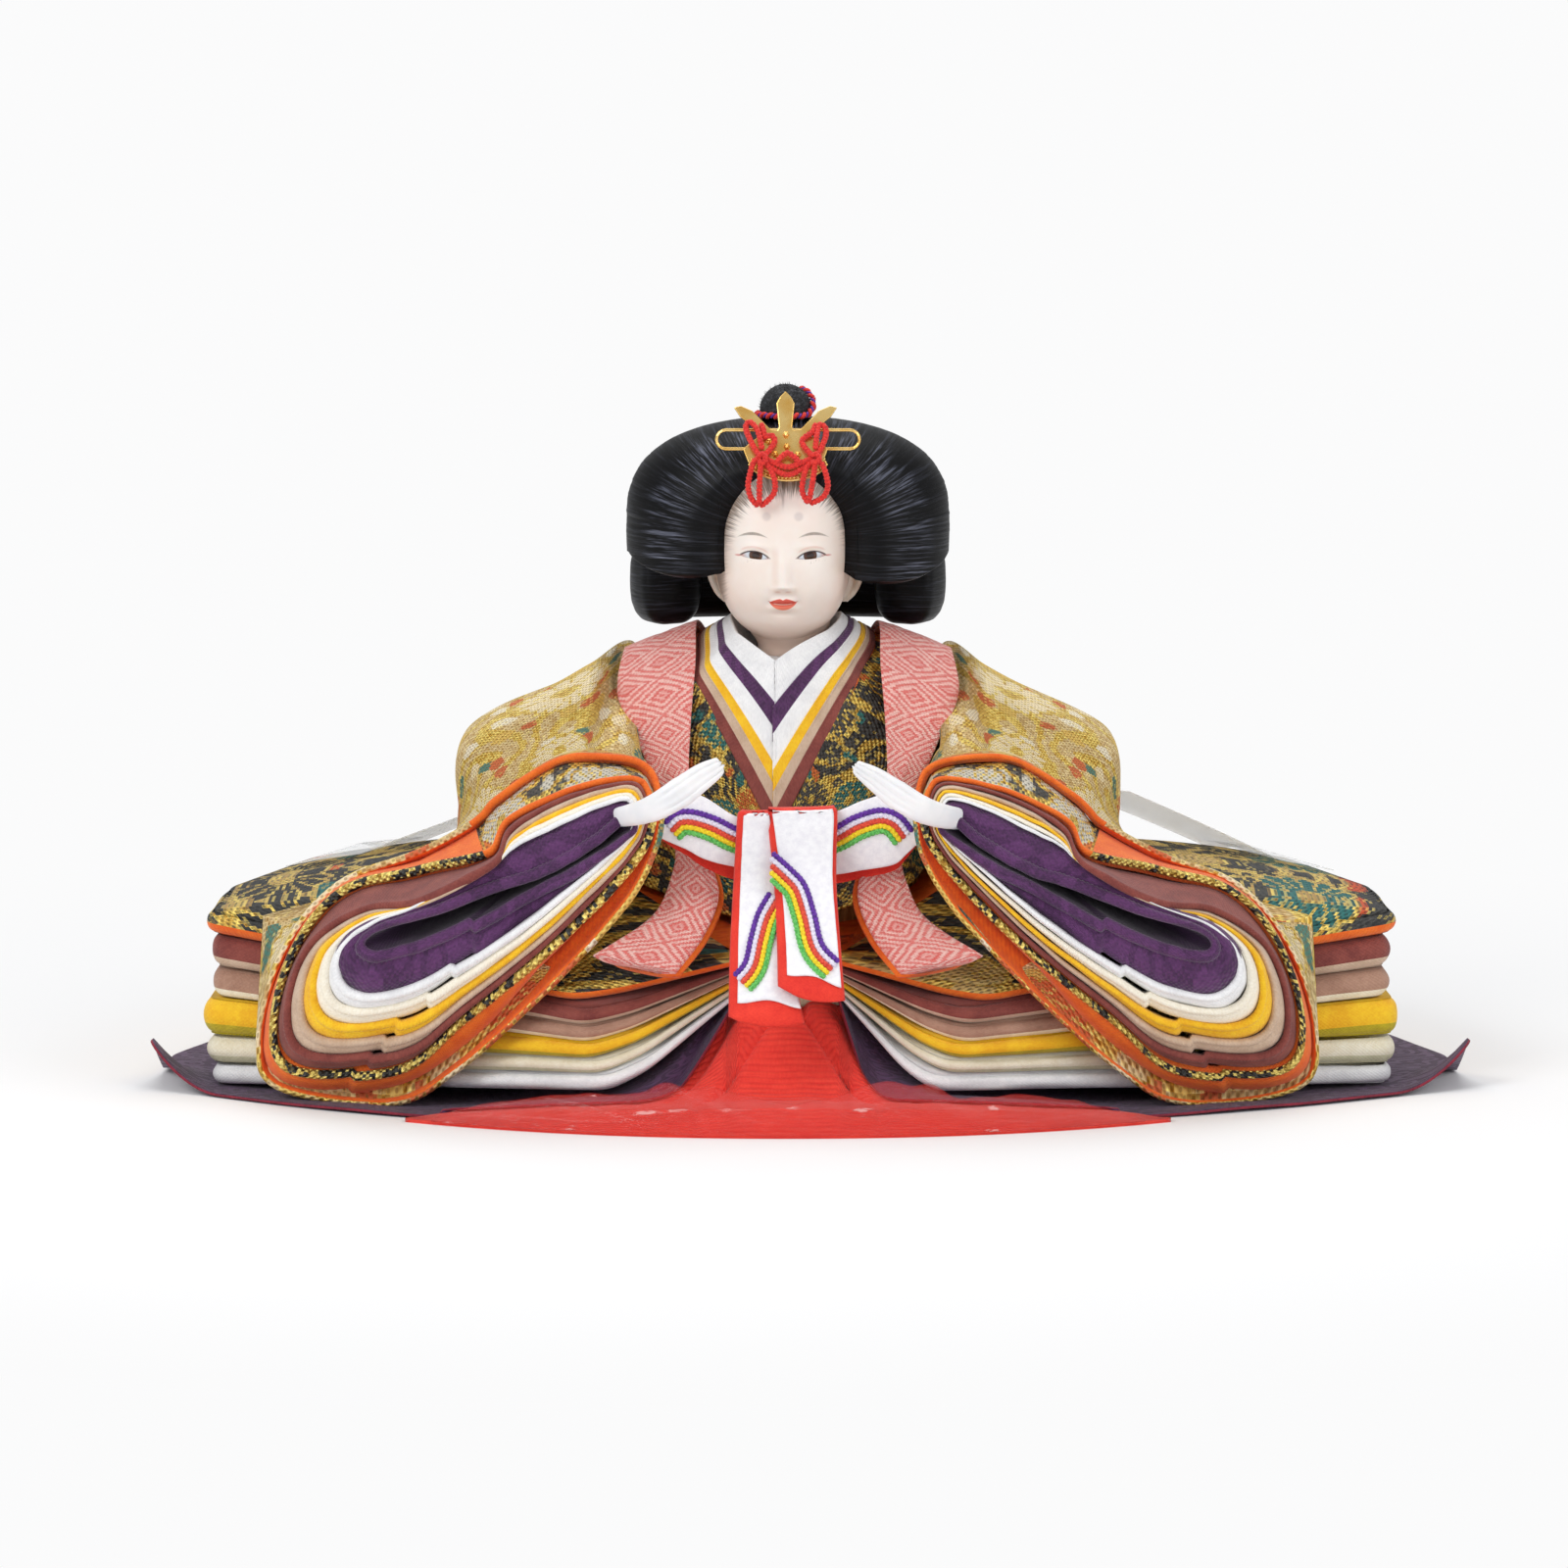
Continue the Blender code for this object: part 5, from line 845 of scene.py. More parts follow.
for side, word in ((1, "left"), (-1, "right")):
    rims = [rim_line(layer, side) for layer in range(8)]
    backs = rim_line(7, side, 3)
    across_strip = np.abs(rims[0][:, 0])
    for layer in range(8):
        rim = rims[layer].copy()
        outer_line = rims[layer + 1] if layer < 7 else rims[7] + (rims[7] - rims[6])
        span = outer_line - rim
        span[:, 1] = 0
        gap = np.linalg.norm(span, axis=1)
        centre = rims[0].mean(axis=0)
        out = np.gradient(rim, axis=0)
        out = np.stack([out[:, 2], np.zeros(around), -out[:, 0]], axis=1)
        out /= np.linalg.norm(out, axis=1)[:, None] + 1e-9
        out *= np.sign((np.roll(out, 0, axis=0) * (rim - centre) * (1, 0, 1)).sum() or 1)
        lead = np.clip(gap / 0.0015, 0, 1)[:, None]
        out = out * (1 - 0.75 * lead) + 0.75 * lead * span / (gap[:, None] + 1e-9)
        out /= np.linalg.norm(out, axis=1)[:, None] + 1e-9
        low_run = soft_step(sleeve_place, 9.0, 9.8) * (1 - soft_step(sleeve_place, 14.6, 15.4))
        cuff_run = 1 - soft_step(sleeve_place, 3.6, 4.4) + soft_step(sleeve_place, 15.2, 15.8)
        to_notch = np.abs(rim[:, 0]) - notch_at[layer]
        notch = low_run * soft_step(to_notch, -0.0004, 0.0004) * np.exp(-np.clip(to_notch, 0, 1) / 0.02)
        wobble = 0.00028 * waves(sleeve_place / 16, 200 + layer * 2 + side, 9, 3, 31)
        rim = rim + out * (wobble - 0.0013 * notch * (1 if layer < 7 else 0))[:, None]
        rim[:, 1] += 0.0009 * notch + 0.0005 * waves(sleeve_place / 16, 240 + layer * 2 + side, 7, 2, 17)
        if layer == 7:
            radius = 0.0008 - 0.0001 * cuff_run
            strip = np.minimum(0.0008 + 0.004 * low_run * soft_step(sleeve_place, 9.2, 10.6), 0.6 * np.linalg.norm(rims[7] - rims[6], axis=1))
        elif layer == 6:
            radius = 0.0010 - 0.0003 * cuff_run
            strip = 0.0009 + 0.0006 * low_run
        else:
            radius = np.minimum(0.0010, 0.28 * gap + 0.0001) + (0.0004 if layer == 0 else 0)
            strip = np.zeros(around)
        behind = np.array((0, 1.0, 0))
        deep = 0.0012 + strip * 0.8
        rows = []
        if layer == 0:
            inner_centre = rim.mean(axis=0) + (side * 0.012, 0.03, 0.006)
            for share in (0.92, 0.8, 0.62, 0.42, 0.24, 0.1):
                pulled = rim + (inner_centre - rim) * share
                pulled[:, 1] = rim[:, 1] + 0.028 * share
                rows.append(pulled)
        else:
            rows.append(rim - out * strip[:, None] + behind * (deep + 0.005)[:, None])
            rows.append(rim - out * strip[:, None] + behind * deep[:, None])
            rows.append(rim - out * (strip * 0.45)[:, None] + behind * (deep * 0.55 + radius * 0.5)[:, None])
        first_roll = len(rows)
        middle = rim + out * radius[:, None] + behind * radius[:, None]
        for angle in np.linspace(-10, 190, 11) * math.pi / 180:
            rows.append(middle + radius[:, None] * (-out * math.cos(angle) - behind * math.sin(angle)))
        last_roll = len(rows)
        if layer < 7:
            next_strip = 0.0009 if layer == 5 else 0
            if layer == 6:
                next_strip = np.minimum(0.0008 + 0.004 * low_run * soft_step(sleeve_place, 9.2, 10.6), 0.6 * gap)
            far = np.maximum(gap - next_strip - 0.0003, 2.1 * radius)
            drop = outer_line[:, 1] - rims[layer][:, 1] + 0.0014
            drop = np.maximum(drop, 1.5 * radius)
            start = rows[-1]
            for share in (0.2, 0.45, 0.72, 1.0):
                lift = 0.12 * far * math.sin(math.pi * share) * (1 if layer != 6 else 1.6)
                rumple = 0.00018 * waves(sleeve_place / 16 + share * 0.02, 270 + layer, 9, 9, 60)
                reach_out = 2 * radius + (far - 2 * radius) * share
                rows.append(
                    rim + out * reach_out[:, None]
                    + behind * (1.2 * radius + (drop - 1.2 * radius) * share - lift + rumple)[:, None]
                )
            rows.append(rows[-1] + behind * 0.005)
        else:
            rim_back = backs.copy()
            bag = bag_rows(side, rim_back)
            rows.append(rows[-1] * 0.6 + bag[0] * 0.4)
            rows += list(bag)
        count = len(rows)
        edge_cloth = {6: bead_rope, 7: sleeve_gold}.get(layer, layer_cloth[layer])
        # Inside the innermost sleeve's mouth the lining is the darker purple of painted shade.
        lining_cloth = {0: painted_shade_purple, 6: orange_silk, 7: orange_silk}.get(layer, layer_cloth[layer])
        orange_rim = orange_silk if layer in (6, 7) else layer_cloth[layer]

        def choose(row, column, layer=layer, first=first_roll, last=last_roll, cuff=cuff_run):
            """Slot 0 is the cloth, 1 the lining, 2 the roll and 3 the roll over the wrist."""
            at = np.where(row >= last - 1, 0, np.where(row < first, 1, 2))
            by_cuff = cuff[np.minimum(column, around - 1)] > 0.5
            at = np.where((at == 0) & ~by_cuff & (layer == 6), 1, at)
            wrist = by_cuff & (at == 2)
            half = (row < first + 4) & (at == 2) & (layer == 7)
            return np.where(wrist, 3, np.where(half, 1, at))

        rows = np.array(rows)
        rows[..., 2] = np.maximum(rows[..., 2], 0.0008)
        cloth = skin(
            "sleeve_" + word + "_" + layer_words[layer] + "_cloth", rows, "figure",
            [layer_cloth[layer], lining_cloth, edge_cloth, orange_rim], around=True, pick=choose,
        )
        thickened(cloth, 0.00022, offset=-1 if layer else 0)
        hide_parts("sleeve_" + word + "_" + layer_words[layer])


# Jacket, collars and pink panels
# The brocade jacket closes under the bow. Six stiff collar bands lie in its neck, the wearer's left
# over the right, each with a rolled edge. Pink figured panels run over the shoulders and end in a fold.
neckline = np.array([
    (0, 0.12, 1.09), (-0.09, 0.09, 1.115), (-0.125, 0, 1.135), (-0.105, -0.13, 1.105), (-0.01, -0.235, 1.046),
]) * 0.1
collar_foot = np.array([
    (0, 0.20, 1.035), (-0.13, 0.17, 1.06), (-0.205, 0.02, 1.09), (-0.195, -0.22, 0.995), (-0.01, -0.485, 0.66),
]) * 0.1
jacket_rings = np.array([
    ((0, 0.26, 0.96), (-0.24, 0.20, 0.985), (-0.375, 0.00, 1.01), (-0.31, -0.27, 0.84), (0, -0.505, 0.63)),
    ((0, 0.28, 0.80), (-0.24, 0.25, 0.80), (-0.385, -0.02, 0.82), (-0.29, -0.38, 0.72), (0, -0.525, 0.58)),
    ((0, 0.30, 0.66), (-0.27, 0.26, 0.66), (-0.40, -0.05, 0.68), (-0.31, -0.44, 0.60), (0, -0.555, 0.49)),
    ((0, 0.31, 0.58), (-0.29, 0.27, 0.58), (-0.41, -0.08, 0.595), (-0.33, -0.47, 0.535), (0, -0.58, 0.43)),
]) * 0.1
collar_steps = (0, 0.251, 0.409, 0.62, 0.745, 0.875, 1)


def neck_half(half, count, side):
    """One side of a ring, from the middle of the back round the neck to the point of its V in front.

    The last run to the point is straight, so that the two sides meet there at an angle.
    """
    line = half.copy()
    line[:, 0] *= 1
    whole = curve_through(line[:4], 3 * count)
    tip = half[4] * (0, 1, 1)
    start = whole[-1]
    steps = np.linspace(0, 1, count)[1:, None]
    sag = 0.0010 * np.sin(math.pi * steps) * (0.5, -1, 0)
    straight = start + (tip - start) * steps + sag
    path = smooth_line(np.vstack([whole, straight]), 3 * count, 4)
    path = np.vstack([path, tip + (path[-1] - path[-2]) * 0])
    run = np.linspace(0, 1, len(path))
    path = path * (side, 1, 1)
    shift = 0.0030 * soft_step(-path[:, 1], 0.004, 0.022)
    if side > 0:
        shift = shift + 0.0015 * np.exp(-(((path[:, 1] + 0.005) / 0.0085) ** 2))
    return path - np.stack([shift, 0 * run, 0 * run], axis=1)


def band(name, start, end, side, cloth, thickness, lifted, past):
    """A collar band between two shares of the neck slope, with a rolled inner edge that stands proud."""
    near, far = (neck_half(neckline + (collar_foot - neckline) * share, 40, side) for share in (start, end))
    run = (near[-3] - near[-12]) / np.linalg.norm(near[-3] - near[-12])
    steps = np.linspace(0, past, 6)[1:, None]
    near, far = (np.vstack([line, line[-1] + steps * run]) for line in (near, far))
    out = np.cross(np.gradient(near, axis=0), far - near)
    out /= np.linalg.norm(out, axis=1)[:, None] + 1e-12
    out *= np.sign(out[60] @ np.array((0, -1, 0.3)))
    kernel = np.ones(9) / 9
    padded = np.vstack([out[:1]] * 4 + [out] + [out[-1:]] * 4)
    out = np.stack([np.convolve(padded[:, axis], kernel, "valid") for axis in range(3)], axis=1)
    out /= np.linalg.norm(out, axis=1)[:, None]
    rows = [far - out * 0.0004, near - out * 0.0004 + (far - near) * 0.06]
    roll = thickness / 2
    inward = (far - near) / (np.linalg.norm(far - near, axis=1)[:, None] + 1e-9)
    for angle in np.linspace(-80, 90, 8) * math.pi / 180:
        rows.append(near + inward * roll * (1 - math.cos(angle)) + out * (roll * math.sin(angle) + roll + lifted - 0.0004))
    for share in (0.12, 0.3, 0.6, 0.85, 1):
        dent = 0.00008 * waves(np.linspace(0, 1, len(near)) + share, 77, 6, 1, 9)
        rows.append(near + (far - near) * share + out * ((thickness + lifted - 0.0004) * (1 - 0.62 * share) + dent)[:, None])
    return thickened(skin(name, rows, "figure", [cloth]), 0.0001)


collar_cloths = {
    "inner": white_silk, "purple": sleeve_purple, "white": white_silk, "yellow": yellow_silk, "beige": beige_silk,
    "rust": rust_silk,
}
for index, (word, cloth) in enumerate(collar_cloths.items()):
    start, end = collar_steps[index], collar_steps[index + 1] + 0.045
    halves = [
        band("collar_" + word + "_" + hand, start, end, side, cloth, 0.0009, lift, past * min(1, 0.3 + index))
        for hand, side, lift, past in (("under", 1, 0.0, 0.0008), ("over", -1, 0.0004, 0.0016))
    ]
    for half in halves:
        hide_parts("collar_" + word)
rows = []
for share in np.linspace(0, 1, 12):
    halves = [neck_half(neckline, 40, side) for side in (1, -1)]
    rim = np.vstack([halves[0], halves[1][-2:0:-1]])
    flat = rim * (1, 1, 0) + (0.0006, 0.001, 0)
    flat /= np.linalg.norm(flat, axis=1)[:, None]
    foot = flat * 0.0081 + (0, 0, 0.1042)
    dip = np.array((0, 0, -0.0016)) * math.sin(math.pi * share)
    rows.append(rim + (foot - rim) * share * (1, 1, 1) + dip + (0, 0.0003, -0.0002))
throat = skin("throat_lining", rows, "figure", [white_silk], around=True)
thickened(throat, 0.0002)
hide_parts("collar_inner")
jacket_cloth = brocade(
    "jacket_brocade", ((26, 26, 26), (72, 68, 62)), ((186, 138, 44), (255, 224, 112)),
    ((212, 104, 34), (40, 110, 104), (72, 68, 62), (232, 204, 130)), repeat=0.02, weft=0.0006, deep=(30, 26, 18), curls=0.55,
)
rings = [neckline + (collar_foot - neckline) * 1.0, neckline + (collar_foot - neckline) * 1.1] + list(jacket_rings)
rows = []
for half in rings:
    lines = [neck_half(half, 60, side) for side in (1, -1)]
    rows.append(np.vstack([lines[0], lines[1][-2:0:-1]]))
rows = np.array(rows)
rows[0] += (0, 0.0004, -0.0006)
rows[1] += (0, -0.0002, 0.0001)
dense = curve_through(rows.reshape(len(rows), -1), 40).reshape(40, -1, 3)
wide = np.arange(dense.shape[1]) / dense.shape[1]
dense[:, :, 1] -= 0.0005 * waves(wide[None, :] * 2 + np.linspace(0, 0.6, 40)[:, None], 17, 7, 1, 9)
body_cloth = skin("jacket_cloth", dense[:, ::-1], "figure", [jacket_cloth, orange_silk], around=True)
thickened(body_cloth, 0.0007, offset=-1, lining=1)
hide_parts("jacket")

pink, paint = finish_of("pink_brocade", Roughness=0.55, Specular_IOR_Level=0.45, Sheen_Weight=0.2)
height, chance, u, v = threads(paint, 0.00042, 0.0006)
across, along = (u.maths("FLOOR", u) + 0.5) * (0.00042 / 0.0118), (v.maths("FLOOR", v) + 0.5) * (0.0006 / 0.0145)
lozenge = sum(((place.maths("FRACT", place) - 0.5).size() for place in (across, along)), 0)
lines = lozenge * (2 * math.pi * 6)
heart = 1 - (lozenge - 0.5).size().step(0.30, 0.34)
stripe = (lines.maths("COSINE", lines) + (chance - 0.5) * 0.9).step(-0.45, 0.45)
tone = stripe * (0.5 + heart * 0.22) + (1 - heart) * 0.3 + chance * 0.16
tone.mix(dye(252, 200, 190), dye(226, 82, 74)).feed("Base Color")
relief(paint, height * 1.0 + stripe * 0.5 + chance * 0.3, 0.9, 0.0003)
panel_inner = np.array([
    (-0.12, 0.30, 0.90), (-0.17, 0.24, 1.01), (-0.22, 0.01, 1.12), (-0.225, -0.20, 1.03), (-0.235, -0.33, 0.90),
    (-0.235, -0.465, 0.77), (-0.19, -0.575, 0.62), (-0.165, -0.66, 0.53), (-0.20, -0.72, 0.44), (-0.27, -0.79, 0.355),
]) * 0.1
panel_outer = np.array([
    (-0.35, 0.27, 0.90), (-0.40, 0.17, 0.97), (-0.40, -0.03, 1.055), (-0.415, -0.19, 0.96), (-0.365, -0.30, 0.86),
    (-0.31, -0.43, 0.74), (-0.27, -0.55, 0.63), (-0.29, -0.64, 0.54), (-0.335, -0.70, 0.475), (-0.47, -0.80, 0.40),
]) * 0.1
for side, word in ((1, "left"), (-1, "right")):
    inner, outer = (curve_through(line, 150) * (side, 1, 1) for line in (panel_inner, panel_outer))
    run = np.linspace(0, 1, 150)
    out = np.cross(np.gradient(inner, axis=0), outer - inner) * -side
    out /= np.linalg.norm(out, axis=1)[:, None]
    out *= np.where((out[:, 1:2] > 0.15) & (inner[:, 1:2] < -0.02), -1, 1)
    puff = 0.0009 + 0.0022 * soft_step(run, 0.72, 0.95)
    for name, cloth, widen, back in (("pink", pink, 0.0, 0.0), ("lining", orange_silk, 0.0011, 0.0013)):
        rows = []
        for angle in np.linspace(0, 2 * math.pi, 41):
            share = 0.5 - 0.5 * math.cos(angle)
            lift = math.copysign(abs(math.sin(angle)) ** 0.7, math.sin(angle))
            wider = (widen * soft_step(run, 0.5, 0.65) - 0.001 * (1 - soft_step(run, 0.5, 0.65)) * (widen > 0))[:, None]
            edge = inner - wider * (outer - inner) / np.linalg.norm(outer - inner, axis=1)[:, None]
            folds = 0.0006 * waves(run * 1.3 + share * 0.5, 95 + side, 7, 2, 14) * soft_step(run, 0.05, 0.5)
            rows.append(
                edge + (outer - edge) * (share * (1 if widen == 0 else 0.8))
                + out * ((puff * 0.5 * lift + folds * (lift > 0)) - back)[:, None]
            )
        end = np.array(rows)
        tail = end.mean(axis=0)[-1]
        end[:, -1] = tail + (end[:, -1] - tail) * 0.7
        form = skin("panel_" + word + "_" + name, end, "figure", [cloth])
        outwards(form)
        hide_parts("panel_" + word)


# White bow with its tails and braids
# A flat bow of stiff white satin lined in red, tied over the jacket front. Its two tails hang over
# the lap, the right one over the left. Five braided cords are sewn side by side on each part.
satin, paint = finish_of("white_satin", Roughness=0.42, Specular_IOR_Level=0.5, Sheen_Weight=0.1)
height, chance, u, v = threads(paint, 0.00022, 0.0003)
crepe = noise(paint, object_place(paint, (700, 700, 700)), 1.0, 3.0)
(crepe.step(0.3, 0.75) * 0.7 + chance * 0.3).mix(dye(250, 249, 251), dye(234, 232, 238)).feed("Base Color")
(crepe * 0.25 + 0.3).feed("Roughness")
relief(paint, height * 0.5 + crepe, 0.5, 0.0001)
red_silk = silk("red_bow_lining", (244, 66, 46), (220, 42, 32), warp=0.0003, weft=0.0003, depth=0.00006)


def tube(path, radius, count=14, squash=1.0, flute=0.0, turns=0.0, lobes=3, up=(0, -1, 0)):
    """Rows of a round tube along a path: place = path + radius (1 + flute cos(lobes (a + turns))) n(a).

    a is the angle about the path and turns grows along it, so that a fluted tube is a twisted cord.
    """
    path = np.asarray(path, float)
    ahead = np.gradient(path, axis=0)
    ahead /= np.linalg.norm(ahead, axis=1)[:, None]
    first = np.cross(ahead, up)
    first /= np.linalg.norm(first, axis=1)[:, None]
    second = np.cross(first, ahead)
    run = np.concatenate([[0], np.linalg.norm(np.diff(path, axis=0), axis=1).cumsum()])[:, None]
    angle = np.arange(count)[None, :] / count * 2 * math.pi
    grow = np.broadcast_to(np.reshape(radius, (-1, 1)) * (1 + flute * np.cos(lobes * (angle + turns * run))), (len(path), count))
    return (
        path[:, None, :]
        + (grow * np.cos(angle))[..., None] * first[:, None, :]
        + (grow * np.sin(angle) * squash)[..., None] * second[:, None, :]
    )


def plaited(name, path, radius, body, material, pitch=0.0011, count=16):
    """A plaited cord: two rows of slanting stitches that meet along its middle like a chain."""
    path = np.asarray(path, float)
    run = np.concatenate([[0], np.linalg.norm(np.diff(path, axis=0), axis=1).cumsum()])
    steps = max(24, int(run[-1] / pitch * 9))
    even = np.linspace(0, run[-1], steps)
    path = np.stack([np.interp(even, run, path[:, axis]) for axis in range(3)], axis=1)
    angle = np.arange(count) / count * 2 * math.pi
    slant = np.abs(((angle - math.pi / 2 + math.pi) % (2 * math.pi)) - math.pi) / math.pi
    stitch = np.cos(2 * math.pi * (even[:, None] / pitch + 1.1 * slant[None, :]))
    seam = np.exp(-((slant / 0.07) ** 2))[None, :]
    swell = 1 + 0.13 * stitch - 0.14 * seam
    ends = np.clip(np.minimum(even, even[-1] - even) / radius, 0.0, 1.0)
    swell = swell * np.sqrt(1 - (1 - ends) ** 2 * 0.98)[:, None]
    rows = tube(path, radius, count)
    rows = path[:, None, :] + (rows - path[:, None, :]) * swell[..., None]
    return outwards(skin(name, rows, body, [material], around=True), cap=True)


def cord_cloth(name, light, dark):
    made, paint = finish_of(name, Roughness=0.6, Specular_IOR_Level=0.4, Sheen_Weight=0.2)
    fibre = noise(paint, object_place(paint, (2200, 2200, 2200)), 1.0, 2.0)
    fibre.step(0.3, 0.7).mix(dye(*dark), dye(*light)).feed("Base Color")
    relief(paint, fibre, 0.5, 0.00008)
    return made


braid_cloths = (
    cord_cloth("purple_cord", (108, 44, 172), (64, 16, 116)), cord_cloth("white_cord", (240, 236, 248), (208, 202, 224)),
    cord_cloth("red_cord", (236, 84, 54), (200, 48, 34)), cord_cloth("yellow_cord", (252, 228, 30), (228, 188, 10)),
    cord_cloth("green_cord", (116, 208, 104), (62, 160, 66)),
)
bow_plane, bow_swing, bow_half = 0.0615, 0.0035, 0.031
loop_lines = {
    "left": (
        ((0.0, 0.0700), (0.0119, 0.0716), (0.0196, 0.0763), (0.0240, 0.0776), (0.0275, 0.0768), (0.0300, 0.0730)),
        ((0.0, 0.0592), (0.0126, 0.0597), (0.0191, 0.0616), (0.0243, 0.0640), (0.0275, 0.0656), (0.0300, 0.0668)),
        ((0.0, 0.0556), (0.0126, 0.0561), (0.0192, 0.0591), (0.0243, 0.0622), (0.0275, 0.0642), (0.0300, 0.0662)),
    ),
    "right": (
        ((0.0, 0.0706), (0.0107, 0.0726), (0.0177, 0.0756), (0.0250, 0.0777), (0.0280, 0.0765), (0.0303, 0.0720)),
        ((0.0, 0.0575), (0.0100, 0.0578), (0.0154, 0.0590), (0.0201, 0.0604), (0.0259, 0.0628), (0.0303, 0.0652)),
        ((0.0, 0.0545), (0.0100, 0.0552), (0.0154, 0.0567), (0.0201, 0.0585), (0.0259, 0.0615), (0.0303, 0.0646)),
    ),
}
loop_cords = {
    "left": ((0.0060, 0.0668), (0.0121, 0.0689), (0.0172, 0.0715), (0.0226, 0.0732), (0.0266, 0.0729), (0.0296, 0.0704)),
    "right": ((0.0050, 0.0668), (0.0107, 0.0689), (0.0158, 0.0718), (0.0219, 0.0736), (0.0266, 0.0722), (0.0298, 0.0685)),
}


def loop_face(across):
    """How far forward the front of a bow loop lies at a distance from the middle."""
    return -(bow_plane + 0.0012 + bow_swing * np.abs(across) / bow_half)


bow_loops = []
for side, word in ((-1, "left"), (1, "right")):
    top, low, back_low = (curve_through(line, 60) for line in loop_lines[word])
    turn = np.linspace(0, math.pi, 17)[1:-1]
    front_across, back_across = top[:, 0], top[::-1, 0]
    end_across = top[-1, 0] + 0.0011 * np.sin(turn)
    span = np.concatenate([front_across, end_across, back_across])
    face = loop_face(span)
    depth = np.concatenate([np.zeros(60), 0.0011 * (1 - np.cos(turn)), np.full(60, 0.0022)])
    high = np.concatenate([top[:, 1], np.full(15, top[-1, 1]), top[::-1, 1] - 0.0004])
    foot = np.concatenate([low[:, 1], np.linspace(low[-1, 1], back_low[-1, 1], 15), back_low[::-1, 1]])
    rows = []
    for share in np.linspace(0, 1, 30):
        puff = 0.0006 * math.sin(math.pi * share) * np.concatenate([np.ones(60), np.ones(15), -np.ones(60)])
        crinkle = 0.00012 * waves(span * 22 + share * 0.8, 402 + side, 6, 1, 8)
        rows.append(np.stack([side * span, face + depth - puff + crinkle, high + (foot - high) * share], axis=-1))
    loop = skin("bow_loop_" + word, rows[::-1] if side > 0 else rows, "figure", [satin, red_silk])
    thickened(loop, 0.0005, offset=1, lining=1, rim=1)
    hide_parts("bow_loops")
    bow_loops.append(loop)
    line = np.array(loop_cords[word])
    line = curve_through(line, 80)
    ahead = np.gradient(line, axis=0)
    ahead /= np.linalg.norm(ahead, axis=1)[:, None]
    below = np.stack([ahead[:, 1], -ahead[:, 0]], axis=1)
    for index, cloth in enumerate(braid_cloths):
        shift = 0.00125 * index + 0.0001
        path = line + below * shift
        path = path[path[:, 0] < (0.0300 - 0.0008 * index)]
        share = np.clip((0.0302 - path[:, 0]) / 0.02, 0, 1)
        forward = loop_face(path[:, 0]) - 0.0009 - 0.0003 * np.sin(math.pi * share)
        cord = plaited(
            "loop_cord_" + word + "_" + str(index), np.stack([side * path[:, 0], forward, path[:, 1]], axis=1),
            0.00066, "figure", cloth,
        )
        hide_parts("braid_loop_" + word)

tail_reach = 0.0215
tail_lines = {
    "back": (
        0.0690, 0.0268, 0.0665,
        ((-0.0110, 0.0725), (-0.0114, 0.0710), (-0.0123, 0.0568), (-0.0132, 0.0415), (-0.0136, 0.0268)),
        ((-0.0044, 0.0725), (-0.0040, 0.0710), (-0.0028, 0.0568), (-0.0004, 0.0415), (0.0034, 0.0255)),
    ),
    "front": (
        0.0725, 0.0330, 0.0664,
        ((-0.0046, 0.0732), (-0.0044, 0.0715), (-0.0028, 0.0571), (-0.0021, 0.0440), (-0.0019, 0.0340)),
        ((0.0110, 0.0736), (0.0112, 0.0715), (0.0109, 0.0571), (0.0118, 0.0440), (0.0129, 0.0310)),
    ),
}
tail_cords = {
    "front": ((-0.0036, 0.0645), (0.0009, 0.0607), (0.0042, 0.0571), (0.0065, 0.0506), (0.0083, 0.0441), (0.0122, 0.0402)),
    "back": ((-0.0045, 0.0552), (-0.0074, 0.0503), (-0.0091, 0.0448), (-0.0104, 0.0396), (-0.0130, 0.0366)),
}


def tail_face(up, word):
    """How far forward a tail hangs at a height: it leans out over the lap towards its end."""
    high, low, start = tail_lines[word][:3]
    share = np.clip((high - np.asarray(up)) / (high - low), 0, 1)
    return -(start + tail_reach * share**1.15)


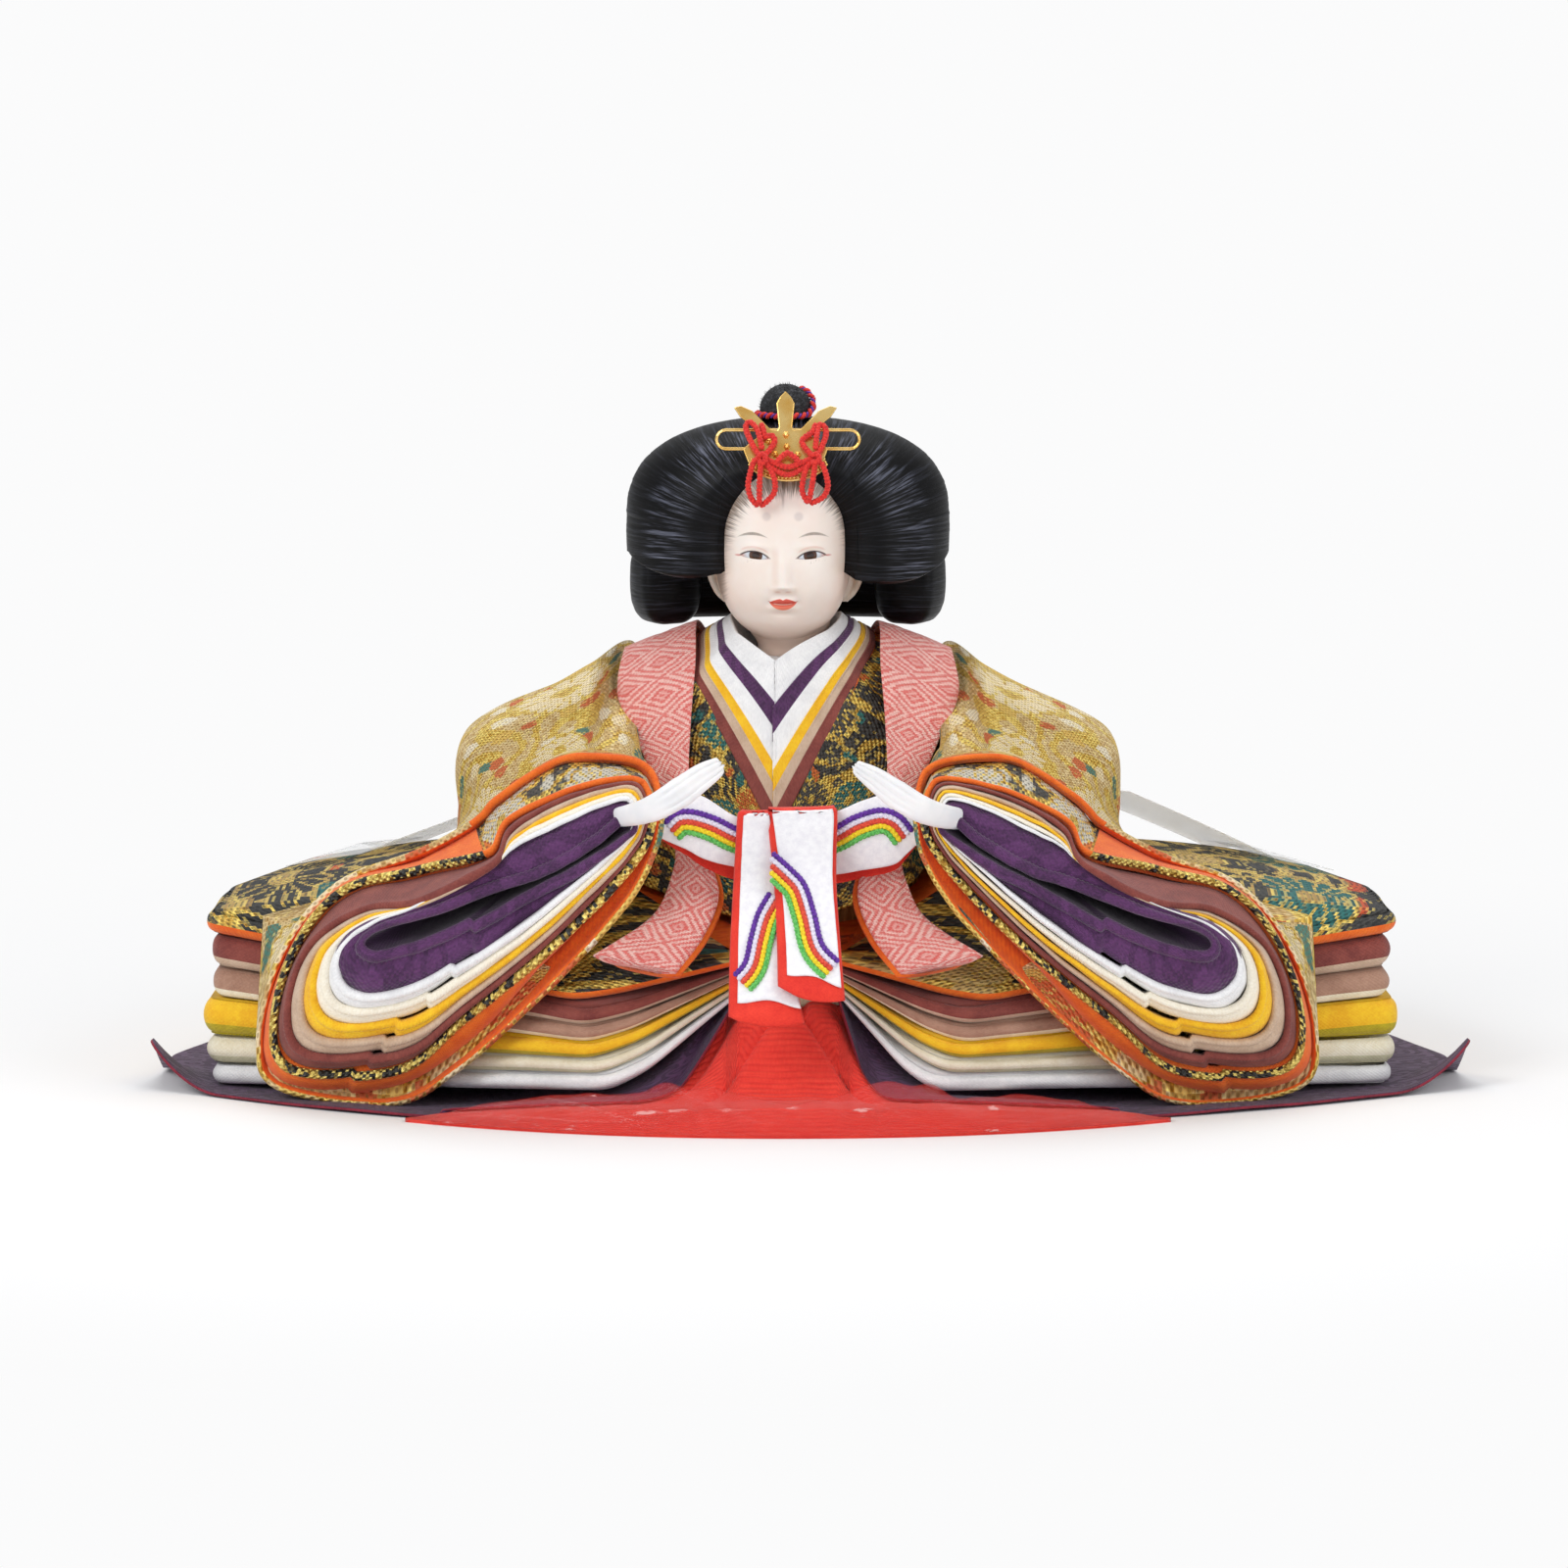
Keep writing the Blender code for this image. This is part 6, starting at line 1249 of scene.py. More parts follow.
for word, body_name in (("back", "bow_tail_back"), ("front", "bow_tail_front")):
    left, right = (curve_through(line, 90) for line in tail_lines[word][3:])
    lift = 0.0010 if word == "front" else 0.0002
    for layer, cloth in (("facing", satin), ("lining", red_silk)):
        rows = []
        for share in np.linspace(0, 1, 28):
            inset_left, inset_right = (0.0009, 0.0004) if layer == "facing" else (0.0, 0.0)
            grow = soft_step(np.linspace(0, 1, 90), 0.2, 1)
            start = left[:, 0] + inset_left * (1 + 0.9 * grow)
            end = right[:, 0] - inset_right
            across = start + (end - start) * share
            up = left[:, 1] + (right[:, 1] - left[:, 1]) * share
            bow_up = 0.0006 * math.sin(math.pi * share)
            if layer == "facing":
                cut = left[0, 1] - (left[0, 1] - up) * (0.925 - 0.028 * math.sin(math.pi * share) ** 2)
            else:
                cut = up - 0.0012 * math.sin(math.pi * share) * grow
            forward = tail_face(cut, word) - lift - bow_up
            forward = forward - (0.00115 if layer == "facing" else 0.0)
            forward = forward + 0.0024 * (1 - soft_step(np.linspace(0, 1, 90), 0.0, 0.035)) ** 2
            forward = forward + 0.00010 * waves(np.linspace(0, 1, 90) * 1.5 + share * 0.6, 433, 6, 1, 8)
            if layer == "lining":
                forward = forward + 0.0011 * abs(2 * share - 1) ** 6
            rows.append(np.stack([across, forward, cut], axis=-1))
        strip = skin("bow_tail_" + word + "_" + layer, rows, "figure", [cloth, red_silk])
        thickened(strip, 0.0005 if layer == "facing" else 0.0009, offset=1, lining=1)
        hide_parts(body_name)
        0.0115 if word == "back" else 0.0142
    line = curve_through(tail_cords[word], 80)
    ahead = np.gradient(line, axis=0)
    ahead /= np.linalg.norm(ahead, axis=1)[:, None]
    below = np.stack([ahead[:, 1], -ahead[:, 0]], axis=1)
    if word == "back":
        below = -below
    for index, cloth in enumerate(braid_cloths):
        shift = 0.0012 * index + 0.0003
        path = line + below * shift
        low_x, high_x = (-0.0038, 0.0128) if word == "front" else (-0.0133, 0.0022)
        path = path[(path[:, 0] > low_x - 0.0006) & (path[:, 0] < high_x)]
        forward = tail_face(path[:, 1], word) - lift - 0.00115 - 0.00125
        cord = plaited(
            "tail_cord_" + word + "_" + str(index), np.stack([path[:, 0], forward, path[:, 1]], axis=1),
            0.00063, "figure", cloth,
        )
        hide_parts("braid_tail_" + word)
knot_rows = []
for share in np.linspace(0, 1, 20):
    level = 0.0582 + 0.0128 * share
    place = np.linspace(-0.0064, 0.0064, 24)
    fold = 0.0004 * waves(place / 0.0128 + share * 0.2, 451, 5, 1, 6)
    knot_rows.append(np.stack([place, -0.0664 - fold + 0.0012 * (2 * share - 1) ** 4, np.full(24, level)], axis=-1))
knot = skin("bow_core", knot_rows, "figure", [satin])
thickened(knot, 0.0005)
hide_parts("bow_knot")


# Hands
# Slim hands of pale lacquer on the ends of the arm wire. Fine grooves part the fingers, which are
# held together, and the wrist goes back into the purple sleeve.
lacquer, paint = finish_of("hand_lacquer", Roughness=0.42, Specular_IOR_Level=0.5, Subsurface_Weight=0.12)
paint.tree.nodes["Principled BSDF"].inputs["Subsurface Radius"].default_value = (0.002, 0.0014, 0.001)
bloom = noise(paint, object_place(paint), 130.0, 3.0)
bloom.step(0.25, 0.75).mix(dye(234, 234, 236), dye(248, 246, 246)).feed("Base Color")
(bloom * 0.2 + 0.32).feed("Roughness")
relief(paint, noise(paint, object_place(paint), 900.0, 2.0), 0.15, 0.00005)
hand_path = np.array([
    (-0.455, -0.60, 0.712), (-0.40, -0.765, 0.728), (-0.325, -0.865, 0.758), (-0.26, -0.888, 0.797),
    (-0.205, -0.9, 0.838), (-0.162, -0.905, 0.866),
]) * 0.1
for side, word in ((1, "left"), (-1, "right")):
    centre = curve_through(hand_path, 110) * (side, 1, 1) + (0, 0, 0.0004 if side > 0 else 0)
    run = np.linspace(0, 1, 110)
    ahead = np.gradient(centre, axis=0)
    ahead /= np.linalg.norm(ahead, axis=1)[:, None]
    across = np.cross(ahead, (0, 1, 0))
    across /= np.linalg.norm(across, axis=1)[:, None]
    through = np.cross(across, ahead)
    through *= np.sign(-through[:, 1:2])
    if side < 0:
        across = -across
    wide = np.interp(run, (0, 0.2, 0.42, 0.62, 0.82, 0.93, 1), (0.0030, 0.0046, 0.0063, 0.0072, 0.0062, 0.0054, 0.0046))
    if side < 0:
        wide = wide * np.interp(run, (0, 0.4, 1), (1.25, 1.02, 0.8))
    thick = np.interp(run, (0, 0.3, 0.6, 0.85, 1), (0.0026, 0.0034, 0.0031, 0.0024, 0.0018))
    rows = []
    for angle in np.arange(72) / 72 * 2 * math.pi:
        flat, deep = math.cos(angle), math.sin(angle)
        flat, deep = (math.copysign(abs(part) ** 0.78, part) for part in (flat, deep))
        grooves = sum(math.exp(-(((flat - place) / 0.085) ** 2)) for place in (-0.5, 0.02, 0.52))
        cut = 0.00042 * grooves * soft_step(run, 0.42, 0.62) * (abs(deep) > 0.2)
        finger = math.cos((flat - 0.02) * math.pi / 0.5 + math.pi / 2 * 0)
        reach = soft_step(run, 0.8, 1.0) * (0.0010 * abs(math.sin((flat - 0.02) / 0.5 * math.pi)) - 0.0006 * flat - 0.0012 * (flat < -0.5))
        knuckle = 0.00022 * np.exp(-(((run - 0.55) / 0.05) ** 2)) * (deep > 0.2) * abs(math.sin((flat - 0.02) / 0.5 * math.pi))
        rows.append(
            centre + across * (wide * flat / 2)[:, None]
            + through * (deep * (thick / 2 - cut) + knuckle)[:, None] + ahead * reach[:, None]
        )
    rows = np.array(rows).transpose(1, 0, 2)
    tip = rows[-1].mean(axis=0) + ahead[-1] * 0.0002
    rows = np.concatenate([rows, [tip + (rows[-1] - tip) * 0.6 + ahead[-1] * 0.0003]])
    hand = outwards(skin("hand_form_" + word, rows, "hand_" + word, [lacquer], around=True), cap=True)
    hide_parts("hand_" + word)


# Painted face, ears, eyes and neck
# The head is a smooth form finished in many coats of powdered shell, with a small raised nose and
# lips. Brows, lips, forehead dots and fine hairs are painted on. The eyes are inset and polished.
face_middle, face_level, face_tall = -0.0011, 0.1333, 0.0253
face_wide, face_deep, head_middle = 0.0169, 0.0186, -0.0055


def face_relief(across, level):
    """How far the modelling stands forward of the plain egg: a sum of soft rounded swells and hollows."""

    def swell(height, x, z, wide, tall):
        return height * np.exp(-(((np.abs(across) - x) / wide) ** 2) - ((level - z) / tall) ** 2)

    ridge = np.clip((0.1335 - level) / 0.0110, 0, 1) ** 1.4
    below = 1 - soft_step(0.1226 - level, 0, 0.0021)
    nose = 0.0021 * ridge * below * np.exp(-((across / (0.0011 + 0.0009 * ridge)) ** 2))
    smile = 0.1187 - 0.0006 * np.clip(1 - (across / 0.0033) ** 2, 0, 1)
    lips = swell(0.0007, 0.0011, 0.1190, 0.0019, 0.0007) + swell(0.00075, 0, 0.1172, 0.0024, 0.0008)
    gap = -0.00045 * np.exp(-((across / 0.0030) ** 4) - ((level - smile) / 0.00022) ** 2)
    return (
        nose + lips + gap
        + swell(0.0006, 0.0019, 0.1220, 0.0009, 0.0009)
        + swell(-0.0006, 0.0069, 0.1301, 0.0036, 0.0019)
        + swell(0.00045, 0.0069, 0.1322, 0.0036, 0.0010)
        + swell(0.0008, 0.0086, 0.1206, 0.0046, 0.0045)
        + swell(-0.0004, 0.0036, 0.1186, 0.0008, 0.0010)
        + swell(-0.0004, 0, 0.1157, 0.0028, 0.0008)
        + swell(0.0008, 0, 0.1121, 0.0046, 0.0024)
        + swell(-0.00018, 0, 0.1203, 0.0006, 0.0009)
    )


def face_place(angle, level):
    """A point of the head at an angle, 0 to the right and -90 degrees in front, and a height."""
    rise = np.clip((level - face_level) / face_tall, -1, 1)
    spread = (1 - np.abs(rise) ** 2.6) ** (1 / 2.2)
    side, fore = np.cos(angle), np.sin(angle)
    side, fore = (np.sign(part) * np.abs(part) ** 0.93 for part in (side, fore))
    across = face_wide * spread * side
    front = np.clip(-fore, 0, 1) ** 1.5 * np.clip(spread * 3, 0, 1)
    along = head_middle + face_deep * spread * fore * np.where(fore < 0, 1, 0.98) - face_relief(across, level) * front
    return np.stack([across + face_middle, along, level + 0 * angle], axis=-1)


shell_coat, paint = finish_of("shell_white_face", Roughness=0.4, Specular_IOR_Level=0.5, Subsurface_Weight=0.15)
paint.tree.nodes["Principled BSDF"].inputs["Subsurface Radius"].default_value = (0.0022, 0.0012, 0.0008)
axes = paint.node("ShaderNodeSeparateXYZ", (), {0: paint.node("ShaderNodeTexCoord", (), (), 3)}).socket.node.outputs
x, y, z = (Shade(paint.tree, axis) for axis in axes)
x = x + 0.0012
far = x.size()
bloom = noise(paint, object_place(paint), 120.0, 3.0)
colour = bloom.step(0.3, 0.7).mix(dye(246, 232, 222), dye(250, 240, 232))
# Painted shade: warmer and darker under the chin and on the neck, more so towards the back.
under = 1 - (z + (y + 0.02) * -0.25).step(0.1075, 0.1150)
colour = (under * 0.55).mix(colour, dye(226, 186, 160))
# Painted shade towards the sides of the face, where it turns away.
edge = far.step(0.0105, 0.0160)
colour = (edge * 0.45).mix(colour, dye(226, 190, 164))
nose_shade = 1 - ((x + 0.0019) / 0.0011) ** 2
nose_side = (nose_shade.maths("MAXIMUM", nose_shade, 0.0)) * z.step(0.1210, 0.1232) * (1 - z.step(0.1300, 0.1335)) * 0.35
colour = nose_side.mix(colour, dye(232, 204, 188))
nostril = (far - 0.0013) / 0.0010
nostril_up = (z - 0.12135) / 0.00035
nostril = 1 - (nostril * nostril + nostril_up * nostril_up)
colour = (nostril.maths("MAXIMUM", nostril, 0.0) * 0.5).mix(colour, dye(206, 160, 140))
brow_part = (far - 0.0074) / 0.0037
brow_square = brow_part * brow_part
brow_line = 0.1355 - brow_square * 0.0010
brow_thick = 0.00034 - brow_square * 0.00034
brow = ((z - brow_line).size() - brow_thick) / 0.00012
brow = 1 - brow.step(-0.6, 0.8)
hair_fine = noise(paint, object_place(paint, (2600, 1, 700)), 1.0, 2.0)
colour = (brow * (hair_fine * 0.4 + 0.62) * (1 - brow_square * 0.4)).mix(colour, dye(146, 134, 122))
for centre in (-0.0040, 0.0038):
    dot_x = x - centre
    dot_z = z - 0.1397
    dot = (dot_x * dot_x + dot_z * dot_z) ** 0.5
    colour = ((1 - dot.step(0.0006, 0.0015)) * 0.55).mix(colour, dye(206, 194, 190))
lid_part = (far - 0.0069) / 0.0037
lid_square = lid_part * lid_part
lid_arch = (1 - lid_square).maths("MAXIMUM", 1 - lid_square, 0.0)
lid_line = lid_part * 0.0003 + 0.1298 + (lid_arch ** 0.85) * 0.00145
lid = ((z - lid_line).size() - 0.00006) / 0.00012
lid = (1 - lid.step(0.0, 1.0)) * (1 - lid_part.size().step(0.95, 1.1))
colour = (lid * 0.8).mix(colour, dye(70, 52, 46))
crease = ((z - lid_line - 0.0010).size() - 0.00005) / 0.0004
crease = (1 - crease.step(0.0, 1.0)) * (1 - lid_part.size().step(0.7, 1.0))
colour = (crease * 0.35).mix(colour, dye(222, 168, 152))
corner_x = (far - 0.0109) / 0.0010
corner_z = (z - 0.1301) / 0.00032
corner = 1 - (corner_x * corner_x + corner_z * corner_z)
colour = (corner.maths("MAXIMUM", corner, 0.0) * 0.8).mix(colour, dye(206, 112, 104))
lashes = hair_fine.step(0.56, 0.66) * far.step(0.0055, 0.0070) * (1 - far.step(0.0098, 0.0108))
lashes = lashes * z.step(0.1279, 0.1286) * (1 - z.step(0.1290, 0.1292))
colour = (lashes * 0.35).mix(colour, dye(130, 104, 92))
lip_part = x / 0.0034
lip_square = lip_part * lip_part
lip_arch = (1 - lip_square).maths("MAXIMUM", 1 - lip_square, 0.0)
notch = 1 - (lip_part / 0.22).size()
notch = notch.maths("MAXIMUM", notch, 0.0)
upper = lip_arch * 0.0010 + 0.1187 - notch * 0.0004
gap = 0.1187 - lip_arch * 0.0006
lower = 0.1187 - (lip_arch ** 0.8) * 0.0021
lips = ((upper - z) / 0.00012).step(0.0, 1.0) * ((z - lower) / 0.00022).step(0.0, 1.0) * (1 - lip_part.size().step(0.96, 1.02))
lip_tone = ((z - gap) / 0.0005).step(-2.6, 1.0).mix(dye(244, 128, 96), dye(214, 66, 46))
colour = (lips * 0.95).mix(colour, lip_tone)
seam = 1 - ((z - gap).size() / 0.00017).step(0.3, 1.0)
seam = seam * (1 - lip_part.size().step(0.55, 0.72))
colour = (seam * 0.85).mix(colour, dye(252, 222, 208))
corners = 1 - ((z - gap - 0.0002).size() / 0.00016).step(0.2, 1.0)
colour = (corners * lip_part.size().step(0.2, 0.4) * (1 - lip_part.size().step(1.02, 1.1)) * 0.75).mix(colour, dye(196, 40, 26))
reach_x = (x - 0.0011) / 0.0158
reach_z = (z - 0.1330) / 0.0135
reach_z = reach_z.maths("MAXIMUM", reach_z, 0.0)
reach = (reach_x * reach_x + reach_z * reach_z) ** 0.5
around_face = paint.node("ShaderNodeMath", {"operation": "ARCTAN2"}, {0: z - 0.1330, 1: x - 0.0011})
strand = paint.node("ShaderNodeCombineXYZ", (), {0: around_face * 36, 1: reach * 2.0, 2: 0.0})
strand = noise(paint, strand, 1.0, 3.0, 0.6)
hairs = (reach + (strand - 0.5) * 0.34).step(0.80, 1.0) * strand.step(0.35, 0.6)
hairs = hairs * z.step(0.1290, 0.1360)
colour = (hairs * 0.8).mix(colour, dye(74, 64, 56))
# Painted shadow: a thin brown band along the edge of the hair, running down beside the cheeks.
down = (reach + (strand - 0.5) * 0.2).step(0.90, 1.05) * 0.55
colour = down.mix(colour, dye(120, 96, 76))
peak_x = (x / 0.0005).size()
peak = (1 - peak_x.step(0.0, 1.0)) * z.step(0.1405, 0.1455)
colour = (peak * 0.6).mix(colour, dye(92, 80, 72))
colour.feed("Base Color")
(bloom * 0.12 + 0.34 - lips * 0.14).feed("Roughness")
relief(paint, noise(paint, object_place(paint), 1400.0, 2.0), 0.06, 0.00004)

turn = np.linspace(-math.pi, math.pi, 321)[:-1]
turn = turn + 0.42 * np.sin(turn) - math.pi / 2
levels = np.concatenate([
    face_level - face_tall * np.cos(np.linspace(0, 0.75, 26)),
    np.linspace(0.1150, 0.1240, 74), np.linspace(0.1242, 0.1350, 50),
    face_level + face_tall * np.sin(np.linspace(0.075, math.pi / 2, 50)),
])
angle, level = np.meshgrid(turn, levels)
face = outwards(skin("face_form", face_place(angle, level), "head", [shell_coat], around=True), cap=True)
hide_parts("head")
neck_path = np.stack([np.zeros(30), np.linspace(0.0002, -0.001, 30), np.linspace(0.1037, 0.1165, 30)], axis=1)
neck_radius = 0.0074 + 0.0030 * soft_step(neck_path[:, 2], 0.1060, 0.1120)
neck = tube(neck_path, neck_radius, 64)
neck_form = outwards(skin("neck_form", neck, "head", [shell_coat], around=True), cap=True)
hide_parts("head")
ear_coat, paint = finish_of("shell_white_ear", Roughness=0.42, Specular_IOR_Level=0.5, Subsurface_Weight=0.15)
axes = paint.node("ShaderNodeSeparateXYZ", (), {0: paint.node("ShaderNodeTexCoord", (), (), 3)}).socket.node.outputs
far = Shade(paint.tree, axes[0]).size()
concha_shade_and_bump = noise(paint, object_place(paint, (240, 240, 160)), 1.0, 2.0)
# Painted shade: light brown blotches over the inner ear, in the hollow of the concha.
tone = concha_shade_and_bump.step(0.4, 0.62) * (1 - far.step(0.0172, 0.0186))
tone.mix(dye(240, 220, 202), dye(216, 184, 158)).feed("Base Color")
relief(paint, concha_shade_and_bump, 0.3, 0.0003)
for side, word, lean in ((-1, "left", 0.0), (1, "right", -0.0011)):
    rows = []
    run = np.linspace(0, 1, 60)
    outer = curve_through([(0.0193, 0.1292), (0.0196, 0.1254), (0.0189, 0.1222), (0.0174, 0.1192), (0.0154, 0.1172)], 60)
    inner = curve_through([(0.0140, 0.1292), (0.0140, 0.1254), (0.0138, 0.1222), (0.0135, 0.1194), (0.0138, 0.1172)], 60)
    for share in np.linspace(0, 1, 30):
        plan = inner + (outer - inner) * share
        rim_lift = 0.0007 * math.exp(-(((share - 0.92) / 0.09) ** 2)) - 0.0008 * math.exp(-(((share - 0.62) / 0.16) ** 2))
        back = -0.0052 + 0.0042 * share - rim_lift * np.sin(math.pi * np.clip(run * 0.9 + 0.08, 0, 1)) ** 0.5
        rows.append(np.stack([side * (plan[:, 0] + lean), back, plan[:, 1]], axis=1))
    ear = thickened(skin("ear_" + word, rows, "head", [ear_coat]), 0.0011)
    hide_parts("head")

eye_glass, paint = finish_of("inset_eye", Roughness=0.08, Specular_IOR_Level=0.6)
axes = paint.node("ShaderNodeSeparateXYZ", (), {0: paint.node("ShaderNodeTexCoord", (), (), 3)}).socket.node.outputs
x, z = Shade(paint.tree, axes[0]) + 0.0012, Shade(paint.tree, axes[2])
far = x.size()
iris_x, iris_z = far - 0.0066, z - 0.1302
iris = (iris_x * iris_x + iris_z * iris_z) ** 0.5
fibre = noise(paint, object_place(paint, (3000, 3000, 3000)), 1.0, 2.0)
white = far.step(0.0085, 0.0103).mix(dye(214, 222, 230), dye(206, 160, 150))
white = (1 - far.step(0.0034, 0.0045)).mix(white, dye(200, 172, 166))
ring = (fibre * 0.6 + (1 - iris.step(0.0006, 0.0012)) * 0.8).mix(dye(92, 60, 44), dye(44, 26, 20))
colour = (1 - iris.step(0.00155, 0.00170)).mix(white, ring)
side_part = (far - 0.0069) / 0.0035
arch = 1 - side_part * side_part
arch = arch.maths("MAXIMUM", arch, 0.0)
lid = side_part * 0.0003 + 0.1298 + (arch ** 0.85) * 0.00145
colour = ((z - lid + 0.00042) / 0.0004).step(0.0, 1.0).mix(colour, dye(40, 28, 26))
colour.feed("Base Color")
relief(paint, fibre, 0.05, 0.00002)
for side, word in ((-1, "left"), (1, "right")):
    part = np.linspace(-1, 1, 61)
    arch = np.clip(1 - part**2, 0, 1)
    rows = []
    for share in np.linspace(0, 1, 21):
        foot = 0.1298 + 0.0003 * part - 0.0005 * arch**0.8
        head = 0.1298 + 0.0003 * part + 0.00145 * arch**0.85
        level = foot + (head - foot) * share
        across = 0.0069 + 0.0035 * part
        local = side * across - 0.0012 - face_middle
        turn = -math.pi / 2 + side * np.arcsin(np.clip(np.abs(local) / face_wide / (1 - np.abs((level - face_level) / face_tall) ** 2.6) ** (1 / 2.2), 0, 1) ** (1 / 0.93))
        along = face_place(turn, level)[:, 1]
        bulge = 0.00035 * arch**0.5 * math.sin(math.pi * share) + 0.00005
        rows.append(np.stack([side * across - 0.0012, along - bulge, level], axis=1))
    eye = thickened(skin("eye_form_" + word, rows if side > 0 else rows[::-1], "head", [eye_glass]), 0.0004, offset=-1)
    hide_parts("eye_" + word)


# Hair
# Fine black silk fibres are combed over a form and glued: a wide front mass with a crisp lower edge,
# a rear mass with a rounded lobe at each side, a long tied tail behind and a ball shaped knot on top.
def hair_cloth(name, mapping, dark=(4, 4, 6), light=(120, 124, 142)):
    """Combed fibres: streaks of two tones along the lines of a mapping, the lighter one a broken painted highlight."""
    made, paint = finish_of(name, Roughness=0.42, Specular_IOR_Level=0.16)
    place, ring = mapping(paint)
    fine = noise(paint, place, 1.0, 3.0, 0.65)
    coarse = noise(paint, place, 0.22, 2.0)
    # Painted highlight: light streaks along the fibres, brighter on the rings of the front mass.
    painted_highlight = fine.step(0.46, 0.70) * coarse.step(0.28, 0.62)
    if ring is not None:
        painted_highlight = painted_highlight * (0.12 + ring * 0.88)
    else:
        painted_highlight = painted_highlight * 0.35
    painted_highlight.mix(dye(*dark), dye(*light)).feed("Base Color")
    (0.52 - fine * 0.22).feed("Roughness")
    relief(paint, fine + coarse * 0.6, 0.75, 0.00022)
    return made


def wing_streaks(paint):
    """Lines that fan out from the face, with a painted highlight on a ring halfway to the edge and by the crown."""
    axes = paint.node("ShaderNodeSeparateXYZ", (), {0: paint.node("ShaderNodeTexCoord", (), (), 3)}).socket.node.outputs
    x, y, z = (Shade(paint.tree, axis) for axis in axes)
    low = (z - 0.1335).maths("MAXIMUM", z - 0.1335, 0.0)
    angle = paint.node("ShaderNodeMath", {"operation": "ARCTAN2"}, {0: low + 0.0004, 1: x})
    wide = x / 0.0158
    tall = low / 0.0135
    reach = (wide * wide + tall * tall) ** 0.5
    drop = (0.1335 - z).maths("MAXIMUM", 0.1335 - z, 0.0)
    place = paint.node("ShaderNodeCombineXYZ", (), {0: angle * 52 + drop * 1900, 1: reach * 1.1, 2: y * 60 + low * 90})
    # Painted highlight bands: a ring halfway to the edge and another by the crown.
    side = 1 - ((reach - 1.86) / 0.42).size().step(0.0, 1.0)
    top = 1 - ((reach - 2.12) / 0.20).size().step(0.0, 1.0)
    return place, side * 0.85 + top * 0.35


def long_streaks(paint):
    return object_place(paint, (1900, 1900, 40)), None


def lobe_streaks(paint):
    return object_place(paint, (90, 90, 1900)), None


wing_hair = hair_cloth("combed_front_hair", wing_streaks)
lobe_hair = hair_cloth("combed_rear_hair", lobe_streaks, light=(78, 81, 96))
long_hair = hair_cloth("long_hair", long_streaks, light=(60, 62, 72))
hair_half, hair_top, hair_front, hair_rear = 0.0396, 0.1621, 0.0235, 0.0270
hair_widest, hair_foot, window_half, window_rise = 0.13535, 0.1262, 0.0168, 0.0137
turn = np.linspace(-math.pi, math.pi, 721)[:-1]
turn = turn + 0.55 * np.sin(turn) - math.pi / 2
turn_side, turn_fore = np.cos(turn), np.sin(turn)
in_front = turn_fore < 0
at_window = np.clip((window_half + 0.0004 - np.abs(turn_side) * hair_half) / 0.0006, 0, 1) * in_front
edge_line = curve_through([
    (-0.0399, 0.1302), (-0.0375, 0.1275), (-0.0330, 0.1257), (-0.0280, 0.1249), (-0.0220, 0.1251), (-0.0165, 0.1258),
    (0, 0.1250), (0.0150, 0.1246), (0.0210, 0.1238), (0.0273, 0.1234), (0.0330, 0.1243), (0.0375, 0.1264), (0.0399, 0.1295),
], 300)
edge = np.interp(turn_side * hair_half, edge_line[:, 0], edge_line[:, 1])
edge = np.where(in_front, edge, 0.1290 + 0 * edge) * np.ones_like(turn)
edge = edge + 0.0002 * waves(turn / 6.3, 511, 6, 3, 19)
arch = 0.1330 + window_rise * np.sqrt(np.clip(1 - (turn_side * hair_half / window_half) ** 2, 0, 1))
foot = edge + (arch - edge) * at_window
rows = []
tall = hair_top - hair_widest


def dome_place(level):
    """The dome at one height for each angle: its spread is (1 - h^2.9)^0.45 above the widest line."""
    rise = np.clip((level - hair_widest) / tall, 0, 1)
    spread = np.maximum(1 - rise**2.9, 1e-9) ** 0.45
    below = np.clip((hair_widest - level) / (hair_widest - 0.1235), 0, 1)
    spread = spread * (1 - 0.015 * below**2)
    across = hair_half * turn_side * spread
    along = (hair_rear - hair_front) / 2 + (hair_rear + hair_front) / 2 * turn_fore * spread
    tall_reach = np.clip(level - 0.133, 0, 1) / window_rise
    reach = np.sqrt((across / window_half) ** 2 + tall_reach**2)
    roll = np.clip((1.5 - reach) / 0.5, 0, 1) ** 2 * (along < 0)
    centre = 0.0006 * np.exp(-((across / 0.0012) ** 2)) * (along < 0) * (level > 0.145)
    lock = 0.00018 * waves(np.arctan2(np.clip(level - 0.1335, 0, 1) + 0.0004, across) * 1.4, 523, 9, 3, 33)
    return np.stack([across * (1 + lock / 0.04), along + 0.0042 * roll + centre, level + 0 * across], axis=-1)


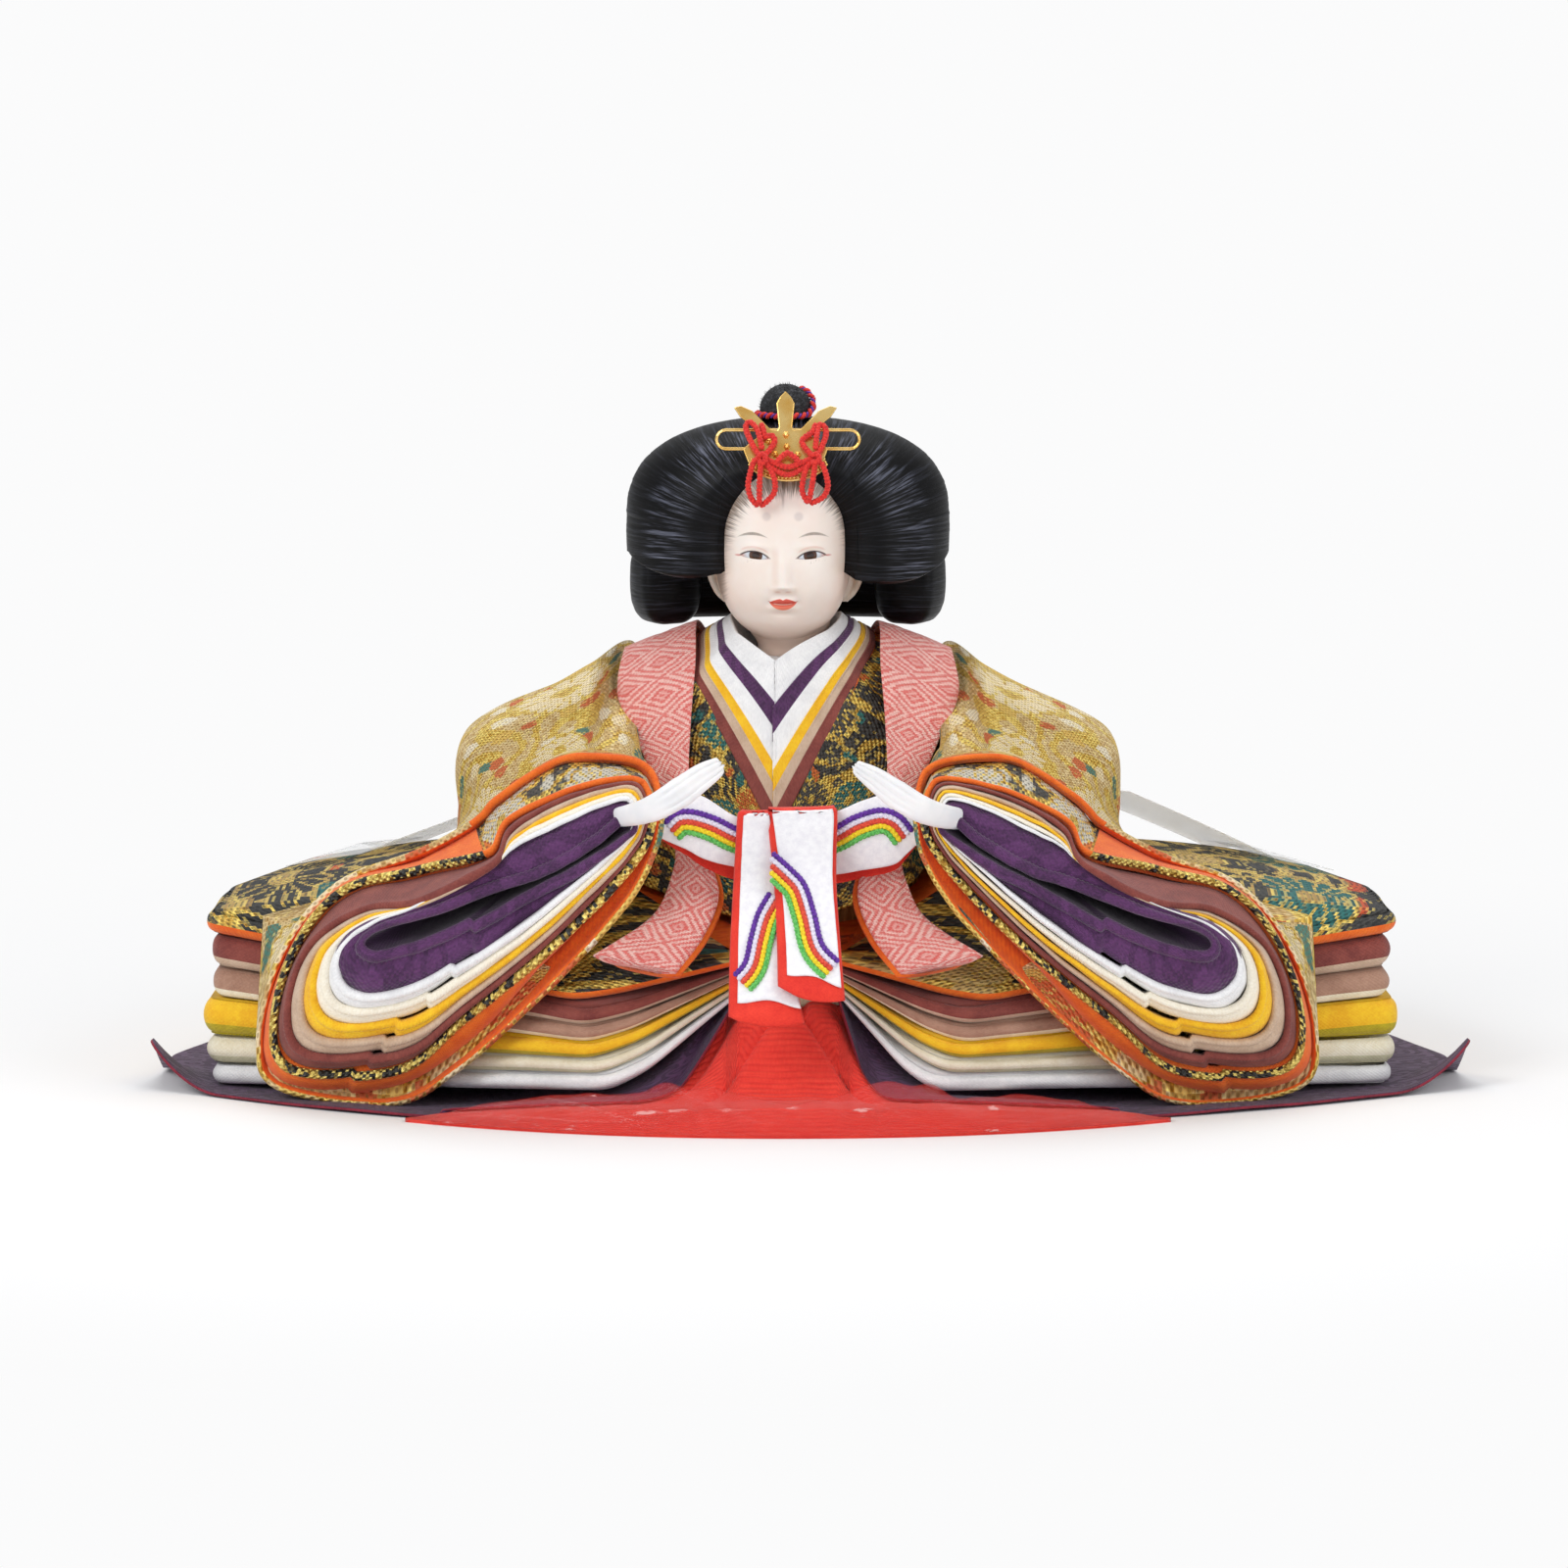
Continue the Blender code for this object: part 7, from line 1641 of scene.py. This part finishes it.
for share in np.concatenate([np.linspace(0, 0.2, 18)[:-1] ** 1.6 / 0.2**0.6, np.linspace(0.2, 1, 90)]):
    level = hair_top - (hair_top - foot) * share**1.35
    rows.append(dome_place(level))
lip = rows[-1]
inner_middle = np.array((0, head_middle, 0))
for angle in np.linspace(0.2, 1, 7) * math.pi / 2:
    drawn = lip.copy()
    pull = 0.0012 * math.sin(angle)
    flat = (lip - inner_middle) * (1, 1, 0)
    flat /= np.linalg.norm(flat, axis=1)[:, None]
    drawn = drawn - flat * pull * (1 - 0.7 * at_window)[:, None]
    drawn[:, 2] -= 0.0007 * math.sin(angle) * (1 - at_window)
    rows.append(drawn)
for share in (0.25, 0.5, 0.75):
    drawn = rows[-1] * 1.0 if share == 0.25 else rows[-1].copy()
    flat = (lip - inner_middle) * (1, 1, 0)
    drawn = lip - flat * (0.05 + 0.42 * share) * np.where(at_window > 0.5, 0.55, 1)[:, None]
    drawn[:, 2] = lip[:, 2] + 0.004 * share * (1 - at_window) - 0.0006 * (1 - at_window)
    rows.append(drawn)
wings = skin("hair_front_mass", rows, "head", [wing_hair], around=True)
outwards(wings, cap=True)
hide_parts("hair_wings")

lobe_out, lobe_rear = 0.0310, 0.02934
lobe_path = np.array([
    (-lobe_out + 0.0046, 0.0046), (-lobe_out, 0.0135), (-0.0279, 0.0249), (-0.014, 0.0287), (0, lobe_rear),
    (0.014, 0.0287), (0.0279, 0.0249), (lobe_out, 0.0135), (lobe_out - 0.0046, 0.0046),
])
lobe_path = curve_through(np.column_stack([lobe_path, np.full(9, 0.1210)]), 130)
run = np.linspace(-1, 1, 130)
end_round = np.sqrt(np.clip(1 - np.clip((np.abs(run) - 0.88) / 0.12, 0, 1) ** 2.4, 0.0004, 1))
ahead = np.gradient(lobe_path, axis=0)
ahead /= np.linalg.norm(ahead, axis=1)[:, None]
outward = np.stack([-ahead[:, 1], ahead[:, 0], ahead[:, 2]], axis=1)
angle = np.arange(64) / 64 * 2 * math.pi
thick = 0.0086 * (0.72 + 0.28 * np.abs(run)) * end_round
tall = 0.0107 * end_round**0.5
round_side = np.sign(np.cos(angle)) * np.abs(np.cos(angle)) ** 0.6
round_up = np.sign(np.sin(angle)) * np.abs(np.sin(angle)) ** 0.75
comb = 1 + 0.012 * waves(angle / 6.2832 * 3, 541, 9, 3, 27)
rows = (
    lobe_path[:, None, :] + outward[:, None, :] * (thick[:, None] * (round_side * comb)[None, :])[..., None]
    + np.array((0, 0, 1)) * (tall[:, None] * (round_up * comb)[None, :])[..., None]
)
lobes = outwards(skin("hair_rear_mass", rows, "head", [lobe_hair], around=True), cap=True)
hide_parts("hair_back")

run = np.linspace(0, 1, 90)
tail_top = 0.1102
tail_path = np.stack([0 * run, 0.03106 + 0.00225 + 0.0108 * run**0.8, tail_top - 0.052 * run], axis=1)
half = 0.007 * (1 - 0.35 * run) * np.interp(run, (0, 0.58, 0.62, 0.66, 0.93, 1), (1, 0.98, 0.93, 0.98, 1, 0.55))
angle = np.arange(72) / 72 * 2 * math.pi
locks = 1 + 0.05 * waves(angle / 6.2832 * 2, 557, 9, 3, 21)
rows = tail_path[:, None, :] + np.stack([
    half[:, None] * (np.cos(angle) * locks)[None, :],
    0.00215 * np.interp(run, (0, 0.9, 1), (1, 1, 0.4))[:, None] * (np.sin(angle) * locks)[None, :],
    np.zeros((90, 72)),
], axis=-1)
hank = outwards(skin("hair_hank", rows, "head", [long_hair], around=True), cap=True)
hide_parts("hair_tail")
paper_tie, paint = finish_of("paper_tie", Roughness=0.75, Specular_IOR_Level=0.3)
fibre = noise(paint, object_place(paint, (900, 900, 300)), 1.0, 3.0)
fibre.step(0.3, 0.7).mix(dye(226, 222, 212), dye(244, 242, 236)).feed("Base Color")
relief(paint, fibre, 0.5, 0.0001)
tie_level = tail_top - 0.052 * 0.62
rows = []
for share in np.linspace(-1, 1, 16):
    level = tie_level + 0.0023 * share
    pinch = 1 + 0.05 * share**2
    rows.append(np.stack([
        0.0056 * pinch * np.cos(angle), 0.0408 - 0.0002 * share + 0.0029 * pinch * np.sin(angle) + 0.0 * angle,
        np.full(72, level) + 0.0002 * np.sin(5 * angle + share),
    ], axis=-1))
wrap = thickened(skin("paper_wrap", rows, "head", [paper_tie], around=True), 0.0003)
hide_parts("tail_tie")

knot_middle = np.array((-0.0005, -0.000875, 0.16383))
knot_radius = 0.0064
fuzz, paint = finish_of("knot_hair", Roughness=0.6, Specular_IOR_Level=0.45)
wool = noise(paint, object_place(paint), 1300.0, 4.0, 0.7)
curl = noise(paint, object_place(paint, (500, 500, 900)), 1.0, 3.0)
(wool.step(0.45, 0.75) * curl.step(0.35, 0.65)).mix(dye(18, 18, 21), dye(98, 100, 108)).feed("Base Color")
relief(paint, wool + curl, 1.0, 0.0005)
turn = np.arange(96) / 96 * 2 * math.pi
rows = []
for height in np.concatenate([[-0.24], np.linspace(-0.22, 1, 50)]):
    lean = math.asin(height)
    rough = 1 + 0.012 * waves(turn / 6.2832 * 4 + height, 571, 8, 2, 23)
    ring = np.stack([np.cos(turn) * math.cos(lean), np.sin(turn) * math.cos(lean), np.full(96, height)], axis=-1)
    rows.append(knot_middle + knot_radius * ring * rough[:, None])
knot = outwards(skin("hair_knot_ball", rows, "head", [fuzz], around=True), cap=True)
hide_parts("hair_topknot")
chance = np.random.default_rng(577)
tufts = []
count = 900
lean = np.arccos(chance.uniform(-0.15, 1, count))
turn = chance.uniform(0, 2 * math.pi, count)
start = np.stack([np.sin(lean) * np.cos(turn), np.sin(lean) * np.sin(turn), np.cos(lean)], axis=1)
drift = chance.normal(0, 0.35, (count, 3))
side = np.cross(start, drift)
side /= np.linalg.norm(side, axis=1)[:, None]
foot_place = knot_middle + start * knot_radius * 0.985
tip_place = foot_place + (start + drift) * chance.uniform(0.0003, 0.0008, count)[:, None]
corners = np.stack([foot_place - side * 0.00006, foot_place + side * 0.00006, tip_place], axis=1).reshape(-1, 3)
mesh = bpy.data.meshes.new("knot_fluff")
mesh.from_pydata(corners.tolist(), [], np.arange(count * 3).reshape(-1, 3).tolist())
mesh.materials.append(fuzz)
fluff = bpy.data.objects.new("knot_fluff", mesh)
bpy.context.scene.collection.objects.link(fluff)
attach(fluff, "head")
red_cord = cord_cloth("red_silk_cord", (236, 48, 34), (190, 20, 20))
purple_cord = braid_cloths[0]
place = np.linspace(0, 2 * math.pi, 200)
lift = -8 + 52 * np.clip(np.cos(place - math.radians(38)), 0, 1) ** 2
lift = np.radians(lift)
ring = knot_middle + (knot_radius + 0.0006) * np.stack([np.cos(place) * np.cos(lift), np.sin(place) * np.cos(lift), np.sin(lift)], axis=1)
for phase, cloth, word in ((0, red_cord, "red"), (math.pi, purple_cord, "purple")):
    wind = place * 20 + phase
    radial = (ring - knot_middle) / np.linalg.norm(ring - knot_middle, axis=1)[:, None]
    along = np.gradient(ring, axis=0)
    along /= np.linalg.norm(along, axis=1)[:, None]
    across = np.cross(radial, along)
    size = 0.0004 if phase == 0 else 0.00036
    path = curve_through(ring + size * (np.cos(wind)[:, None] * radial + np.sin(wind)[:, None] * across), 900)
    cord = outwards(skin("knot_cord_" + word, tube(path, 0.0005 if phase == 0 else 0.0003, 10, up=(0.3, 0.2, 1)), "head", [cloth], around=True))
    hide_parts("topknot_cord")


# Crown, its pin and the red cords
# A thin gilt plate with three blades stands on the front of the hair, with small studs and a beaded
# rim. A looped wire pin is set behind it. Braided red cords are knotted round it and hang as loops.
gold, paint = finish_of("gilt_plate", Roughness=0.2, Metallic=0.9)
worn = noise(paint, object_place(paint), 160.0, 3.0)
worn.step(0.3, 0.7).mix(dye(244, 190, 96), dye(255, 222, 146)).feed("Base Color")
(worn * 0.16 + 0.18).feed("Roughness")
relief(paint, worn, 0.1, 0.0002)
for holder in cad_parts["hair_pin"].material_slots:
    holder.material = gold
plate_foot, plate_front, plate_lean = 0.149, -0.0236, math.tan(math.radians(18))


def plate_face(level):
    """How far forward the front of the leaning plate lies at a height; below its foot it stays there."""
    return plate_front + np.clip(np.asarray(level) - plate_foot, 0, 1) * plate_lean


plate_half = np.array([
    (0, 0.1487), (0.0035, 0.1491), (0.0070, 0.1504), (0.0091, 0.1530), (0.0103, 0.1560), (0.0082, 0.1578),
    (0.0060, 0.1592), (0.0052, 0.1600), (0.0078, 0.1612), (0.0110, 0.1636), (0.0125, 0.1658), (0.0108, 0.1662),
    (0.0080, 0.1650), (0.0052, 0.1622), (0.0036, 0.1606), (0.0020, 0.1604), (0.0016, 0.1612), (0.0022, 0.1668),
    (0.0013, 0.1684), (0, 0.1697),
])
plate_line = np.vstack([plate_half, plate_half[-2:0:-1] * (-1, 1)]) + (-0.0006, 0)
mesh = bpy.data.meshes.new("crown_plate")
places = np.stack([plate_line[:, 0], plate_face(plate_line[:, 1]), plate_line[:, 1]], axis=1)
mesh.from_pydata(places.tolist(), [], [list(range(len(places)))])
mesh.materials.append(gold)
plate = bpy.data.objects.new("crown_plate", mesh)
bpy.context.scene.collection.objects.link(plate)
thickened(plate, 0.0008, offset=-1)
rounding = plate.modifiers.new("rounded_edges", "BEVEL")
rounding.width = 0.00022
rounding.segments = 3
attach(plate, "crown")
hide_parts("crown")
turn = np.arange(32) / 32 * 2 * math.pi
for index, (across, level) in enumerate((
    (-0.0005, 0.1594), (-0.0046, 0.1578), (0.0036, 0.1575), (-0.0003, 0.1566), (-0.0031, 0.1548), (0.0024, 0.1547),
)):
    rows = []
    for height, radius in ((0.0, 0.0), (0.0, 0.62), (0.06, 0.8), (0.16, 0.86), (0.3, 0.8), (0.4, 0.62), (0.5, 0.56), (0.72, 0.46), (0.86, 0.24), (0.9, 0.0)):
        petal = 1 + (0.16 * np.cos(6 * turn) if 0 < height < 0.35 else 0)
        ring = 0.00085 * radius * petal
        rows.append(np.stack([
            across + ring * np.cos(turn), plate_face(level) - 0.0003 - 0.0012 * height + ring * np.sin(turn) * plate_lean,
            level + ring * np.sin(turn),
        ], axis=-1))
    stud = outwards(skin("crown_stud_" + str(index), rows, "crown", [gold], around=True), cap=False)
rim_line_points = curve_through(
    [(-0.0095, 0.1525), (-0.0072, 0.1503), (-0.0036, 0.1490), (0, 0.1486), (0.0036, 0.1490), (0.0072, 0.1503), (0.0095, 0.1525)], 90
)
for index, (rise, radius) in enumerate(((0.0, 0.00032), (0.0013, 0.00028))):
    path = np.stack([
        rim_line_points[:, 0] * (1 - 0.06 * index), plate_face(rim_line_points[:, 1] + rise) - 0.0006,
        rim_line_points[:, 1] + rise,
    ], axis=1)
    outwards(skin("crown_rim_" + str(index), tube(path, radius, 12), "crown", [gold], around=True))
bead_count = 22
rows = []
beads = curve_through(rim_line_points, bead_count * 12)
pearl = 0.00008 + 0.00038 * np.abs(np.sin(np.arange(bead_count * 12) / 12 * math.pi))
path = np.stack([beads[:, 0] * 0.97, plate_face(beads[:, 1] + 0.00065) - 0.0007, beads[:, 1] + 0.00065], axis=1)
outwards(skin("crown_beads", tube(path, pearl, 12), "crown", [gold], around=True))

cord_lines = {
    "outer_left": ((-0.0061, 0.1538, 2), (-0.0080, 0.1535, 3), (-0.0092, 0.1502, 2), (-0.0096, 0.1470, 2), (-0.0088, 0.1443, 2), (-0.0071, 0.1423, 2)),
    "middle_left": ((-0.0065, 0.1538, 3), (-0.0067, 0.1508, 3), (-0.0069, 0.1470, 3), (-0.0069, 0.1426, 3)),
    "inner_left": ((-0.0061, 0.1538, 2), (-0.0043, 0.1513, 2), (-0.0032, 0.1486, 2), (-0.0033, 0.1459, 2), (-0.0047, 0.1440, 2), (-0.0068, 0.1423, 2)),
    "upper_left": ((-0.0064, 0.1540, 3), (-0.0080, 0.1562, 2), (-0.0095, 0.1590, 1), (-0.0102, 0.1612, 0), (-0.0094, 0.1624, 0), (-0.0080, 0.1615, 1), (-0.0070, 0.1595, 2), (-0.0062, 0.1560, 3)),
    "curl_left": ((-0.0061, 0.1543, 3), (-0.0044, 0.1560, 2), (-0.0032, 0.1580, 1), (-0.0040, 0.1593, 1), (-0.0055, 0.1590, 1), (-0.0060, 0.1608, 1), (-0.0066, 0.1622, 0)),
    "outer_right": ((0.0066, 0.1538, 2), (0.0083, 0.1524, 3), (0.0093, 0.1497, 2), (0.0096, 0.1470, 2), (0.0084, 0.1446, 2), (0.0052, 0.1430, 2)),
    "middle_right": ((0.0066, 0.1538, 3), (0.0063, 0.1508, 3), (0.0057, 0.1470, 3), (0.0050, 0.1432, 3)),
    "inner_right": ((0.0063, 0.1538, 2), (0.0045, 0.1516, 2), (0.0036, 0.1486, 2), (0.0035, 0.1459, 2), (0.0049, 0.1430, 2)),
    "upper_right": ((0.0066, 0.1540, 3), (0.0079, 0.1562, 2), (0.0091, 0.1590, 1), (0.0090, 0.1611, 0), (0.0076, 0.1617, 0), (0.0070, 0.1595, 2), (0.0066, 0.1560, 3)),
    "curl_right": ((0.0062, 0.1543, 3), (0.0043, 0.1562, 2), (0.0034, 0.1579, 1), (0.0044, 0.1591, 1), (0.0059, 0.1600, 1), (0.0068, 0.1622, 0)),
    "swag_low": ((-0.0061, 0.1538, 2), (-0.0039, 0.1516, 1), (-0.0001, 0.1500, 1), (0.0037, 0.1516, 1), (0.0064, 0.1538, 2)),
    "swag_high": ((-0.0061, 0.1542, 2), (-0.0033, 0.1529, 2), (-0.0001, 0.1519, 2), (0.0032, 0.1529, 2), (0.0064, 0.1542, 2)),
    "swag_bow": ((-0.0030, 0.1527, 3), (-0.0016, 0.1543, 3), (-0.0001, 0.1552, 3), (0.0015, 0.1543, 3), (0.0030, 0.1527, 3)),
    "knot_left": ((-0.0074, 0.1545, 4), (-0.0062, 0.1550, 4), (-0.0054, 0.1540, 4), (-0.0062, 0.1530, 4), (-0.0074, 0.1535, 4)),
    "knot_right": ((0.0056, 0.1535, 4), (0.0066, 0.1530, 4), (0.0076, 0.1540, 4), (0.0067, 0.1550, 4), (0.0056, 0.1546, 4)),
}
for word, places in cord_lines.items():
    line = curve_through(places, 90)
    forward = plate_face(line[:, 1]) - 0.0012 - 0.00055 * line[:, 2]
    cord = plaited(
        "crown_cord_" + word, np.stack([line[:, 0], forward, line[:, 1]], axis=1), 0.00068, "crown", red_cord, pitch=0.0009,
    )
    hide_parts("crown_cord")
